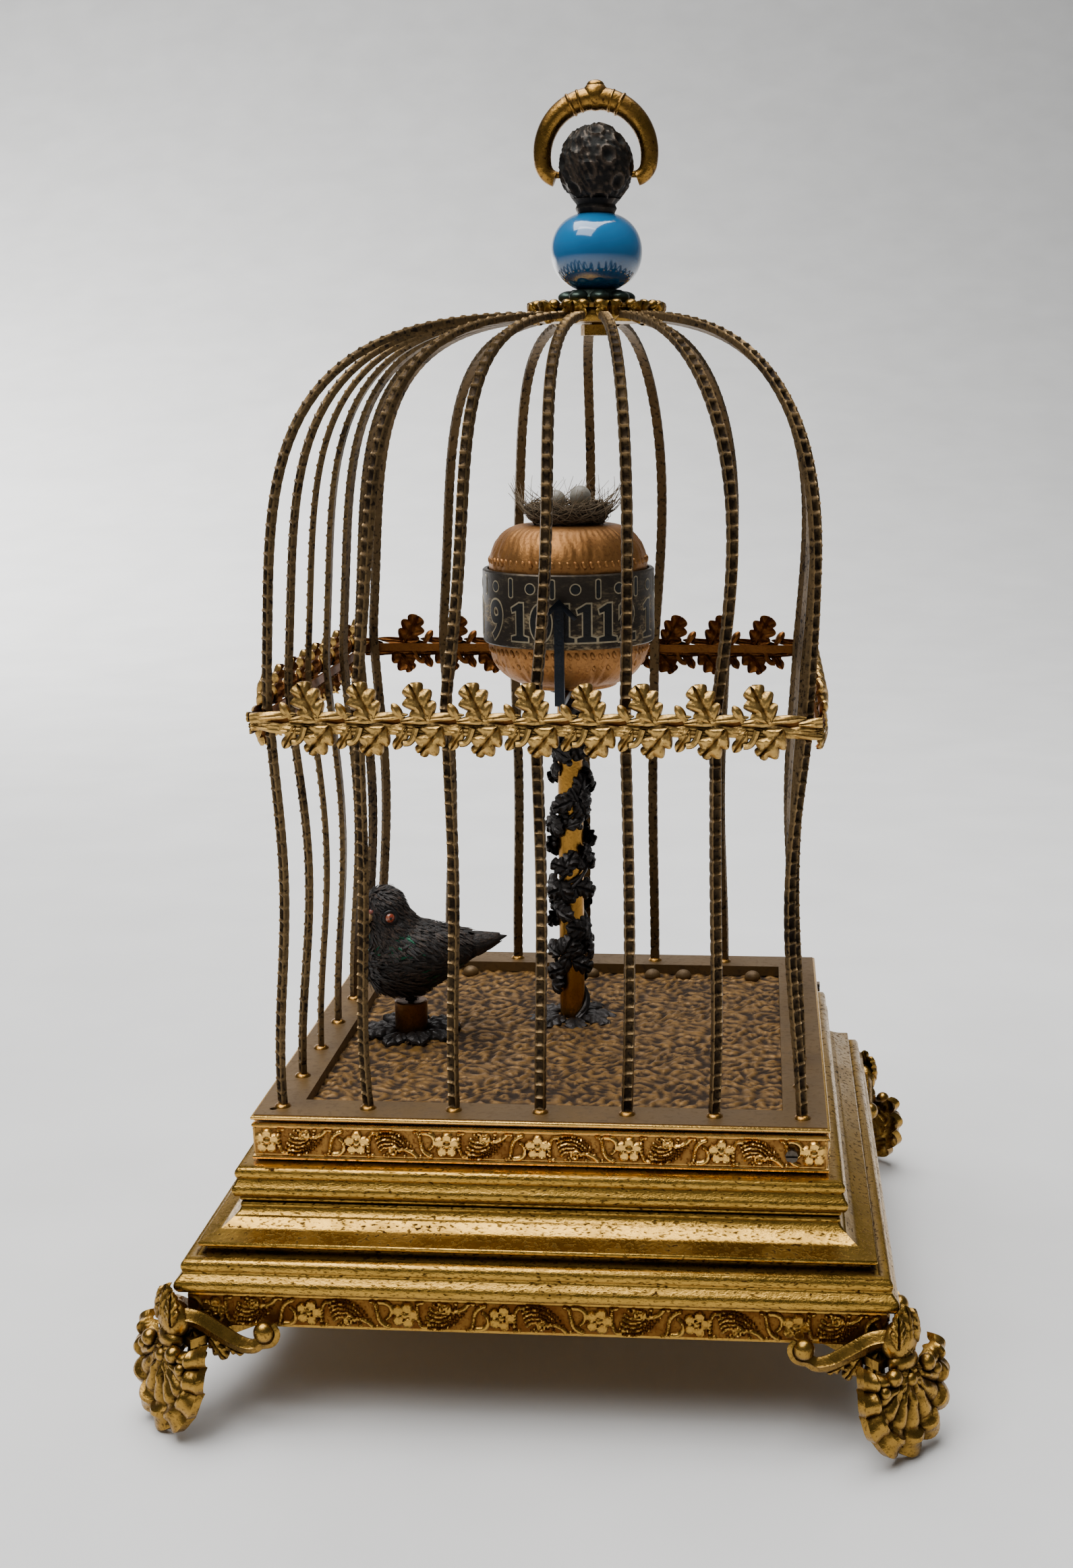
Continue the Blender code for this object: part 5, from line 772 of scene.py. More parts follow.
def scroll_relief(style: int) -> Relief:
    """Leaf scrolls that alternate with flowers, as stamped round the base.

    Args:
        style: 0 for the upper strip, 1 for the lower one.

    Returns:
        The height field, whose strip is one unit high.
    """
    field = Relief(6.2)
    for half in range(2):
        x0, flip = 3.1 * half, bool(half)
        field.boss((x0, 0.5), 0.12)
        for petal in range(5):
            angle = math.tau * petal / 5 + 0.3 + style
            spot = (x0 + 0.27 * math.cos(angle), 0.5 + 0.27 * math.sin(angle))
            field.boss(spot, 0.17 if half == 0 else 0.20, 0.75)
            field.ring(spot, 0.13, 0.04, 1.0, 0.9)
        for flute in range(5):
            drop = 0.15 * flute
            start = (x0 + 0.62 + 0.05 * flute, 0.86 - drop)
            end = (x0 + 1.95 - 0.16 * flute, 0.30 - 0.05 * flute)
            points = [start, (x0 + 1.0, 1.08 - drop), (x0 + 1.55, 0.98 - drop), end]
            field.stroke(points, (0.055, 0.035), 0.95 - 0.08 * flute, flip)
        leaves = (
            (((0.42, 0.08), (0.30, 0.9), (0.72, 1.15), (0.80, 0.62)), (0.08, 0.05), 1.0),
            (((0.95, 0.10), (1.4, 0.45), (1.9, 0.35), (2.05, 0.05)), (0.05, 0.08), 0.8),
            (((2.0, 0.95), (2.35, 0.9), (2.0, 0.3), (2.55, 0.10)), (0.05, 0.09), 1.0),
            (((2.3, 0.92), (2.75, 0.95), (2.75, 0.5), (2.5, 0.35)), (0.10, 0.05), 0.8),
        )
        for points, width, height in leaves:
            field.stroke([(x0 + x, y) for x, y in points], width, height, flip)
        centre = (x0 + 1.28, 0.26 if not flip else 0.74)
        field.ring(centre, 0.19, 0.05, 1.4)
        for seed in range(4):
            field.boss((x0 + 0.55 + 0.55 * seed, 0.07 if not flip else 0.93), 0.07, 0.6)
    return field


# Sub-assemblies


@dataclass
class Assembly:
    """Part of the object whose pieces ride on one body."""

    body: Body = Body.CAGE

    def dress(self, name: str, work: bmesh.types.BMesh, finish: AnyFinish, slot: Slot, replaces: Sequence[str],
              angle: float) -> bpy.types.Object:
        """Turn a finished bmesh into a piece that doesn't ride on a body yet.

        Args:
            name: the piece's name.
            work: its shape, which is used up.
            finish: its finish.
            slot: material slot of the piece; not used.
            replaces: nodes that it stands for.
            angle: edges sharper than this many degrees stay sharp.

        Returns:
            The piece.
        """
        bmesh.ops.recalc_face_normals(work, faces=work.faces)
        mesh = baked(work, name)
        mesh.shade_smooth()
        mesh.set_sharp_from_angle(angle=math.radians(angle))
        made = bpy.data.objects.new(name, mesh)
        bpy.context.scene.collection.objects.link(made)
        mesh.materials.append(bpy.data.materials.get(finish.name) or finish.material())
        if replaces:
            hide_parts(*replaces)
        LOG.info("%s: %d faces", name, len(mesh.polygons))
        return made

    def keep(self, name: str, work: bmesh.types.BMesh, finish: AnyFinish, slot: Slot, replaces: Sequence[str] = (),
             body: Optional[Body] = None, angle: float = 40.0) -> bpy.types.Object:
        """Turn a finished bmesh into a piece that rides on a body, the assembly's own if none is given."""
        made = self.dress(name, work, finish, slot, replaces, angle)
        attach(made, (body or self.body).value)
        return made


@dataclass
class Base(Assembly):
    """Moulded shell, stamped friezes, rim plate and floor."""

    rim_half: float = 0.0370
    floor_z: float = 0.0371
    recess_half: float = 0.0314
    upper_half: float = 0.0370
    lower_half: float = 0.0445

    def shell(self) -> None:
        """Mouldings, cove and inner walls."""
        outer = [(0.0362, 0.0379), (0.0362, 0.0328)]
        outer += arc((0.0383, 0.0316), 0.0010, 100, -42)
        outer += arc((0.0387, 0.0294), 0.0010, 48, -62)
        outer += [(0.0384, 0.0284)] + arc((0.0386, 0.02815), 0.0003, 70, -80, 5)
        outer += [(0.0380, 0.0278)] + arc((0.0383, 0.0272), 0.0005, 80, -30, 6)
        for step in range(1, 13):
            share = step / 12
            sag = 0.00035 * math.sin(math.pi * share)
            outer.append((0.0386 + 0.0048 * share - sag, 0.0268 - 0.0029 * share - sag))
        outer += [(0.0433, 0.0235), (0.0424, 0.0232), (0.0424, 0.0226)]
        outer += arc((0.0441, 0.0213), 0.0011, 128, -38)
        outer += arc((0.0449, 0.0190), 0.0011, 52, -90)
        outer += [(0.0437, 0.0179), (0.0437, 0.0132)]
        inner = [(0.0427, 0.0132), (0.0427, 0.0148), (0.0417, 0.0148), (0.0417, 0.0214), (0.0359, 0.0262)]
        inner += [(0.0342, 0.0284), (0.0342, 0.0360), (0.0352, 0.0360), (0.0352, 0.0379)]
        work = bmesh.new()
        squared(work, outer + inner)
        made = self.keep("moulded_shell", work, GILT, Slot.GILT, ["base_shell"])
        step = made.modifiers.new("soft mitres", "BEVEL")
        step.width, step.segments, step.limit_method, step.angle_limit = 0.00025, 2, "ANGLE", math.radians(60)

    def frieze(self, name: str, half: float, low: float, high: float, style: int, finish: Finish) -> None:
        """Relief on one stamped strip, all round.

        Args:
            name: the piece's name.
            half: half width of the base there.
            low: height of the strip's lower edge.
            high: height of its upper edge.
            style: pattern of the scrolls.
            finish: the strip's finish.
        """
        field, rise, depth = scroll_relief(style), high - low, 0.00048
        whole = bmesh.new()
        for side in range(4):
            work = bmesh.new()
            bmesh.ops.create_grid(work, x_segments=round(2 * half / 0.00016), y_segments=26, size=1.0)
            mesh = baked(work, "strip")
            spots = spots_of(mesh)
            along, up = spots[:, 0] * half, (spots[:, 1] + 1) / 2
            heights = field.heights(along / rise + 1.7 * side + style, up)
            edge = np.minimum(1 - np.abs(spots[:, 0]), 1 - np.abs(spots[:, 1]))
            heights *= np.clip(edge * 30, 0, 1)
            placed = np.stack((along, -half - heights * depth + (edge < 1e-4) * 0.0003, low + up * rise), axis=1)
            mesh.vertices.foreach_set("co", placed.astype(np.float32).ravel())
            # Painted shade: the low parts of the relief are written darker, up to 0.75 where the strip is flat.
            set_tone(mesh, np.clip(0.75 - 1.6 * heights, 0, 0.75))
            stamp(whole, mesh, side_turn(side))
            bpy.data.meshes.remove(mesh)
        self.keep(name, whole, finish, Slot.GILT)

    def floor(self) -> None:
        """Leaf scrolls in relief on the sunk floor, and round knobs along its back."""
        work = bmesh.new()
        tone = work.verts.layers.float.new(TONE_AND_SHADE)
        bmesh.ops.create_grid(work, x_segments=250, y_segments=250, size=self.recess_half)
        for vert in work.verts:
            x, y = vert.co.x / MM, vert.co.y / MM
            bend = 1.7 * math.sin(0.33 * y + 0.8 * math.sin(0.21 * x)) + 1.1 * math.sin(0.27 * x - 0.4 * y)
            flute = math.sin(2.9 * (x + bend)) * math.sin(2.1 * (y + 1.1 * math.sin(0.9 * x + bend)))
            swirl = math.sin(3.4 * math.hypot(x - 6 * round(x / 6), y - 5 * round(y / 5)) + 1.6 * bend)
            height = min(1.0, max(0.0, 0.5 + 0.36 * flute + 0.32 * swirl))
            vert.co.z = self.floor_z + 0.00008 + 0.00042 * height
            # Painted shade: the low parts of the floor relief are written darker.
            vert[tone] = max(0.0, 1.0 - 1.15 * height)
        for at, hole in (((0.0, 0.0100), 0.00187), ((-0.0231, 0.0010), 0.0024)):
            close = [vert for vert in work.verts if math.dist(vert.co.xy, at) < hole - 0.0003]
            bmesh.ops.delete(work, geom=close, context="VERTS")
        rim = [edge for edge in work.edges if edge.is_boundary]
        made = bmesh.ops.extrude_edge_only(work, edges=rim)["geom"]
        bmesh.ops.translate(work, vec=(0, 0, -0.0006), verts=[v for v in made if isinstance(v, bmesh.types.BMVert)])
        self.keep("floor_relief", work, FLOOR, Slot.DUSTY)
        work = bmesh.new()
        for x in (-0.0185, 0.0012, 0.0111, 0.0161, 0.0272):
            blob(work, Vector((x, 0.0296, self.floor_z + 0.0006)), (0.0013, 0.0011, 0.0011))
        for index in range(23):
            x = 0.0022 * (index - 11)
            blob(work, Vector((x, -0.0298, self.floor_z + 0.0006)), (0.0005, 0.0005, 0.0005), detail=(10, 7))
        self.keep("floor_knobs", work, DUSTY, Slot.DUSTY)

    def rim(self) -> None:
        """Reed lines under the rim's edge."""
        work = bmesh.new()
        squared(work, arc((self.rim_half + 0.0001, 0.0386), 0.00028, 90, -90, 6) + [(0.0365, 0.0383), (0.0365, 0.0389)])
        self.keep("rim_reed", work, STAMPED, Slot.GILT)

    def build(self) -> None:
        """Make all pieces."""
        self.shell()
        self.frieze("upper_relief", self.upper_half + 0.00008, 0.0335, 0.0373, 0, STAMPED)
        self.frieze("lower_relief", self.lower_half + 0.00008, 0.0134, 0.0174, 1, COPPERY)
        self.floor()
        self.rim()


@dataclass
class Feet(Assembly):
    """Four cast corner feet: fluted shell, knuckle, two scroll arms with leaves and volutes."""

    hinge: float = 0.04627
    hinge_z: float = 0.0117
    line: float = 0.0464
    shell_side: float = 0.0077
    shell_drop: float = 0.0117
    sweep_angle: float = math.radians(210)
    lobes: int = 9
    arm_length: float = 0.0122

    def shell(self, work: bmesh.types.BMesh) -> None:
        """Scalloped fan with flutes and a lumpy rim."""
        fan = bmesh.new()
        bmesh.ops.create_grid(fan, x_segments=72, y_segments=22, size=1.0)
        for vert in fan.verts:
            share, out = (vert.co.x + 1) / 2, max((vert.co.y + 1) / 2, 0.03)
            angle = (share - 0.5) * self.sweep_angle * (0.72 + 0.28 * out)
            below = max(0.0, math.cos(angle)) ** 1.5
            reach = self.shell_side + (self.shell_drop - self.shell_side) * below
            wave = abs(math.sin(share * self.lobes * math.pi))
            reach -= 0.0008 * (1 - wave) * out**3
            flute = (wave**0.7 - 0.5) * 0.0009 * min(1.0, out * 1.6)
            crown = 0.0014 * (1 - (out - 0.4) ** 2 * 2.0)
            rim = 0.0006 * math.exp(-(((out - 0.80) / 0.05) ** 2)) - 0.0005 * math.exp(-(((out - 0.70) / 0.04) ** 2))
            lump = 0.00035 * math.sin(40 * share) * math.sin(21 * out) * (out < 0.45)
            side = reach * out * math.sin(angle)
            vert.co = (side, -reach * out * math.cos(angle), crown + flute + rim + lump)
        bmesh.ops.solidify(fan, geom=fan.faces[:], thickness=0.0012)
        mesh = baked(fan, "fan")
        tilt = Matrix.Rotation(math.radians(-10) + math.pi / 2, 4, "X")
        place = Matrix.Translation((self.hinge, -self.hinge, self.hinge_z)) @ Matrix.Rotation(math.pi / 4, 4, "Z")
        stamp(work, mesh, place @ tilt)
        bpy.data.meshes.remove(mesh)

    def arm(self, work: bmesh.types.BMesh) -> None:
        """Ridged scroll with a volute, and the leaves that hang under it."""
        low, drop = 0.0117, 0.0033
        shares = ((-0.04, 0.55), (0.12, 1.05), (0.3, 1.0), (0.5, 0.55), (0.7, 0.1), (0.86, -0.05))
        points = [(self.line - self.arm_length * x, -self.line - 0.0003, low + drop * z) for x, z in shares]
        centre = Vector((self.line - self.arm_length, -self.line - 0.0003, low + 0.0019))
        for step in range(4):
            angle = math.radians(-70 - 52 * step)
            reach = 0.0017 - 0.0001 * step
            points.append(centre + Vector((reach * math.cos(angle), 0.0, reach * math.sin(angle))))
        path = smooth_path(points, 5)
        count = len(path)
        sizes = []
        for index in range(count):
            share = index / (count - 1)
            wide = 0.00125 - 0.00075 * max(0.0, share - 0.35) / 0.65
            sizes.append((wide, wide * (0.85 - 0.25 * share)))
        ridge = [(1.0, 0.15), (0.62, 0.62), (0.16, 0.8), (0.0, 1.05), (-0.16, 0.8), (-0.62, 0.62), (-1.0, 0.15)]
        section = ridge + [(-0.8, -0.6), (0.0, -0.9), (0.8, -0.6)]
        sweep(work, section, rail(path, Vector((0.0, 0.0, -1.0)), sizes))
        blob(work, centre + Vector((0.0, -0.0002, 0.0)), (0.00135, 0.0012, 0.00135), detail=(24, 16))
        face = Matrix.Rotation(math.pi / 2, 4, "X")
        leaves = ((0.0008, 0.0008, 190, 1.0), (0.0030, 0.0006, 172, 0.95), (0.0052, -0.0002, 150, 0.78),
                  (0.0070, -0.0008, 128, 0.62), (0.0086, -0.0010, 112, 0.45), (-0.0006, -0.0010, 205, 0.7))
        for x, z, turn, size in leaves:
            blade = leaf(0.0048 * size, 0.0028 * size, 3.0, bulge=0.25, curl=0.12, thickness=0.0006, grain=(8, 12))
            at = Vector((self.line - x, -self.line - 0.0004, low + z + 0.0012))
            stamp(work, blade, Matrix.Translation(at) @ face @ Matrix.Rotation(math.radians(turn), 4, "Z"))
            bpy.data.meshes.remove(blade)

    def corner(self, work: bmesh.types.BMesh) -> None:
        """Knuckle, the pointed leaf above it, berries, and the stud plate behind."""
        out = Vector((1.0, -1.0, 0.0)).normalized()
        knuckle = Vector((self.hinge, -self.hinge, 0.0148)) - out * 0.0004
        turn = Matrix.Rotation(-math.pi / 4, 4, "Z")
        blob(work, knuckle, (0.0019, 0.0027, 0.0026), turn, (24, 16))
        blob(work, knuckle + Vector((0, 0, -0.0024)) + out * 0.0006, (0.0015, 0.0024, 0.0014), turn, (20, 12))
        stand = Matrix.Rotation(math.pi / 4, 4, "Z") @ Matrix.Rotation(math.pi / 2, 4, "X")
        for yaw, lean, size in ((0, 0, 1.0), (-34, 0.0012, 0.85), (34, -0.0012, 0.85)):
            blade = leaf(0.0052 * size, 0.0024 * size, 4.0, bulge=0.3, curl=0.10, thickness=0.0005, grain=(8, 14))
            shift = Vector((lean, lean, 0.0145)) + Vector((self.hinge, -self.hinge, 0)) + out * 0.0009
            stamp(work, blade, Matrix.Translation(shift) @ Matrix.Rotation(math.radians(-yaw), 4, "Z") @ stand)
            bpy.data.meshes.remove(blade)
        for along, z, radius in ((0.0022, 0.0116, 0.0011), (-0.0022, 0.0116, 0.0011), (0.0, 0.0104, 0.0009),
                                 (0.0034, 0.0102, 0.0008), (-0.0034, 0.0102, 0.0008)):
            spot = Vector((self.hinge, -self.hinge, z)) + Vector((along, along, 0)) + out * 0.0016
            blob(work, spot, (radius, radius, radius))
        plate = Matrix.Translation((0.0405, -0.0405, 0.0123)) @ turn @ Matrix.Diagonal((0.0150, 0.0070, 0.0012, 1.0))
        bmesh.ops.create_cube(work, size=1.0, matrix=plate)

    def build(self) -> None:
        """Make one foot and set it at each corner."""
        unit = bmesh.new()
        self.shell(unit)
        self.arm(unit)
        other = bmesh.new()
        self.arm(other)
        mirror = Matrix(((0, -1, 0, 0), (-1, 0, 0, 0), (0, 0, 1, 0), (0, 0, 0, 1)))
        bmesh.ops.transform(other, matrix=mirror, verts=other.verts)
        bmesh.ops.reverse_faces(other, faces=other.faces)
        mesh = baked(other, "foot")
        unit.from_mesh(mesh)
        self.corner(unit)
        unit.to_mesh(mesh)
        unit.free()
        for quarter, name in enumerate(("foot_front_right", "foot_back_right", "foot_back_left", "foot_front_left")):
            work = bmesh.new()
            stamp(work, mesh, side_turn(quarter))
            cut_off(work, Vector((0, 0, 0.00002)), Vector((0, 0, -1)))
            self.keep("cast_" + name, work, CAST_GILT, Slot.GILT, [name])


@dataclass
class Bars(Assembly):
    """Flat strips with a row of cushions on their outer side, from the rim to the crown."""

    spacing_half: float = 0.0339
    per_side: int = 7
    foot_z: float = 0.0393
    waist: float = 0.043
    waist_height: float = 0.0577
    dome_z: float = 0.0997
    dome_height: float = 0.0407
    power: float = 3.2
    end_radius: float = 0.0091
    lean: float = 0.0052
    pitch: float = 0.00175
    width: float = 0.00145
    belt: Point = (0.0878, 0.0926)
    hub_z: float = 0.1395
    sway: float = 0.0012
    waist_bends: tuple[float, ...] = (-0.75, -1.3, -0.4, 0.1, 0.55, 0.75, -0.75)
    dome_bends: tuple[float, ...] = (-0.25, 0.7, 1.0, 0.35, -0.9, 0.75, -0.5)

    def path(self, foot: Vector, bends: Point) -> list[Vector]:
        """Middle line of the bar on a foot, with its bends to the right in millimetres."""
        crown = Vector((self.lean, 0.0, 0.0))
        away = foot - crown
        reach, out = away.length, away.normalized()
        points = []
        for step in range(24):
            share = step / 24
            pinch = 1 - self.waist * math.sin(math.pi * share) ** 2
            points.append(crown + out * (reach * pinch) + Vector((0, 0, self.foot_z + self.waist_height * share)))
        last = math.acos((self.end_radius / reach) ** (self.power / 2))
        for step in range(61):
            angle = last * step / 60
            span = reach * math.cos(angle) ** (2 / self.power)
            lift = self.dome_height * math.sin(angle) ** (2 / self.power)
            points.append(crown + out * span + Vector((0, 0, self.dome_z + lift)))
        low, high = self.belt
        for point in points:
            below = (point.z - self.foot_z) / (low - self.foot_z)
            above = (point.z - high) / (self.hub_z - high)
            for share, bend in ((below, bends[0] * MM), (above, bends[1] * MM + self.sway)):
                if 0 < share < 1:
                    point.x += bend * math.sin(math.pi * share)
        return points

    def bar(self, work: bmesh.types.BMesh, foot: Vector, bends: Point = (0.0, 0.0)) -> None:
        """Add one bar: a ladder of raised rims and rungs round dished cells, darkened with painted shade."""
        away = (foot - Vector((self.lean, 0.0, 0.0))).normalized()
        side = np.array(away.cross(Vector((0, 0, 1))))
        raw = self.path(foot, bends)
        length = sum((b - a).length for a, b in zip(raw, raw[1:]))
        cells = round(length / self.pitch)
        strip = bmesh.new()
        bmesh.ops.create_grid(strip, x_segments=8, y_segments=cells * 6, size=1.0)
        bmesh.ops.solidify(strip, geom=strip.faces[:], thickness=1.0)
        mesh = baked(strip, "bar")
        flat = spots_of(mesh).astype(float)
        line = np.array([list(point) for point in even_path(raw, 241)])
        along = np.gradient(line, axis=0)
        along /= np.linalg.norm(along, axis=1)[:, None]
        out = np.cross(along, side)
        share = (flat[:, 1] + 1) / 2
        spots = np.linspace(0.0, 1.0, len(line))
        middle = np.stack([np.interp(share, spots, line[:, k]) for k in range(3)], axis=1)
        outward = np.stack([np.interp(share, spots, out[:, k]) for k in range(3)], axis=1)
        phase = (share * cells) % 1.0
        rung = np.exp(-((np.minimum(phase, 1 - phase) / 0.13) ** 2))
        across = flat[:, 0]
        rim = np.exp(-(((np.abs(across) - 0.74) / 0.2) ** 2))
        height = np.maximum(0.62 * rim * (1 - 0.35 * rung), 0.95 * rung) * np.clip((1.12 - np.abs(across)) * 5, 0, 1)
        upper = np.abs(flat[:, 2]) < 0.5
        lift = np.where(upper, 0.00008 + 0.00050 * height, -0.0004)
        half = self.width / 2 * (1 - 0.13 * rung)
        placed = middle + side * (across * half)[:, None] + outward * lift[:, None]
        mesh.vertices.foreach_set("co", placed.astype(np.float32).ravel())
        # Painted shade: the dished cells are written darker than the raised rims and rungs; the back face gets a flat
        # 0.45.
        set_tone(mesh, np.where(upper, np.clip(0.72 - 1.0 * height, 0, 0.7), 0.45))
        stamp(work, mesh, Matrix.Identity(4))
        bpy.data.meshes.remove(mesh)

    def feet_of(self, side: int) -> list[Vector]:
        """Feet of one side's inner bars."""
        step = 2 * self.spacing_half / (self.per_side - 1)
        spots = [-self.spacing_half + step * index for index in range(1, self.per_side - 1)]
        return [side_turn(side) @ Vector((x, -self.spacing_half, 0.0)) for x in spots]

    def build(self) -> None:
        """Make all bars and the solder at their feet."""
        half = self.spacing_half
        bends, even = list(zip(self.waist_bends, self.dome_bends)), (0.0, 0.0)
        corners = {"front_left": (-half, -half, bends[0]), "front_right": (half, -half, bends[-1])}
        corners |= {"back_left": (-half, half, even), "back_right": (half, half, even)}
        feet = []
        for name, (x, y, bent) in corners.items():
            work = bmesh.new()
            foot = Vector((x, y, 0.0))
            self.bar(work, foot, bent)
            feet.append(foot)
            self.keep("beaded_bar_" + name, work, BAR_BRASS, Slot.BAR, ["corner_bar_" + name])
        for side, name in enumerate(("front", "right", "back", "left")):
            work = bmesh.new()
            for foot, bent in zip(self.feet_of(side), bends[1:-1]):
                self.bar(work, foot, bent if side == 0 else even)
                feet.append(foot)
            self.keep("beaded_bars_" + name, work, BAR_BRASS, Slot.BAR, ["side_bars_" + name])
        work = bmesh.new()
        for foot in feet:
            blob(work, Vector((foot.x, foot.y, 0.0390)), (0.0011, 0.0011, 0.00055), detail=(14, 8))
        self.keep("solder_beads", work, SOLDER, Slot.GILT)


@dataclass
class Belt(Assembly):
    """Ring of oak leaves and buds along a twisted stem, round the bars."""

    half: float = 0.0351
    middle_z: float = 0.0902
    pitch: float = 0.00702
    count: int = 9

    def build(self) -> None:
        """Make the belt in front of the bars and its plain copper back."""
        flower = leaf(0.0052, 0.0042, 3.0, bulge=0.2, curl=0.06, notch=0.34, thickness=0.00035)
        hanging = leaf(0.0046, 0.0040, 2.6, bulge=0.2, curl=0.06, notch=0.38, thickness=0.00035)
        blade = leaf(0.0080, 0.0013, 2.0, bulge=0.22, notch=0.1, thickness=0.00025, grain=(6, 16))
        small = leaf(0.0034, 0.0017, 2.0, bulge=0.25, curl=0.08, thickness=0.0003, grain=(6, 10))
        face = Matrix.Rotation(math.pi / 2, 4, "X")
        one = bmesh.new()
        turn = Matrix.Translation((0.0, -self.half - 0.0003, self.middle_z))

        def put(unit: bpy.types.Mesh, x: float, z: float, angle: float, out: float) -> None:
            """Set a leaf on the front side at a place along it, turned by an angle in degrees."""
            spin = Matrix.Rotation(math.radians(angle), 4, "Z")
            stamp(one, unit, turn @ Matrix.Translation((x, -out, z)) @ face @ spin)

        for index in range(-1, self.count + 1):
            start = -self.half + self.pitch * (index + 0.5)
            put(blade, start + 0.0010, 0.0004, -84, 0.0005)
            put(blade, start + 0.0035, -0.0003, -97, 0.0003)
            put(blade, start - 0.0008, -0.0006, -88, 0.0001)
            if 0 <= index < self.count:
                put(flower, start + 0.0046, 0.0004, 28, 0.0003)
                put(hanging, start + 0.0062, -0.0002, 140, 0.0004)
                put(small, start + 0.0018, -0.0003, 150, 0.0003)
                tip = Vector((start, -0.0004, 0.0026))
                root = Vector((start + 0.0013, -0.0002, 0.0006))
                bud = [turn @ root.lerp(tip, step / 6) for step in range(7)]
                tube(one, bud, [0.0004, 0.0004, 0.00055, 0.00062, 0.00062, 0.0005, 0.0002])
                curl = [turn @ Vector((start + dx, -0.0003, dz)) for dx, dz in
                        ((0.0030, -0.0004), (0.0026, -0.0016), (0.0020, -0.0023), (0.0013, -0.0024))]
                tube(one, smooth_path(curl, 3), taper(10, 0.0006, 0.8, 0.7))
        for sign in (-1, 1):
            cut_off(one, Vector((sign * (self.half + 0.0004), 0.0, 0.0)), Vector((sign, 0.0, 0.0)))
        mesh = baked(one, "side")
        work = bmesh.new()
        for side in range(4):
            stamp(work, mesh, side_turn(side))
            corner = side_turn(side) @ Vector((self.half, -self.half, 0.0))
            post = Matrix.Translation((corner.x, corner.y, self.middle_z))
            bmesh.ops.create_cube(work, size=1.0, matrix=post @ Matrix.Diagonal((0.0008, 0.0008, 0.0016, 1)))
        bpy.data.meshes.remove(mesh)
        made = self.keep("oak_leaf_belt", work, BELT_GILT, Slot.GILT, ["leaf_belt"])
        made.data.materials.append(COPPER_BACK.material())
        for face in made.data.polygons:
            x, y = face.center.x, face.center.y
            out = Vector((math.copysign(1, x), 0, 0)) if abs(x) > abs(y) else Vector((0, math.copysign(1, y), 0))
            face.material_index = int(face.normal.dot(out) < -0.2)
        work = bmesh.new()
        inner, outer = self.half - 0.0004, self.half - 0.00005
        low, high = self.middle_z - 0.0006, self.middle_z + 0.0006
        squared(work, [(outer, high), (outer, low), (inner, low), (inner, high)])
        self.keep("belt_back", work, COPPER_BACK, Slot.GILT)
        for unit in (flower, hanging, blade, small):
            bpy.data.meshes.remove(unit)


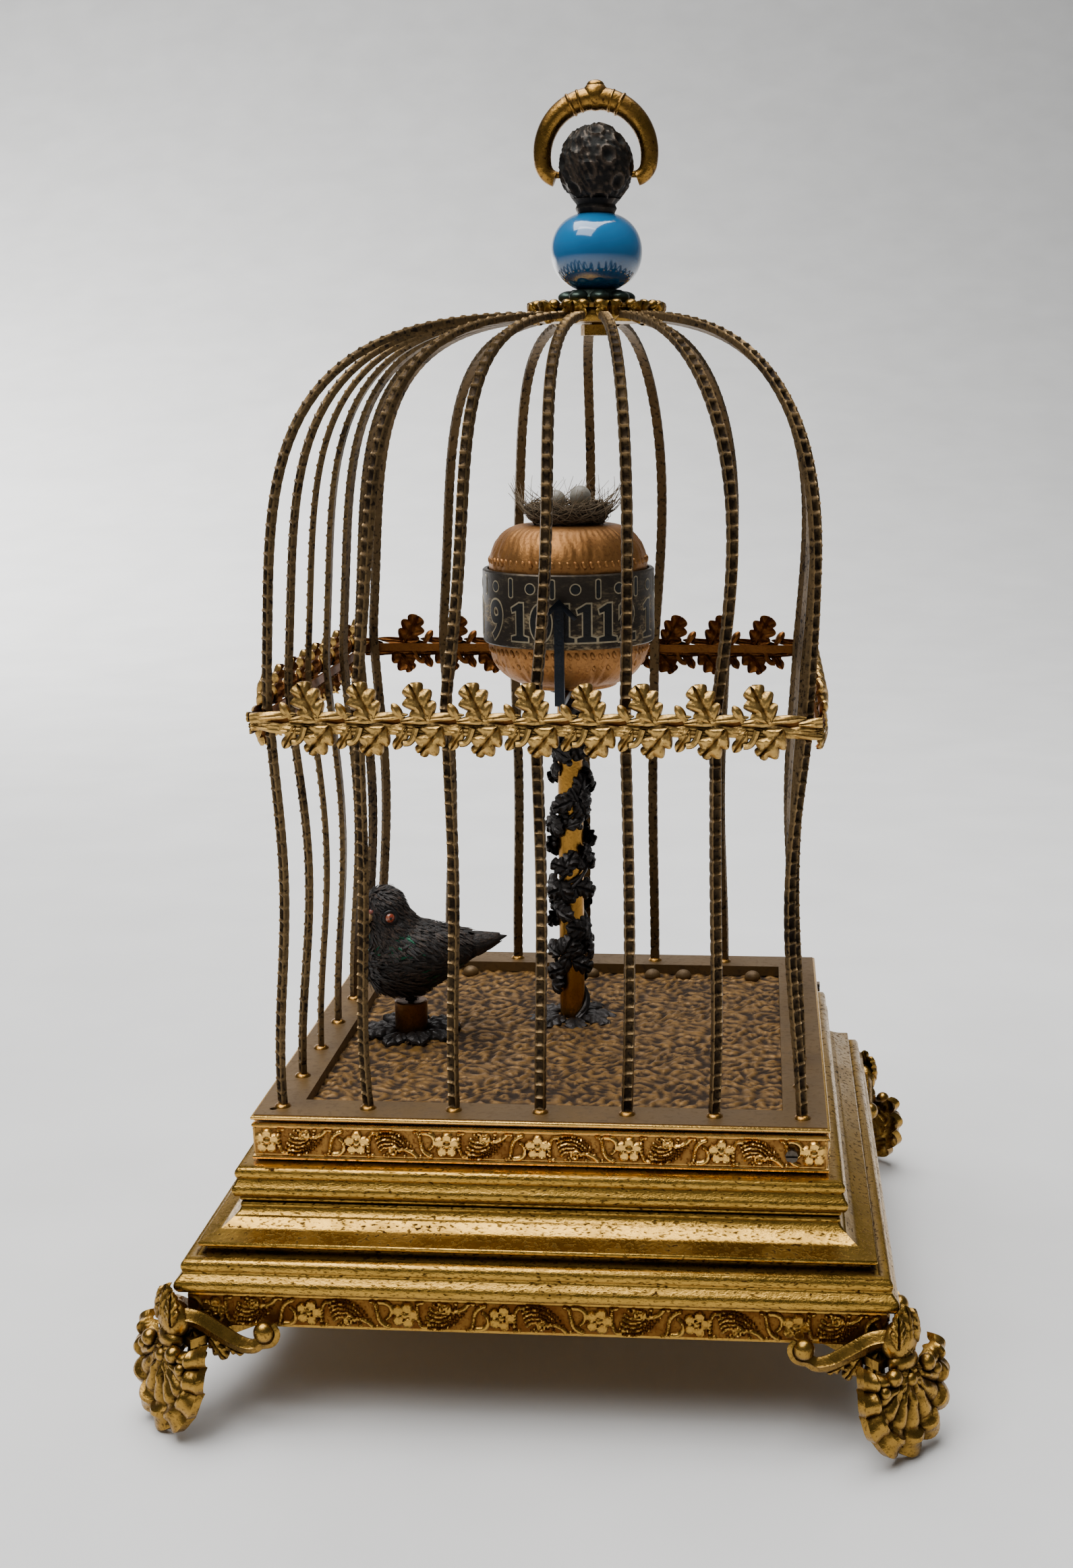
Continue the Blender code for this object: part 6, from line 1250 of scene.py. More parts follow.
@dataclass
class Crown(Assembly):
    """Scalloped plate, petals, blue bead, dark pierced bead and the hanging ring."""

    x: float = 0.0052
    spots: int = 12
    pits: int = 26
    golden_angle: float = 2.399963

    def plate(self) -> None:
        """Hub band with leaf arches, and the scalloped plate with its bosses."""
        at = Vector((self.x, 0.0, 0.0))
        work = bmesh.new()
        turned(work, [(0.0026, 0.1395), (0.0078, 0.1395), (0.0081, 0.1399), (0.0081, 0.1406), (0.0079, 0.1411),
                      (0.0083, 0.1413), (0.0084, 0.1416), (0.0078, 0.1419), (0.0050, 0.1420)], at, 72)
        for index in range(self.spots):
            angle = math.tau * (index + 0.5) / self.spots
            out = Vector((math.cos(angle), math.sin(angle), 0.0))
            for spread in (-0.13, 0.13):
                lean = Vector((math.cos(angle + spread), math.sin(angle + spread), 0.0))
                blob(work, at + lean * 0.0084 + Vector((0, 0, 0.1417)), (0.00085, 0.00085, 0.0007), detail=(14, 8))
            arch = leaf(0.0030, 0.0036, 2.0, bulge=0.2, curl=-0.2, notch=0.15, thickness=0.0003, grain=(8, 8))
            frame_turn = Matrix.Rotation(angle + math.pi / 2, 4, "Z") @ Matrix.Rotation(math.radians(100), 4, "X")
            stamp(work, arch, Matrix.Translation(at + out * 0.0083 + Vector((0, 0, 0.1392))) @ frame_turn)
            bpy.data.meshes.remove(arch)
        self.keep("scalloped_crown", work, CAST_GILT, Slot.GILT, ["crown_plate"])

    def petals(self) -> None:
        """Dark rounded petals under the blue bead."""
        work = bmesh.new()
        at = Vector((self.x, 0.0, 0.1428))
        for index in range(8):
            angle = math.tau * index / 8 + 0.2
            turn = Matrix.Rotation(angle, 4, "Z")
            blob(work, at + turn @ Vector((0.0036, 0, 0)), (0.0017, 0.0014, 0.0009), turn, (18, 12))
        turned(work, [(0.0012, 0.1420), (0.0036, 0.1420), (0.0040, 0.1428), (0.0034, 0.1438), (0.0012, 0.1439)], at, 32)
        self.keep("dark_petals", work, GREEN, Slot.GREEN, ["petal_collar"])

    def beads(self) -> None:
        """Smooth blue bead, and the dark bead with scrolls in relief."""
        work = bmesh.new()
        at = Vector((self.x, 0.0, 0.0))
        angles = np.linspace(0.30, math.pi - 0.30, 32)
        profile = [(0.0062 * math.sin(a) ** 0.76, 0.1488 - 0.0052 * math.cos(a)) for a in angles]
        turned(work, [(0.0012, 0.1438)] + profile + [(0.0012, 0.1538)], at, 72)
        self.keep("opaline_glass_bead", work, OpalineFinish(), Slot.OPALINE, ["opaline_bead"])
        work = bmesh.new()
        bmesh.ops.create_uvsphere(work, u_segments=128, v_segments=72, radius=1.0)
        centres = []
        for index in range(self.pits):
            height = 1 - 2 * (index + 0.5) / self.pits
            angle = self.golden_angle * index
            level = math.sqrt(1 - height * height)
            centres.append(Vector((level * math.cos(angle), level * math.sin(angle), height)))
        tones = []
        for vert in work.verts:
            spot = vert.co.normalized()
            gap, near = min(((spot - centre).length, number) for number, centre in enumerate(centres))
            away = spot - centres[near]
            spin = math.atan2(away.dot(Vector((0, 0, 1)).cross(centres[near])), away.z)
            ring = math.exp(-(((gap - 0.21) / 0.045) ** 2))
            grains = max(0.0, math.cos(7 * spin)) * math.exp(-(((gap - 0.33) / 0.05) ** 2))
            pit = math.exp(-((gap / 0.11) ** 2))
            lift = ring + 0.8 * grains + 0.45 * math.exp(-(((gap - 0.13) / 0.02) ** 2)) - 0.9 * pit
            vert.co = Vector((spot.x * 0.0050, spot.y * 0.0050, spot.z * 0.0055)) * (0.965 + 0.06 * lift)
            # Painted shade: the sunk pits and low parts are written darker than the raised rings and grains.
            tones.append(min(1.0, max(0.0, 0.9 - 1.1 * lift)))
        bmesh.ops.translate(work, vec=(self.x, 0, 0.1599), verts=work.verts)
        turned(work, [(0.0012, 0.1538), (0.0025, 0.1538), (0.0028, 0.1544), (0.0026, 0.1549), (0.0032, 0.1556)], at, 32)
        tones += [0.3] * (len(work.verts) - len(tones))
        made = self.keep("pierced_bead", work, FILIGREE, Slot.BRONZE, ["filigree_bead"])
        set_tone(made.data, tones)

    def bow(self) -> None:
        """Hanging ring with hooked ends, a knob and two collars."""
        work = bmesh.new()
        centre, reach = 0.1613, 0.0072
        right = arc((0.0, centre), reach, 90, -10, 12) + arc((0.0049, centre - 0.0009), 0.0022, -10, -74, 6)[1:]
        loop = [(-x, z) for x, z in right[:0:-1]] + right
        path = smooth_path([(self.x + x, 0.0, z) for x, z in loop], 3)
        count = len(path)
        radii = [0.00126 - 0.00022 * math.cos(math.tau * i / (count - 1)) for i in range(count)]
        tube(work, path, radii, 16)
        blob(work, Vector((self.x, 0.0, 0.1688)), (0.0018, 0.0016, 0.0019), detail=(24, 16))
        blob(work, Vector((self.x, 0.0, 0.1702)), (0.0012, 0.0011, 0.0007))
        for sign in (-1, 1):
            for turn, thick in ((17, 0.0016), (27, 0.00165)):
                angle = math.radians(90 + sign * turn)
                at = Vector((self.x + reach * math.cos(angle), 0.0, centre + reach * math.sin(angle)))
                blob(work, at, (thick, thick, 0.0005), Matrix.Rotation(-angle, 4, "Y"), (20, 12))
            end = Vector((self.x + sign * 0.0042, 0.0, 0.1588))
            tube(work, [end, end + Vector((sign * 0.0018, 0, 0))], [0.00045, 0.00045], 12)
        self.keep("hanging_ring", work, BOW_GILT, Slot.GILT, ["bow"], body=Body.BOW)

    def build(self) -> None:
        """Make all pieces."""
        self.plate()
        self.petals()
        self.beads()
        self.bow()


@dataclass
class Globe(Assembly):
    """Embossed bowl and cap, numeral band, nest with two eggs."""

    body: Body = Body.DIAL
    y: float = 0.0100
    band_radius: float = 0.01245
    band_low: float = 0.0949
    band_high: float = 0.1054
    numeral_height: float = 0.0053
    numeral_narrowing: float = 0.86
    glyph_height: float = 0.70
    first_hour: int = 11
    first_angle: float = 10.0

    def embossed(self, name: str, node: str, profile: Sequence[Point], arches: int) -> None:
        """Turned shell with upright leaves and arches in relief.

        Args:
            name: the piece's name.
            node: the node it stands for.
            profile: its outer side from the band outwards, then its inner side.
            arches: number of leaf arches round it.
        """
        work = bmesh.new()
        turned(work, profile, Vector((0.0, self.y, 0.0)), 240)
        low, high = min(z for _, z in profile), max(z for _, z in profile)
        for vert in work.verts:
            out = Vector((vert.co.x, vert.co.y - self.y, 0.0))
            if out.length < 0.004:
                continue
            angle = math.atan2(out.y, out.x)
            share = (vert.co.z - low) / (high - low)
            arch = abs(math.sin(arches * angle / 2))
            fan = math.cos(7 * math.atan2(math.sin(arches * angle / 2), 0.3 + 1.5 * share))
            vein = math.cos(arches * 6 * angle + 3 * math.sin(9 * share))
            lift = 0.45 * (1 - math.exp(-8 * arch)) + 0.35 * fan + 0.25 * vein * share
            vert.co += out.normalized() * (0.00034 * lift * math.sin(math.pi * min(max(share, 0.05), 0.95)) ** 0.3)
        self.keep(name, work, COPPER_GILT, Slot.COPPER, [node])

    def shells(self) -> None:
        """Bowl and cap, each with a roped edge beside the band."""
        steps = np.linspace(0.0, math.pi / 2, 22)
        bowl = [(0.0056 + 0.0059 * math.cos(a), 0.0949 - 0.0063 * math.sin(a)) for a in steps]
        inside = [(0.0050 + 0.0056 * math.cos(a), 0.0949 - 0.0055 * math.sin(a)) for a in steps[::-1]]
        profile = [(0.0112, 0.0958), (0.0115, 0.0955)] + bowl + [(0.0011, 0.0886), (0.0011, 0.0894)] + inside
        self.embossed("embossed_bowl", "dial_bowl", profile, 12)
        cap = [(0.0063 + 0.0050 * math.sin(a), 0.1057 + 0.0059 * math.cos(a)) for a in steps]
        inside = [(0.0056 + 0.0048 * math.sin(a), 0.1057 + 0.0051 * math.cos(a)) for a in steps[::-1]]
        profile = [(0.0011, 0.1116)] + cap + [(0.0113, 0.1046), (0.0106, 0.1046)] + inside + [(0.0011, 0.1108)]
        self.embossed("embossed_cap", "dial_cap", profile, 10)
        work = bmesh.new()
        ropes = ((0.0939, 0.01135, 64), (0.0922, 0.01075, 60), (0.1066, 0.01125, 64), (0.0902, 0.0088, 40))
        for z, radius, count in ropes:
            for index in range(count):
                angle = math.tau * index / count
                turn = Matrix.Rotation(angle, 4, "Z") @ Matrix.Rotation(math.radians(24), 4, "X")
                spot = Vector((radius * math.cos(angle), self.y + radius * math.sin(angle), z))
                blob(work, spot, (0.0004, 0.0004, 0.00065), turn, (8, 5))
        for z, radius in ((0.0887, 0.0066), (0.0893, 0.0074)):
            ring = [Vector((radius * x, self.y + radius * y, z)) for x, y in disc(48)]
            sweep(work, disc(8), rail(ring, Vector((0, 0, 1)), [(0.0005, 0.0005)] * 48), closed=True)
        self.keep("roped_edges", work, COPPER_GILT, Slot.COPPER)

    def on_band(self, target: bmesh.types.BMesh, mesh: bpy.types.Mesh, angle: float, z: float, out: float) -> None:
        """Wrap a flat figure round the band.

        Args:
            target: mesh to add it to.
            mesh: figure in X and Y, in metres, which is used up.
            angle: where its middle stands, from the front towards +X, in radians.
            z: height of its middle.
            out: how far it stands proud of the band.
        """
        work = bmesh.new()
        work.from_mesh(mesh)
        span = max(abs(vert.co.x) for vert in work.verts)
        for index in range(-7, 8):
            halve(work, Vector((span * index / 8, 0.0, 0.0)), Vector((1.0, 0.0, 0.0)))
        for vert in work.verts:
            turn = angle + vert.co.x / self.band_radius
            reach = self.band_radius + out + vert.co.z
            vert.co = (reach * math.sin(turn), self.y - reach * math.cos(turn), z + vert.co.y)
        work.to_mesh(mesh)
        work.free()
        target.from_mesh(mesh)
        bpy.data.meshes.remove(mesh)

    def glyph(self, sign: str, swell: float) -> bpy.types.Mesh:
        """Flat mesh of one figure, 0.7 high, with its outline swelled: 0 and 1 have thick and thin strokes."""
        if sign in "01":
            curve = bpy.data.curves.new("numeral", "CURVE")
            curve.dimensions = "2D"
            one = ((0.0, 0.0), (0.42, 0.0), (0.42, 0.07), (0.30, 0.10), (0.30, 0.70), (0.20, 0.70), (0.0, 0.60),
                   (0.02, 0.53), (0.13, 0.56), (0.13, 0.10), (0.0, 0.07))
            oval = [[(wide * x, 0.35 + high * y) for x, y in disc(32)] for wide, high in ((0.24, 0.35), (0.085, 0.29))]
            for loop in [one[::-1]] if sign == "1" else [oval[0][::-1], oval[1]]:
                spline = curve.splines.new("POLY")
                spline.points.add(len(loop) - 1)
                for point, (x, y) in zip(spline.points, loop):
                    point.co = (x, y, 0.0, 1.0)
                spline.use_cyclic_u = True
        else:
            curve = bpy.data.curves.new("numeral", "FONT")
            curve.body = sign
            curve.size = 1.0
            swell += 0.02
        curve.fill_mode, curve.offset, curve.extrude = "BOTH", swell, 0.004
        mesh = evaluated(bpy.data.objects.new("numeral", curve))
        bpy.data.curves.remove(curve)
        across, up = ([vert.co[k] for vert in mesh.vertices] for k in (0, 1))
        mesh.transform(Matrix.Translation((-(min(across) + max(across)) / 2, -(min(up) + max(up)) / 2, 0.0)))
        return mesh

    def figure(self, text: str, swell: float) -> bpy.types.Mesh:
        """Flat mesh of a plain numeral, centred."""
        work = bmesh.new()
        wide = {"1": 0.24, "0": 0.27}
        reach = [wide.get(sign, 0.28) for sign in text]
        x = -sum(reach)
        for sign, half in zip(text, reach):
            mesh = self.glyph(sign, swell)
            stamp(work, mesh, Matrix.Translation((x + half, 0.0, 0.0)))
            bpy.data.meshes.remove(mesh)
            x += 2 * half
        mesh = baked(work, "numeral")
        scale = self.numeral_height / self.glyph_height
        mesh.transform(Matrix.Diagonal((scale * self.numeral_narrowing, scale, scale, 1.0)))
        return mesh

    def marks(self, black: bmesh.types.BMesh, pale: bmesh.types.BMesh) -> None:
        """Dots over the numerals and bars between them."""
        for index in range(24):
            angle = math.radians(self.first_angle + 15 * index)
            size = (0.00068, 0.00068) if index % 2 == 0 else (0.0003, 0.0013)
            for work, grow, out in ((pale, 0.00017, 0.00003), (black, 0.0, 0.00007)):
                flat = bmesh.new()
                section = bmesh.ops.create_circle(flat, cap_ends=True, segments=20, radius=1.0)["verts"]
                for vert in section:
                    x, y = vert.co.x, vert.co.y
                    if index % 2:
                        y = math.copysign(1 - (size[0] / size[1]) * (1 - abs(y)), y) if abs(y) > 1e-6 else y
                    vert.co = (x * (size[0] + grow), y * (size[1] + grow), 0.0)
                height = self.band_high - 0.19 * (self.band_high - self.band_low)
                self.on_band(work, baked(flat, "mark"), angle, height, out)

    def band(self) -> None:
        """Plain dark ring, its numerals and their pale outlines."""
        work = bmesh.new()
        low, high, r = self.band_low, self.band_high, self.band_radius
        wall, edge = 0.0007, 0.0002
        profile = [(r - wall, high), (r - edge, high), (r, high - edge)]
        profile += [(r, low + edge), (r - edge, low), (r - wall, low)]
        sweep(work, disc(128), level(profile, (0.0, self.y)), closed=True)
        self.keep("numeral_band", work, BandFinish(), Slot.GUNMETAL, ["hour_band"])
        black, pale = bmesh.new(), bmesh.new()
        middle = high - 0.64 * (high - low)
        for number in range(1, 13):
            angle = math.radians(self.first_angle + 30 * (number - self.first_hour))
            for work, swell, out in ((pale, 0.032, 0.00002), (black, 0.0, 0.00006)):
                self.on_band(work, self.figure(str(number), swell), angle, middle, out)
        self.marks(black, pale)
        self.keep("numeral_outlines", pale, PALE, Slot.GUNMETAL)
        self.keep("numerals", black, INK, Slot.GUNMETAL)

    def nest(self) -> None:
        """Ring of loose fibres and two speckled eggs."""
        work = bmesh.new()
        seed = random.Random(7)
        base = Vector((0.0, self.y, 0.1119))
        turned(work, [(0.0015, 0.1127), (0.0015, 0.1120), (0.0046, 0.1120), (0.0049, 0.1130), (0.0044, 0.1136),
                      (0.0036, 0.1134), (0.0028, 0.1128)], base, 40)
        for index in range(620):
            start = seed.uniform(0, math.tau)
            span = seed.uniform(0.3, 1.3) * seed.choice((-1, 1))
            level = seed.uniform(0.0001, 0.0026)
            reach = 0.0047 + 0.0010 * math.sin(math.pi * level / 0.0034) + seed.uniform(-0.0009, 0.0005)
            loose = seed.uniform(0.0008, 0.0036) if index % 4 == 0 else seed.uniform(0.0, 0.0005)
            points = []
            for step in range(9):
                share = step / 8
                angle = start + span * share
                radius = reach + 0.0003 * math.sin(7 * share + index) + loose * share**2
                height = level + 0.0004 * math.sin(5 * share + index) + 1.3 * loose * share**3
                points.append(base + Vector((radius * math.cos(angle), radius * math.sin(angle), height)))
            tube(work, points, taper(9, seed.uniform(0.00007, 0.00014), 1.0, 0.3), 4)
        self.keep("fibre_nest", work, FIBRE, Slot.NEST, ["nest"], angle=80)
        for name, side in (("egg_left", -1), ("egg_right", 1)):
            work = bmesh.new()
            at = Vector((side * 0.0018, self.y, 0.11525 + 0.0003 * side))
            blob(work, at, (0.00155, 0.0019, 0.00155), detail=(32, 20))
            self.keep("speckled_" + name, work, EGG, Slot.EGG, [name])

    def build(self) -> None:
        """Make all pieces."""
        self.shells()
        self.band()
        self.nest()


@dataclass
class Post(Assembly):
    """Post with its climbing vine, and the fixed arrow before the band."""

    y: float = 0.0100
    radius: float = 0.00187
    low: float = 0.0371
    top: float = 0.0883
    arrow_y: float = -0.00405

    def tube(self) -> None:
        """Smooth brass tube."""
        work = bmesh.new()
        at = Vector((0.0, self.y, 0.0))
        outer = [(self.radius, self.top), (self.radius, 0.0320), (0.0011, 0.0320), (0.0011, self.top)]
        sweep(work, disc(40), level(outer, (0.0, self.y)), closed=True)
        self.keep("post_brass_tube", work, TUBE_BRASS, Slot.GILT, ["post_tube"])
        work = bmesh.new()
        root = leaf(0.0048, 0.0036, 3.0, bulge=0.16, curl=0.08, thickness=0.0003)
        for index in range(8):
            turn = Matrix.Rotation(math.tau * index / 8 + 0.2, 4, "Z")
            place = Matrix.Translation(at + Vector((0, 0, self.low + 0.0004 + 0.0002 * (index % 2)))) @ turn
            stamp(work, root, place @ Matrix.Translation((0, self.radius + 0.0002, 0)))
        bpy.data.meshes.remove(root)
        self.keep("root_leaves", work, SLATE, Slot.BRONZE)

    def vine(self) -> None:
        """Three twisted stems with lobed leaves and berries."""
        work = bmesh.new()
        turns, low, high = 4.5, self.low + 0.0006, self.top - 0.0012
        for strand in range(3):
            points = []
            for index in range(130):
                share = index / 129
                angle = math.tau * turns * share + 0.35 * math.sin(11 * share + 2 * strand) - 1.2
                reach = self.radius + 0.0003 + 0.00013 * strand
                height = low + (high - low) * share + 0.0009 * math.sin(17 * share + 2.1 * strand)
                points.append(Vector((reach * math.cos(angle), self.y + reach * math.sin(angle), height)))
            tube(work, points, taper(130, 0.00026, 1.2, 0.8), 7)
        unit = leaf(0.0033, 0.0030, 3.0, bulge=0.26, curl=0.16, notch=0.30, thickness=0.0003, grain=(8, 12))
        tiny = leaf(0.0024, 0.0020, 2.0, bulge=0.2, curl=0.15, thickness=0.0003, grain=(6, 8))
        seed = random.Random(3)
        clusters, spread = 14, 8
        for index in range(clusters * spread):
            cluster, number = divmod(index, spread)
            share = 0.09 + 0.88 * (cluster + 0.5) / clusters
            angle = math.tau * turns * share - 1.2 + seed.uniform(-1.1, 1.1)
            height = low + (high - low) * share + seed.uniform(-0.0014, 0.0014)
            at, reach = Vector((0, self.y, height)), self.radius + 0.0006
            spot = Vector((math.cos(angle), math.sin(angle), 0.0)) * reach
            place = Matrix.Translation(spot + at) @ Matrix.Rotation(angle + math.pi / 2, 4, "Z")
            spin = Matrix.Rotation(math.radians(84), 4, "X") @ Matrix.Rotation(math.tau * number / spread + 0.4, 4, "Z")
            stamp(work, unit if number % 3 else tiny, place @ spin)
            if number % 3 == 0:
                for berry in range(2):
                    wide = Vector((math.cos(angle + 0.9), math.sin(angle + 0.9), 0)) * reach
                    seat = Vector((0, self.y, height + 0.0009 * berry))
                    blob(work, wide + seat, (0.0005, 0.0005, 0.0005), detail=(10, 7))
        for mesh in (unit, tiny):
            bpy.data.meshes.remove(mesh)
        self.keep("climbing_vine", work, SLATE, Slot.BRONZE, ["post_vine"])

    def arrow(self) -> None:
        """Long flat shaft with a swept-back barbed head, held by a collar on the post."""
        work = bmesh.new()
        tip, barb, neck, low = 0.1023, 0.0994, 0.1003, 0.0873
        right = [(0.0007, low), (0.0007, neck + 0.0003), (0.0021, barb - 0.0001), (0.0026, barb + 0.0003), (0.0, tip)]
        outline = right + [(-x, z) for x, z in right[-2::-1]]
        ring = [work.verts.new((x, self.arrow_y - 0.0003, z)) for x, z in outline]
        face = work.faces.new(ring)
        made = bmesh.ops.extrude_face_region(work, geom=[face])["geom"]
        bmesh.ops.translate(work, vec=(0, 0.0006, 0), verts=[v for v in made if isinstance(v, bmesh.types.BMVert)])
        arm = Matrix.Translation((0.0, 0.0020, 0.0878)) @ Matrix.Diagonal((0.0015, 0.0118, 0.0010, 1.0))
        bmesh.ops.create_cube(work, size=1.0, matrix=arm)
        bmesh.ops.bevel(work, geom=work.edges[:], offset=0.00008, offset_type="OFFSET", affect="EDGES", segments=2,
                        profile=0.5, material=-1)
        collar = ((0.0029, 0.0883), (0.0029, 0.0873), (0.00215, 0.0873), (0.00215, 0.0883))
        sweep(work, disc(32), level(collar, (0.0, self.y)), closed=True)
        self.keep("blued_arrow", work, BLUED, Slot.BLUED, ["pointer"])

    def build(self) -> None:
        """Make all pieces."""
        self.tube()
        self.vine()
        self.arrow()


@dataclass
class Perch(Assembly):
    """Short brass tube in a ring of dark leaves."""

    x: float = -0.0231
    y: float = 0.0010
    radius: float = 0.0024
    low: float = 0.0371
    top: float = 0.0424

    def build(self) -> None:
        """Make both pieces."""
        work = bmesh.new()
        outer = [(self.radius - 0.0002, self.top), (self.radius, self.top - 0.0002), (self.radius, self.low + 0.0003),
                 (0.0019, self.low + 0.0003), (0.0019, 0.0355), (0.0009, 0.0355), (0.0009, self.top)]
        sweep(work, disc(40), level(outer, (self.x, self.y)), closed=True)
        self.keep("perch_brass_tube", work, PERCH_BRASS, Slot.OLD_GILT, ["perch_tube"])
        work = bmesh.new()
        unit = leaf(0.0048, 0.0036, 3.0, bulge=0.2, curl=0.06, thickness=0.0004)
        for index in range(9):
            turn = Matrix.Rotation(math.tau * index / 9, 4, "Z")
            lift = Vector((self.x, self.y, self.low + 0.0005 + 0.00025 * (index % 2)))
            slope = Matrix.Rotation(math.radians(6), 4, "X")
            stamp(work, unit, Matrix.Translation(lift) @ turn @ Matrix.Translation((0, self.radius, 0)) @ slope)
        bpy.data.meshes.remove(unit)
        self.keep("perch_leaf_ring", work, SLATE, Slot.BRONZE, ["perch_leaves"])


@dataclass
class Bird(Assembly):
    """Stuffed body under small feathers, glass eyes, hooked beak and pointed tail."""

    body: Body = Body.BIRD
    x: float = -0.0231
    y: float = 0.0010
    middle_z: float = 0.0486
    yaw: float = math.radians(12)
    head_turn: float = math.radians(40)
    head_ahead: float = 0.0035
    head_lift: float = 0.0073
    taper: Point = (0.0005, 0.0082)
    rump_share: float = 0.51
    rump_x: float = 0.0088
    eye_reach: float = 0.00285
    eye_angle: float = math.radians(62)
    feathers: int = 5200

    def frame(self) -> Matrix:
        """The bird's own frame: -X is ahead."""
        return Matrix.Translation((self.x, self.y, 0.0)) @ Matrix.Rotation(self.yaw, 4, "Z")

    def head(self) -> Vector:
        """Middle of the head in the bird's own frame."""
        return Vector((-self.head_ahead, 0.0, self.middle_z + self.head_lift))

    def eye_spots(self) -> dict[str, Vector]:
        """Middles of the eyes in the bird's own frame."""
        spots = {}
        for name, side in (("bird_eye_right", -1), ("bird_eye_left", 1)):
            turn = Matrix.Rotation(self.head_turn + side * self.eye_angle, 3, "Z")
            spots[name] = self.head() + turn @ Vector((-self.eye_reach, 0.0, 0.0))
        return spots

    def plump(self) -> bpy.types.Mesh:
        """Body, neck and head run together."""
        work = bmesh.new()
        bmesh.ops.create_uvsphere(work, u_segments=32, v_segments=24, radius=1.0)
        for vert in work.verts:
            share = ((vert.co.z + 1) / 2) ** 1.3
            x = 0.0200 * share - 0.0065
            rise = 0.0034 * share * share
            behind = min(max(x - self.taper[0], 0.0) / (self.taper[1] - self.taper[0]), 1.2)
            girth = 1 - (1 - self.rump_share) * behind
            vert.co = (x, vert.co.y * 0.0052 * girth, self.middle_z + vert.co.x * 0.0059 * girth + rise)
        cut_off(work, Vector((self.rump_x, 0.0, 0.0)), Vector((1.0, 0.0, 0.0)))
        spine = Matrix.Rotation(math.radians(-14), 4, "Y")
        blob(work, Vector((-0.0022, 0.0, self.middle_z + 0.0040)), (0.0040, 0.0037, 0.0050), spine, (24, 16))
        blob(work, self.head(), (0.0034, 0.0033, 0.0040), None, (24, 16))
        shape = bpy.data.objects.new("plump", baked(work, "plump"))
        step = shape.modifiers.new("skin", "REMESH")
        step.mode, step.voxel_size = "VOXEL", 0.00045
        smooth = shape.modifiers.new("smooth", "SMOOTH")
        smooth.iterations, smooth.factor = 14, 0.6
        return evaluated(shape)

    def feather(self, length: float, width: float) -> bpy.types.Mesh:
        """Small pointed feather of a few faces: it lies along +Y with its face +Z."""
        work = bmesh.new()
        bmesh.ops.create_grid(work, x_segments=2, y_segments=4, size=1.0)
        for vert in work.verts:
            along = (vert.co.y + 1) / 2
            half = width / 2 * math.sin(math.pi * (0.16 + 0.80 * along)) ** 0.8
            lift = 0.12 * width * (1 - vert.co.x**2) + 0.16 * length * along * (1 - along)
            vert.co = (vert.co.x * half, along * length, lift)
        return baked(work, "feather")

    def coat(self, work: bmesh.types.BMesh, skin: bpy.types.Mesh, count: int, keep: Callable[[Vector], bool],
             back: Callable[[Vector], Vector], raised: float = 0.22) -> tuple[list[float], list[float]]:
        """Cover a skin with feathers.

        Args:
            work: mesh to add to.
            skin: mesh that they lie on.
            count: number of feathers.
            keep: whether a place is covered.
            back: direction in which the feathers point at a place.
            raised: how far a feather may stand up, as a share of its length.

        Returns:
            Tone and sheen of each vertex that was added.
        """
        seed = random.Random(11)
        patch = self.eye_spots()["bird_eye_left"] - Vector((0.0, 0.0, 0.0019))
        faces = [face for face in skin.polygons if keep(face.center)]
        tones, sheens = [], []
        units = [self.feather(0.0014, 0.00032), self.feather(0.0019, 0.0004), self.feather(0.0010, 0.00026)]
        for _ in range(count):
            face = seed.choice(faces)
            spot, normal = Vector(face.center), Vector(face.normal)
            stray = 1.6 * raised
            along = back(spot) + Vector([seed.uniform(-stray, stray) for _ in range(3)])
            along = (along - normal * along.dot(normal)).normalized()
            along = (along + normal * seed.uniform(0.02, raised)).normalized()
            side = along.cross(normal).normalized()
            size = seed.uniform(0.8, 1.25)
            head = spot.z > self.middle_z + 0.0045
            unit = units[2] if head else units[seed.choice((0, 0, 1))]
            turn = Matrix((side * size, along * size, side.cross(along) * size)).transposed().to_4x4()
            before = len(work.verts)
            stamp(work, unit, Matrix.Translation(spot + normal * 0.00005) @ turn)
            added = len(work.verts) - before
            tone = seed.uniform(0.0, 1.0) ** 1.6
            neck = abs(spot.z - self.middle_z - 0.0030) < 0.0017 and spot.x < 0.001
            flank = spot.z < self.middle_z - 0.0008 and 0.0 < spot.x < 0.006
            sheen = 0.9 if (neck or flank) and seed.random() < 0.16 else 0.0
            cheek = (spot - patch).length < 0.0012
            tones += [1.0 if cheek else tone] * added
            sheens += [0.0 if cheek else sheen] * added
        for unit in units:
            bpy.data.meshes.remove(unit)
        return tones, sheens

    def plumage(self) -> None:
        """Body with its coat and folded wings."""
        skin = self.plump()
        work = bmesh.new()
        work.from_mesh(skin)
        tones = [0.05] * len(work.verts)
        sheens = [0.0] * len(work.verts)

        def flow(spot: Vector) -> Vector:
            """Down the head and breast, then back to the tail."""
            lift = spot.z - self.middle_z
            return Vector((1.0, 0.0, -0.9 if lift > 0.002 else 0.12))

        eyes = list(self.eye_spots().values())
        edge = self.rump_x - 0.0002

        def covered(spot: Vector) -> bool:
            """Whether a spot lies away from the eyes and from the cut at the rump."""
            return spot.x < edge and all((spot - eye).length > 0.0013 for eye in eyes)

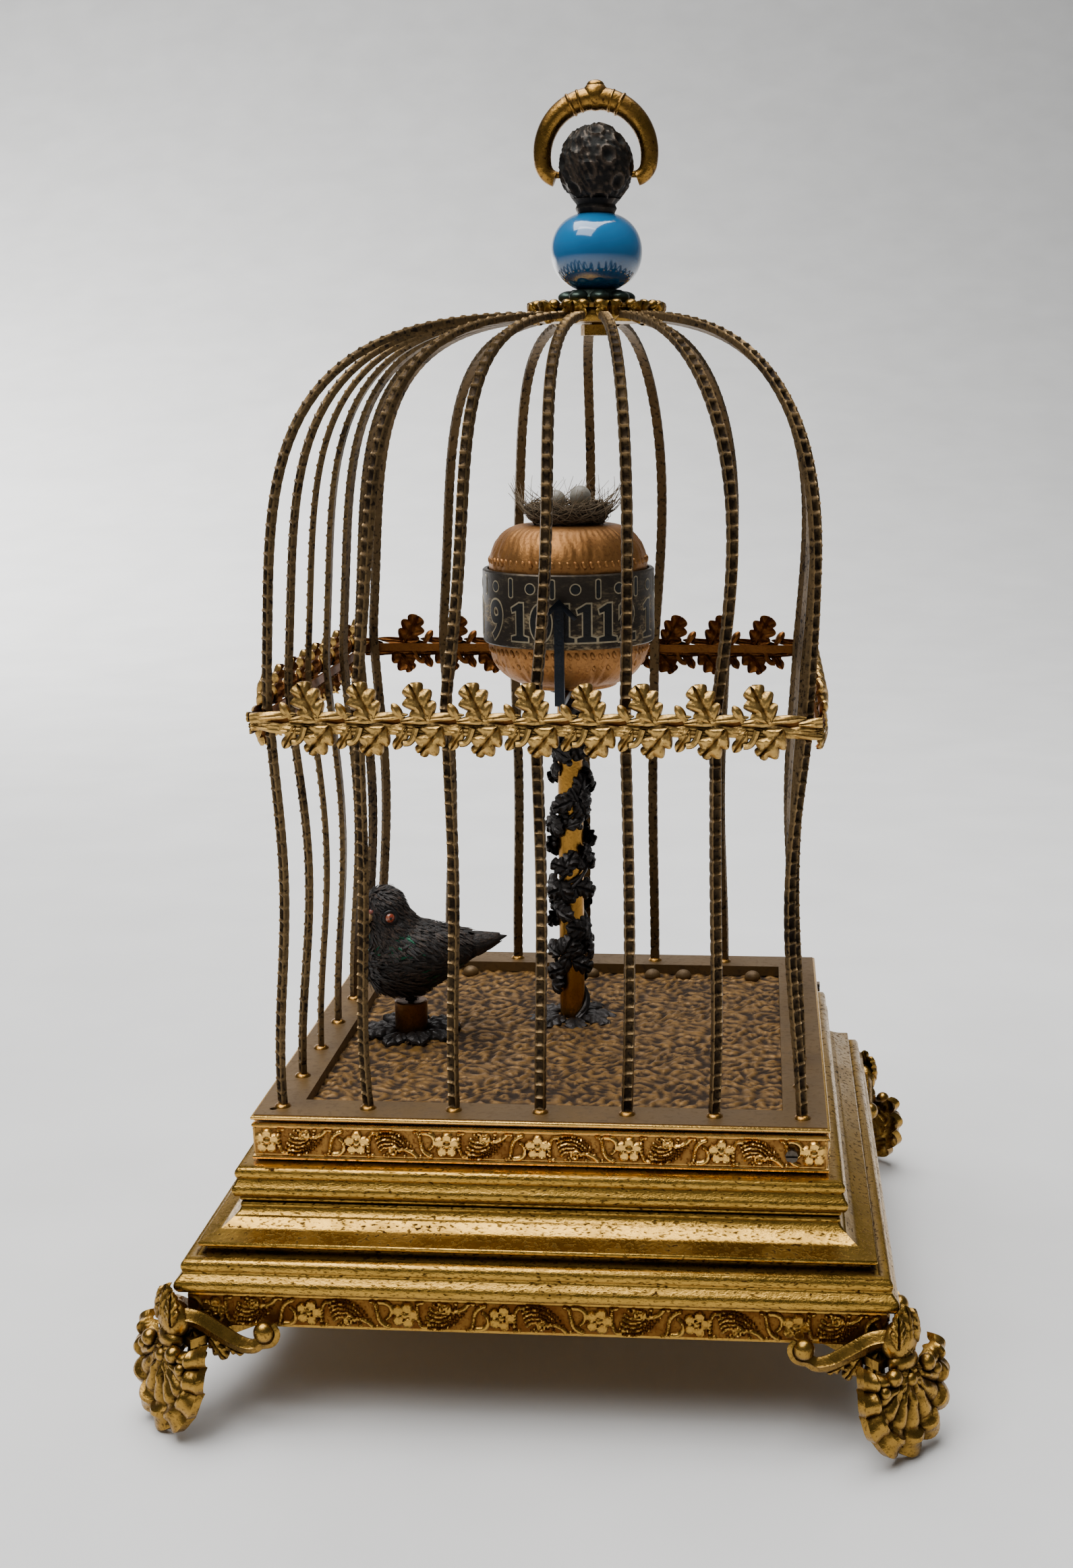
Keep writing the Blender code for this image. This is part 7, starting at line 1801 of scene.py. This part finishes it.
        added = self.coat(work, skin, self.feathers, covered, flow)
        tones += added[0]
        sheens += added[1]
        quill = leaf(0.0074, 0.0014, 2.0, bulge=0.16, curl=0.04, notch=0.05, thickness=0.0002, grain=(6, 12))
        for sign in (-1, 1):
            for index in range(7):
                height = self.middle_z + 0.0028 - 0.0008 * index
                reach = 0.0049 - 0.00012 * index
                at = Vector((-0.0012 + 0.0004 * index, sign * reach, height))
                slope = Matrix.Rotation(math.radians(-8 - 2 * index), 4, "Y")
                turn = Matrix.Rotation(-sign * math.radians(19), 4, "Z") @ slope
                lie = Matrix.Rotation(-sign * math.pi / 2, 4, "X")
                before = len(work.verts)
                stamp(work, quill, Matrix.Translation(at) @ turn @ lie @ Matrix.Rotation(-math.pi / 2, 4, "Z"))
                tones += [0.25 + 0.08 * index] * (len(work.verts) - before)
                sheens += [0.0] * (len(work.verts) - before)
        bpy.data.meshes.remove(quill)
        bmesh.ops.transform(work, matrix=self.frame(), verts=work.verts)
        made = self.keep("feathered_bird", work, FeatherFinish(), Slot.FEATHER, ["bird_body"], angle=180)
        set_tone(made.data, tones)
        set_tone(made.data, sheens, "sheen")
        bpy.data.meshes.remove(skin)

    def eyes(self) -> None:
        """Glass eyes with dark rings."""
        rings = bmesh.new()
        head = self.frame() @ self.head()
        for name, own in self.eye_spots().items():
            spot = self.frame() @ own
            out = (spot - head).normalized()
            work = bmesh.new()
            blob(work, spot + out * 0.0003, (0.00078, 0.00078, 0.00078), None, (28, 18))
            self.keep("glass_" + name, work, EyeFinish(), Slot.EYE, [name])
            blob(rings, spot + out * 0.00083, (0.00030, 0.00030, 0.00030))
            side = out.cross(Vector((0, 0, 1)))
            centre = spot + out * 0.00055
            for radius, stock in ((0.00088, 0.00028), (0.00125, 0.00022)):
                back = centre - out * (radius - 0.0008)
                ring = [back + side * (radius * x) + Vector((0, 0, radius * y)) for x, y in disc(28)]
                sweep(rings, disc(8), rail(ring, out, [(stock, stock)] * 28), closed=True)
        self.keep("eye_rings", rings, EYE_RING, Slot.FEATHER)

    def beak(self) -> None:
        """Upper beak that hooks down, the lower one, and a pink spot at its root."""
        head = self.frame() @ self.head()
        ahead = (Matrix.Rotation(self.yaw + self.head_turn, 3, "Z") @ Vector((-1, 0, 0))).normalized()
        side = ahead.cross(Vector((0, 0, 1)))
        up = Vector((0, 0, 1))

        def bend(shares: Sequence[Point]) -> list[Vector]:
            """Smooth line through places ahead of and above the middle of the head, in millimetres."""
            return smooth_path([head + ahead * (x * MM) + up * (z * MM) for x, z in shares], 5)

        path = bend(((2.2, 0.0), (3.2, 0.0), (4.0, -0.8), (4.4, -2.0), (4.2, -3.3)))
        shares = np.linspace(0.0, 1.0, len(path))
        sizes = [(0.00122 * (1 - 0.85 * s**1.4), 0.00115 * (1 - 0.82 * s)) for s in shares]
        work = bmesh.new()
        sweep(work, disc(18), rail(path, side, sizes))
        self.keep("upper_beak", work, HORN, Slot.HORN, ["bird_upper_beak"])
        lower = bend(((2.4, -1.2), (3.0, -1.7), (3.4, -2.7)))
        shares = np.linspace(0.0, 1.0, len(lower))
        work = bmesh.new()
        sweep(work, disc(16), rail(lower, side, [(0.00085 * (1 - 0.75 * s), 0.00058 * (1 - 0.7 * s)) for s in shares]))
        self.keep("lower_beak", work, HORN, Slot.HORN, ["bird_lower_beak"], body=Body.BEAK)
        work = bmesh.new()
        for sign in (-1, 1):
            blob(work, head + side * (0.0007 * sign) + ahead * 0.0031 + up * 0.0008, (0.00045, 0.00045, 0.0004))
        self.keep("pink_cere", work, PINK, Slot.HORN)

    def tail(self) -> None:
        """Pointed tail of long feathers."""
        skin = bmesh.new()
        bmesh.ops.create_cone(skin, cap_ends=True, segments=20, radius1=1.0, radius2=0.04, depth=1.0)
        bmesh.ops.subdivide_edges(skin, edges=skin.edges, cuts=5, use_grid_fill=True)
        bmesh.ops.translate(skin, vec=(0, 0, 0.5), verts=skin.verts)
        bmesh.ops.scale(skin, vec=(0.0020, 0.0020, 0.0054), verts=skin.verts)
        pitch = Matrix.Rotation(math.pi / 2 - math.radians(12), 4, "Y")
        rump = Vector((0.0091, 0.0, self.middle_z + 0.00184))
        bmesh.ops.transform(skin, matrix=Matrix.Translation(rump) @ pitch, verts=skin.verts)
        mesh = baked(skin, "tail")
        work = bmesh.new()
        work.from_mesh(mesh)
        tones, sheens = [0.1] * len(work.verts), [0.0] * len(work.verts)
        added = self.coat(work, mesh, 900, lambda spot: spot.x < 0.0118, lambda spot: Vector((1.0, 0.0, 0.2)), 0.05)
        bmesh.ops.transform(work, matrix=self.frame(), verts=work.verts)
        made = self.keep("feathered_tail", work, FeatherFinish(), Slot.FEATHER, ["bird_tail"], Body.TAIL, 180)
        set_tone(made.data, tones + added[0])
        set_tone(made.data, sheens + added[1], "sheen")
        bpy.data.meshes.remove(mesh)

    def build(self) -> None:
        """Make all pieces."""
        self.plumage()
        self.eyes()
        self.beak()
        self.tail()


@dataclass
class Bellows(Assembly):
    """Pleated leather under the board of the whistle's bellows."""

    folds: int = 5
    tuck: float = 0.0009
    roundness: float = 0.3

    def build(self) -> None:
        """Make the pleated folds of the leather."""
        low, high = (Vector(corner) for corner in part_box("bellows_leather"))
        middle, half, steps = (low + high) / 2, (high - low) / 2, 4 * self.folds
        outline = [[math.copysign(abs(value) ** self.roundness, value) for value in point] for point in disc(40)]
        places = []
        for index in range(steps + 1):
            inset = self.tuck * (1 - math.cos(math.tau * index / 4)) / 2
            spot = Matrix.Translation((middle.x, middle.y, low.z + (high.z - low.z) * index / steps))
            places.append(spot @ Matrix.Diagonal((half.x - inset, half.y - inset, 1, 1)))
        work = bmesh.new()
        sweep(work, outline, places)
        made = self.dress("pleated_bellows", work, LEATHER, Slot.LEATHER, ["bellows_leather"], 25.0)
        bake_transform(made)


@dataclass
class CarriedOver:
    """Nodes of the model whose shapes are right and that only get a finish."""

    def build(self) -> None:
        """Dress each node that still shows."""
        finishes = {
            DUSTY: ["rim_plate"],
            FLOOR: ["floor_plate"],
            STAMPED: ["upper_frieze"],
            COPPERY: ["lower_frieze"],
            CAST_GILT: ["bottom_plate", "crown_spindle", "dial_arbor"],
            STEEL: ["case_screw_front", "case_screw_right", "bird_rod"],
            CLOCK_BRASS: ["movement_lower_plate", "movement_upper_plate", "mainspring_barrel", "hour_wheel",
                          "third_wheel", "cam_wheel", "balance_wheel", "whistle_tube", "set_knob"],
            CLOCK_STEEL: ["escape_wheel", "winding_key", "whistle_piston"],
            WOOD: ["bellows_board"],
        }
        for finish, nodes in finishes.items():
            for name in nodes:
                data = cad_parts[name].data
                data.materials.clear()
                data.materials.append(finish.material())
                LOG.info("%s: %s", name, finish.name)


@dataclass
class Studio:
    """Camera, soft lights and a plain pale table."""

    yaw: float = math.radians(4.23)
    pitch: float = math.radians(11.80)
    roll: float = math.radians(-0.25)
    spot: Colour = (0.02755, -0.26798, 0.13159)
    focal: float = 2851.16
    image: tuple[int, int] = (1591, 2324)
    offset: float = 120.0

    def camera(self) -> None:
        """Camera at the photographed view."""
        flat = math.cos(self.pitch)
        ahead = Vector((-math.sin(self.yaw) * flat, math.cos(self.yaw) * flat, -math.sin(self.pitch)))
        right = Vector((math.cos(self.yaw), math.sin(self.yaw), 0.0))
        up = right.cross(ahead)
        level = math.cos(self.roll) * right + math.sin(self.roll) * up
        lift = -math.sin(self.roll) * right + math.cos(self.roll) * up
        data = bpy.data.cameras.new("view")
        data.lens = self.focal / self.image[1] * data.sensor_width
        data.shift_x = -self.offset / self.image[1]
        data.clip_start = 0.01
        made = bpy.data.objects.new("view", data)
        made.matrix_world = Matrix.Translation(self.spot) @ Matrix((level, lift, -ahead)).transposed().to_4x4()
        bpy.context.scene.collection.objects.link(made)
        bpy.context.scene.camera = made

    def light(self, name: str, spot: Colour, size: Point, power: float, target: Colour = (0.0, 0.0, 0.07)) -> None:
        """Soft light.

        Args:
            name: the light's name.
            spot: where it stands.
            size: its width and height.
            power: its power in watts.
            target: place that it faces, if not the object's middle.
        """
        data = bpy.data.lights.new(name, "AREA")
        data.shape, data.size, data.size_y, data.energy = "RECTANGLE", size[0], size[1], power
        made = bpy.data.objects.new(name, data)
        aim = Vector(target) - Vector(spot)
        made.matrix_world = Matrix.Translation(spot) @ aim.to_track_quat("-Z", "Y").to_matrix().to_4x4()
        bpy.context.scene.collection.objects.link(made)

    def table(self) -> None:
        """Pale floor that curves up behind the object."""
        work = bmesh.new()
        profile = [(-1.2, 0.0), (0.5, 0.0)] + arc((0.5, 1.6), 1.6, -90, 0, 48)[1:] + [(2.1, 2.6)]
        edge = [work.verts.new((-1.6, y, z - 0.00002)) for y, z in profile]
        edges = [work.edges.new(pair) for pair in zip(edge, edge[1:])]
        made = bmesh.ops.extrude_edge_only(work, edges=edges)["geom"]
        bmesh.ops.translate(work, vec=(3.2, 0, 0), verts=[v for v in made if isinstance(v, bmesh.types.BMVert)])
        bmesh.ops.recalc_face_normals(work, faces=work.faces)
        mesh = baked(work, "table")
        if mesh.polygons[0].normal.z < 0:
            mesh.flip_normals()
        mesh.shade_smooth()
        mesh.materials.append(StageFinish().material())
        floor = bpy.data.objects.new("table", mesh)
        bpy.context.scene.collection.objects.link(floor)

    def build(self) -> None:
        """Set the stage."""
        self.camera()
        self.table()
        self.light("top", (-0.10, 0.05, 0.75), (0.7, 0.6), 10.5)
        self.light("front", (-0.30, -0.45, 0.85), (0.6, 0.4), 4.0)
        self.light("backdrop", (-0.8, 0.6, 0.45), (0.8, 0.4), 22.0, (-0.2, 1.7, 0.0))
        world = bpy.data.worlds.new("room")
        world.use_nodes = True
        backdrop = world.node_tree.nodes["Background"].inputs
        backdrop["Color"].default_value = (0.80, 0.84, 0.87, 1.0)
        backdrop["Strength"].default_value = 0.12
        bpy.context.scene.world = world


def main() -> None:
    """Build the whole object and its stage."""
    logging.basicConfig(level=logging.INFO, format="%(message)s")
    for part in (Studio(), Base(), Feet(), Bars(), Belt(), Crown(), Globe(), Post(), Perch(), Bird(), Bellows(),
                 CarriedOver()):
        part.build()
        LOG.info("%s done", type(part).__name__)


if __name__ == "__main__":
    main()
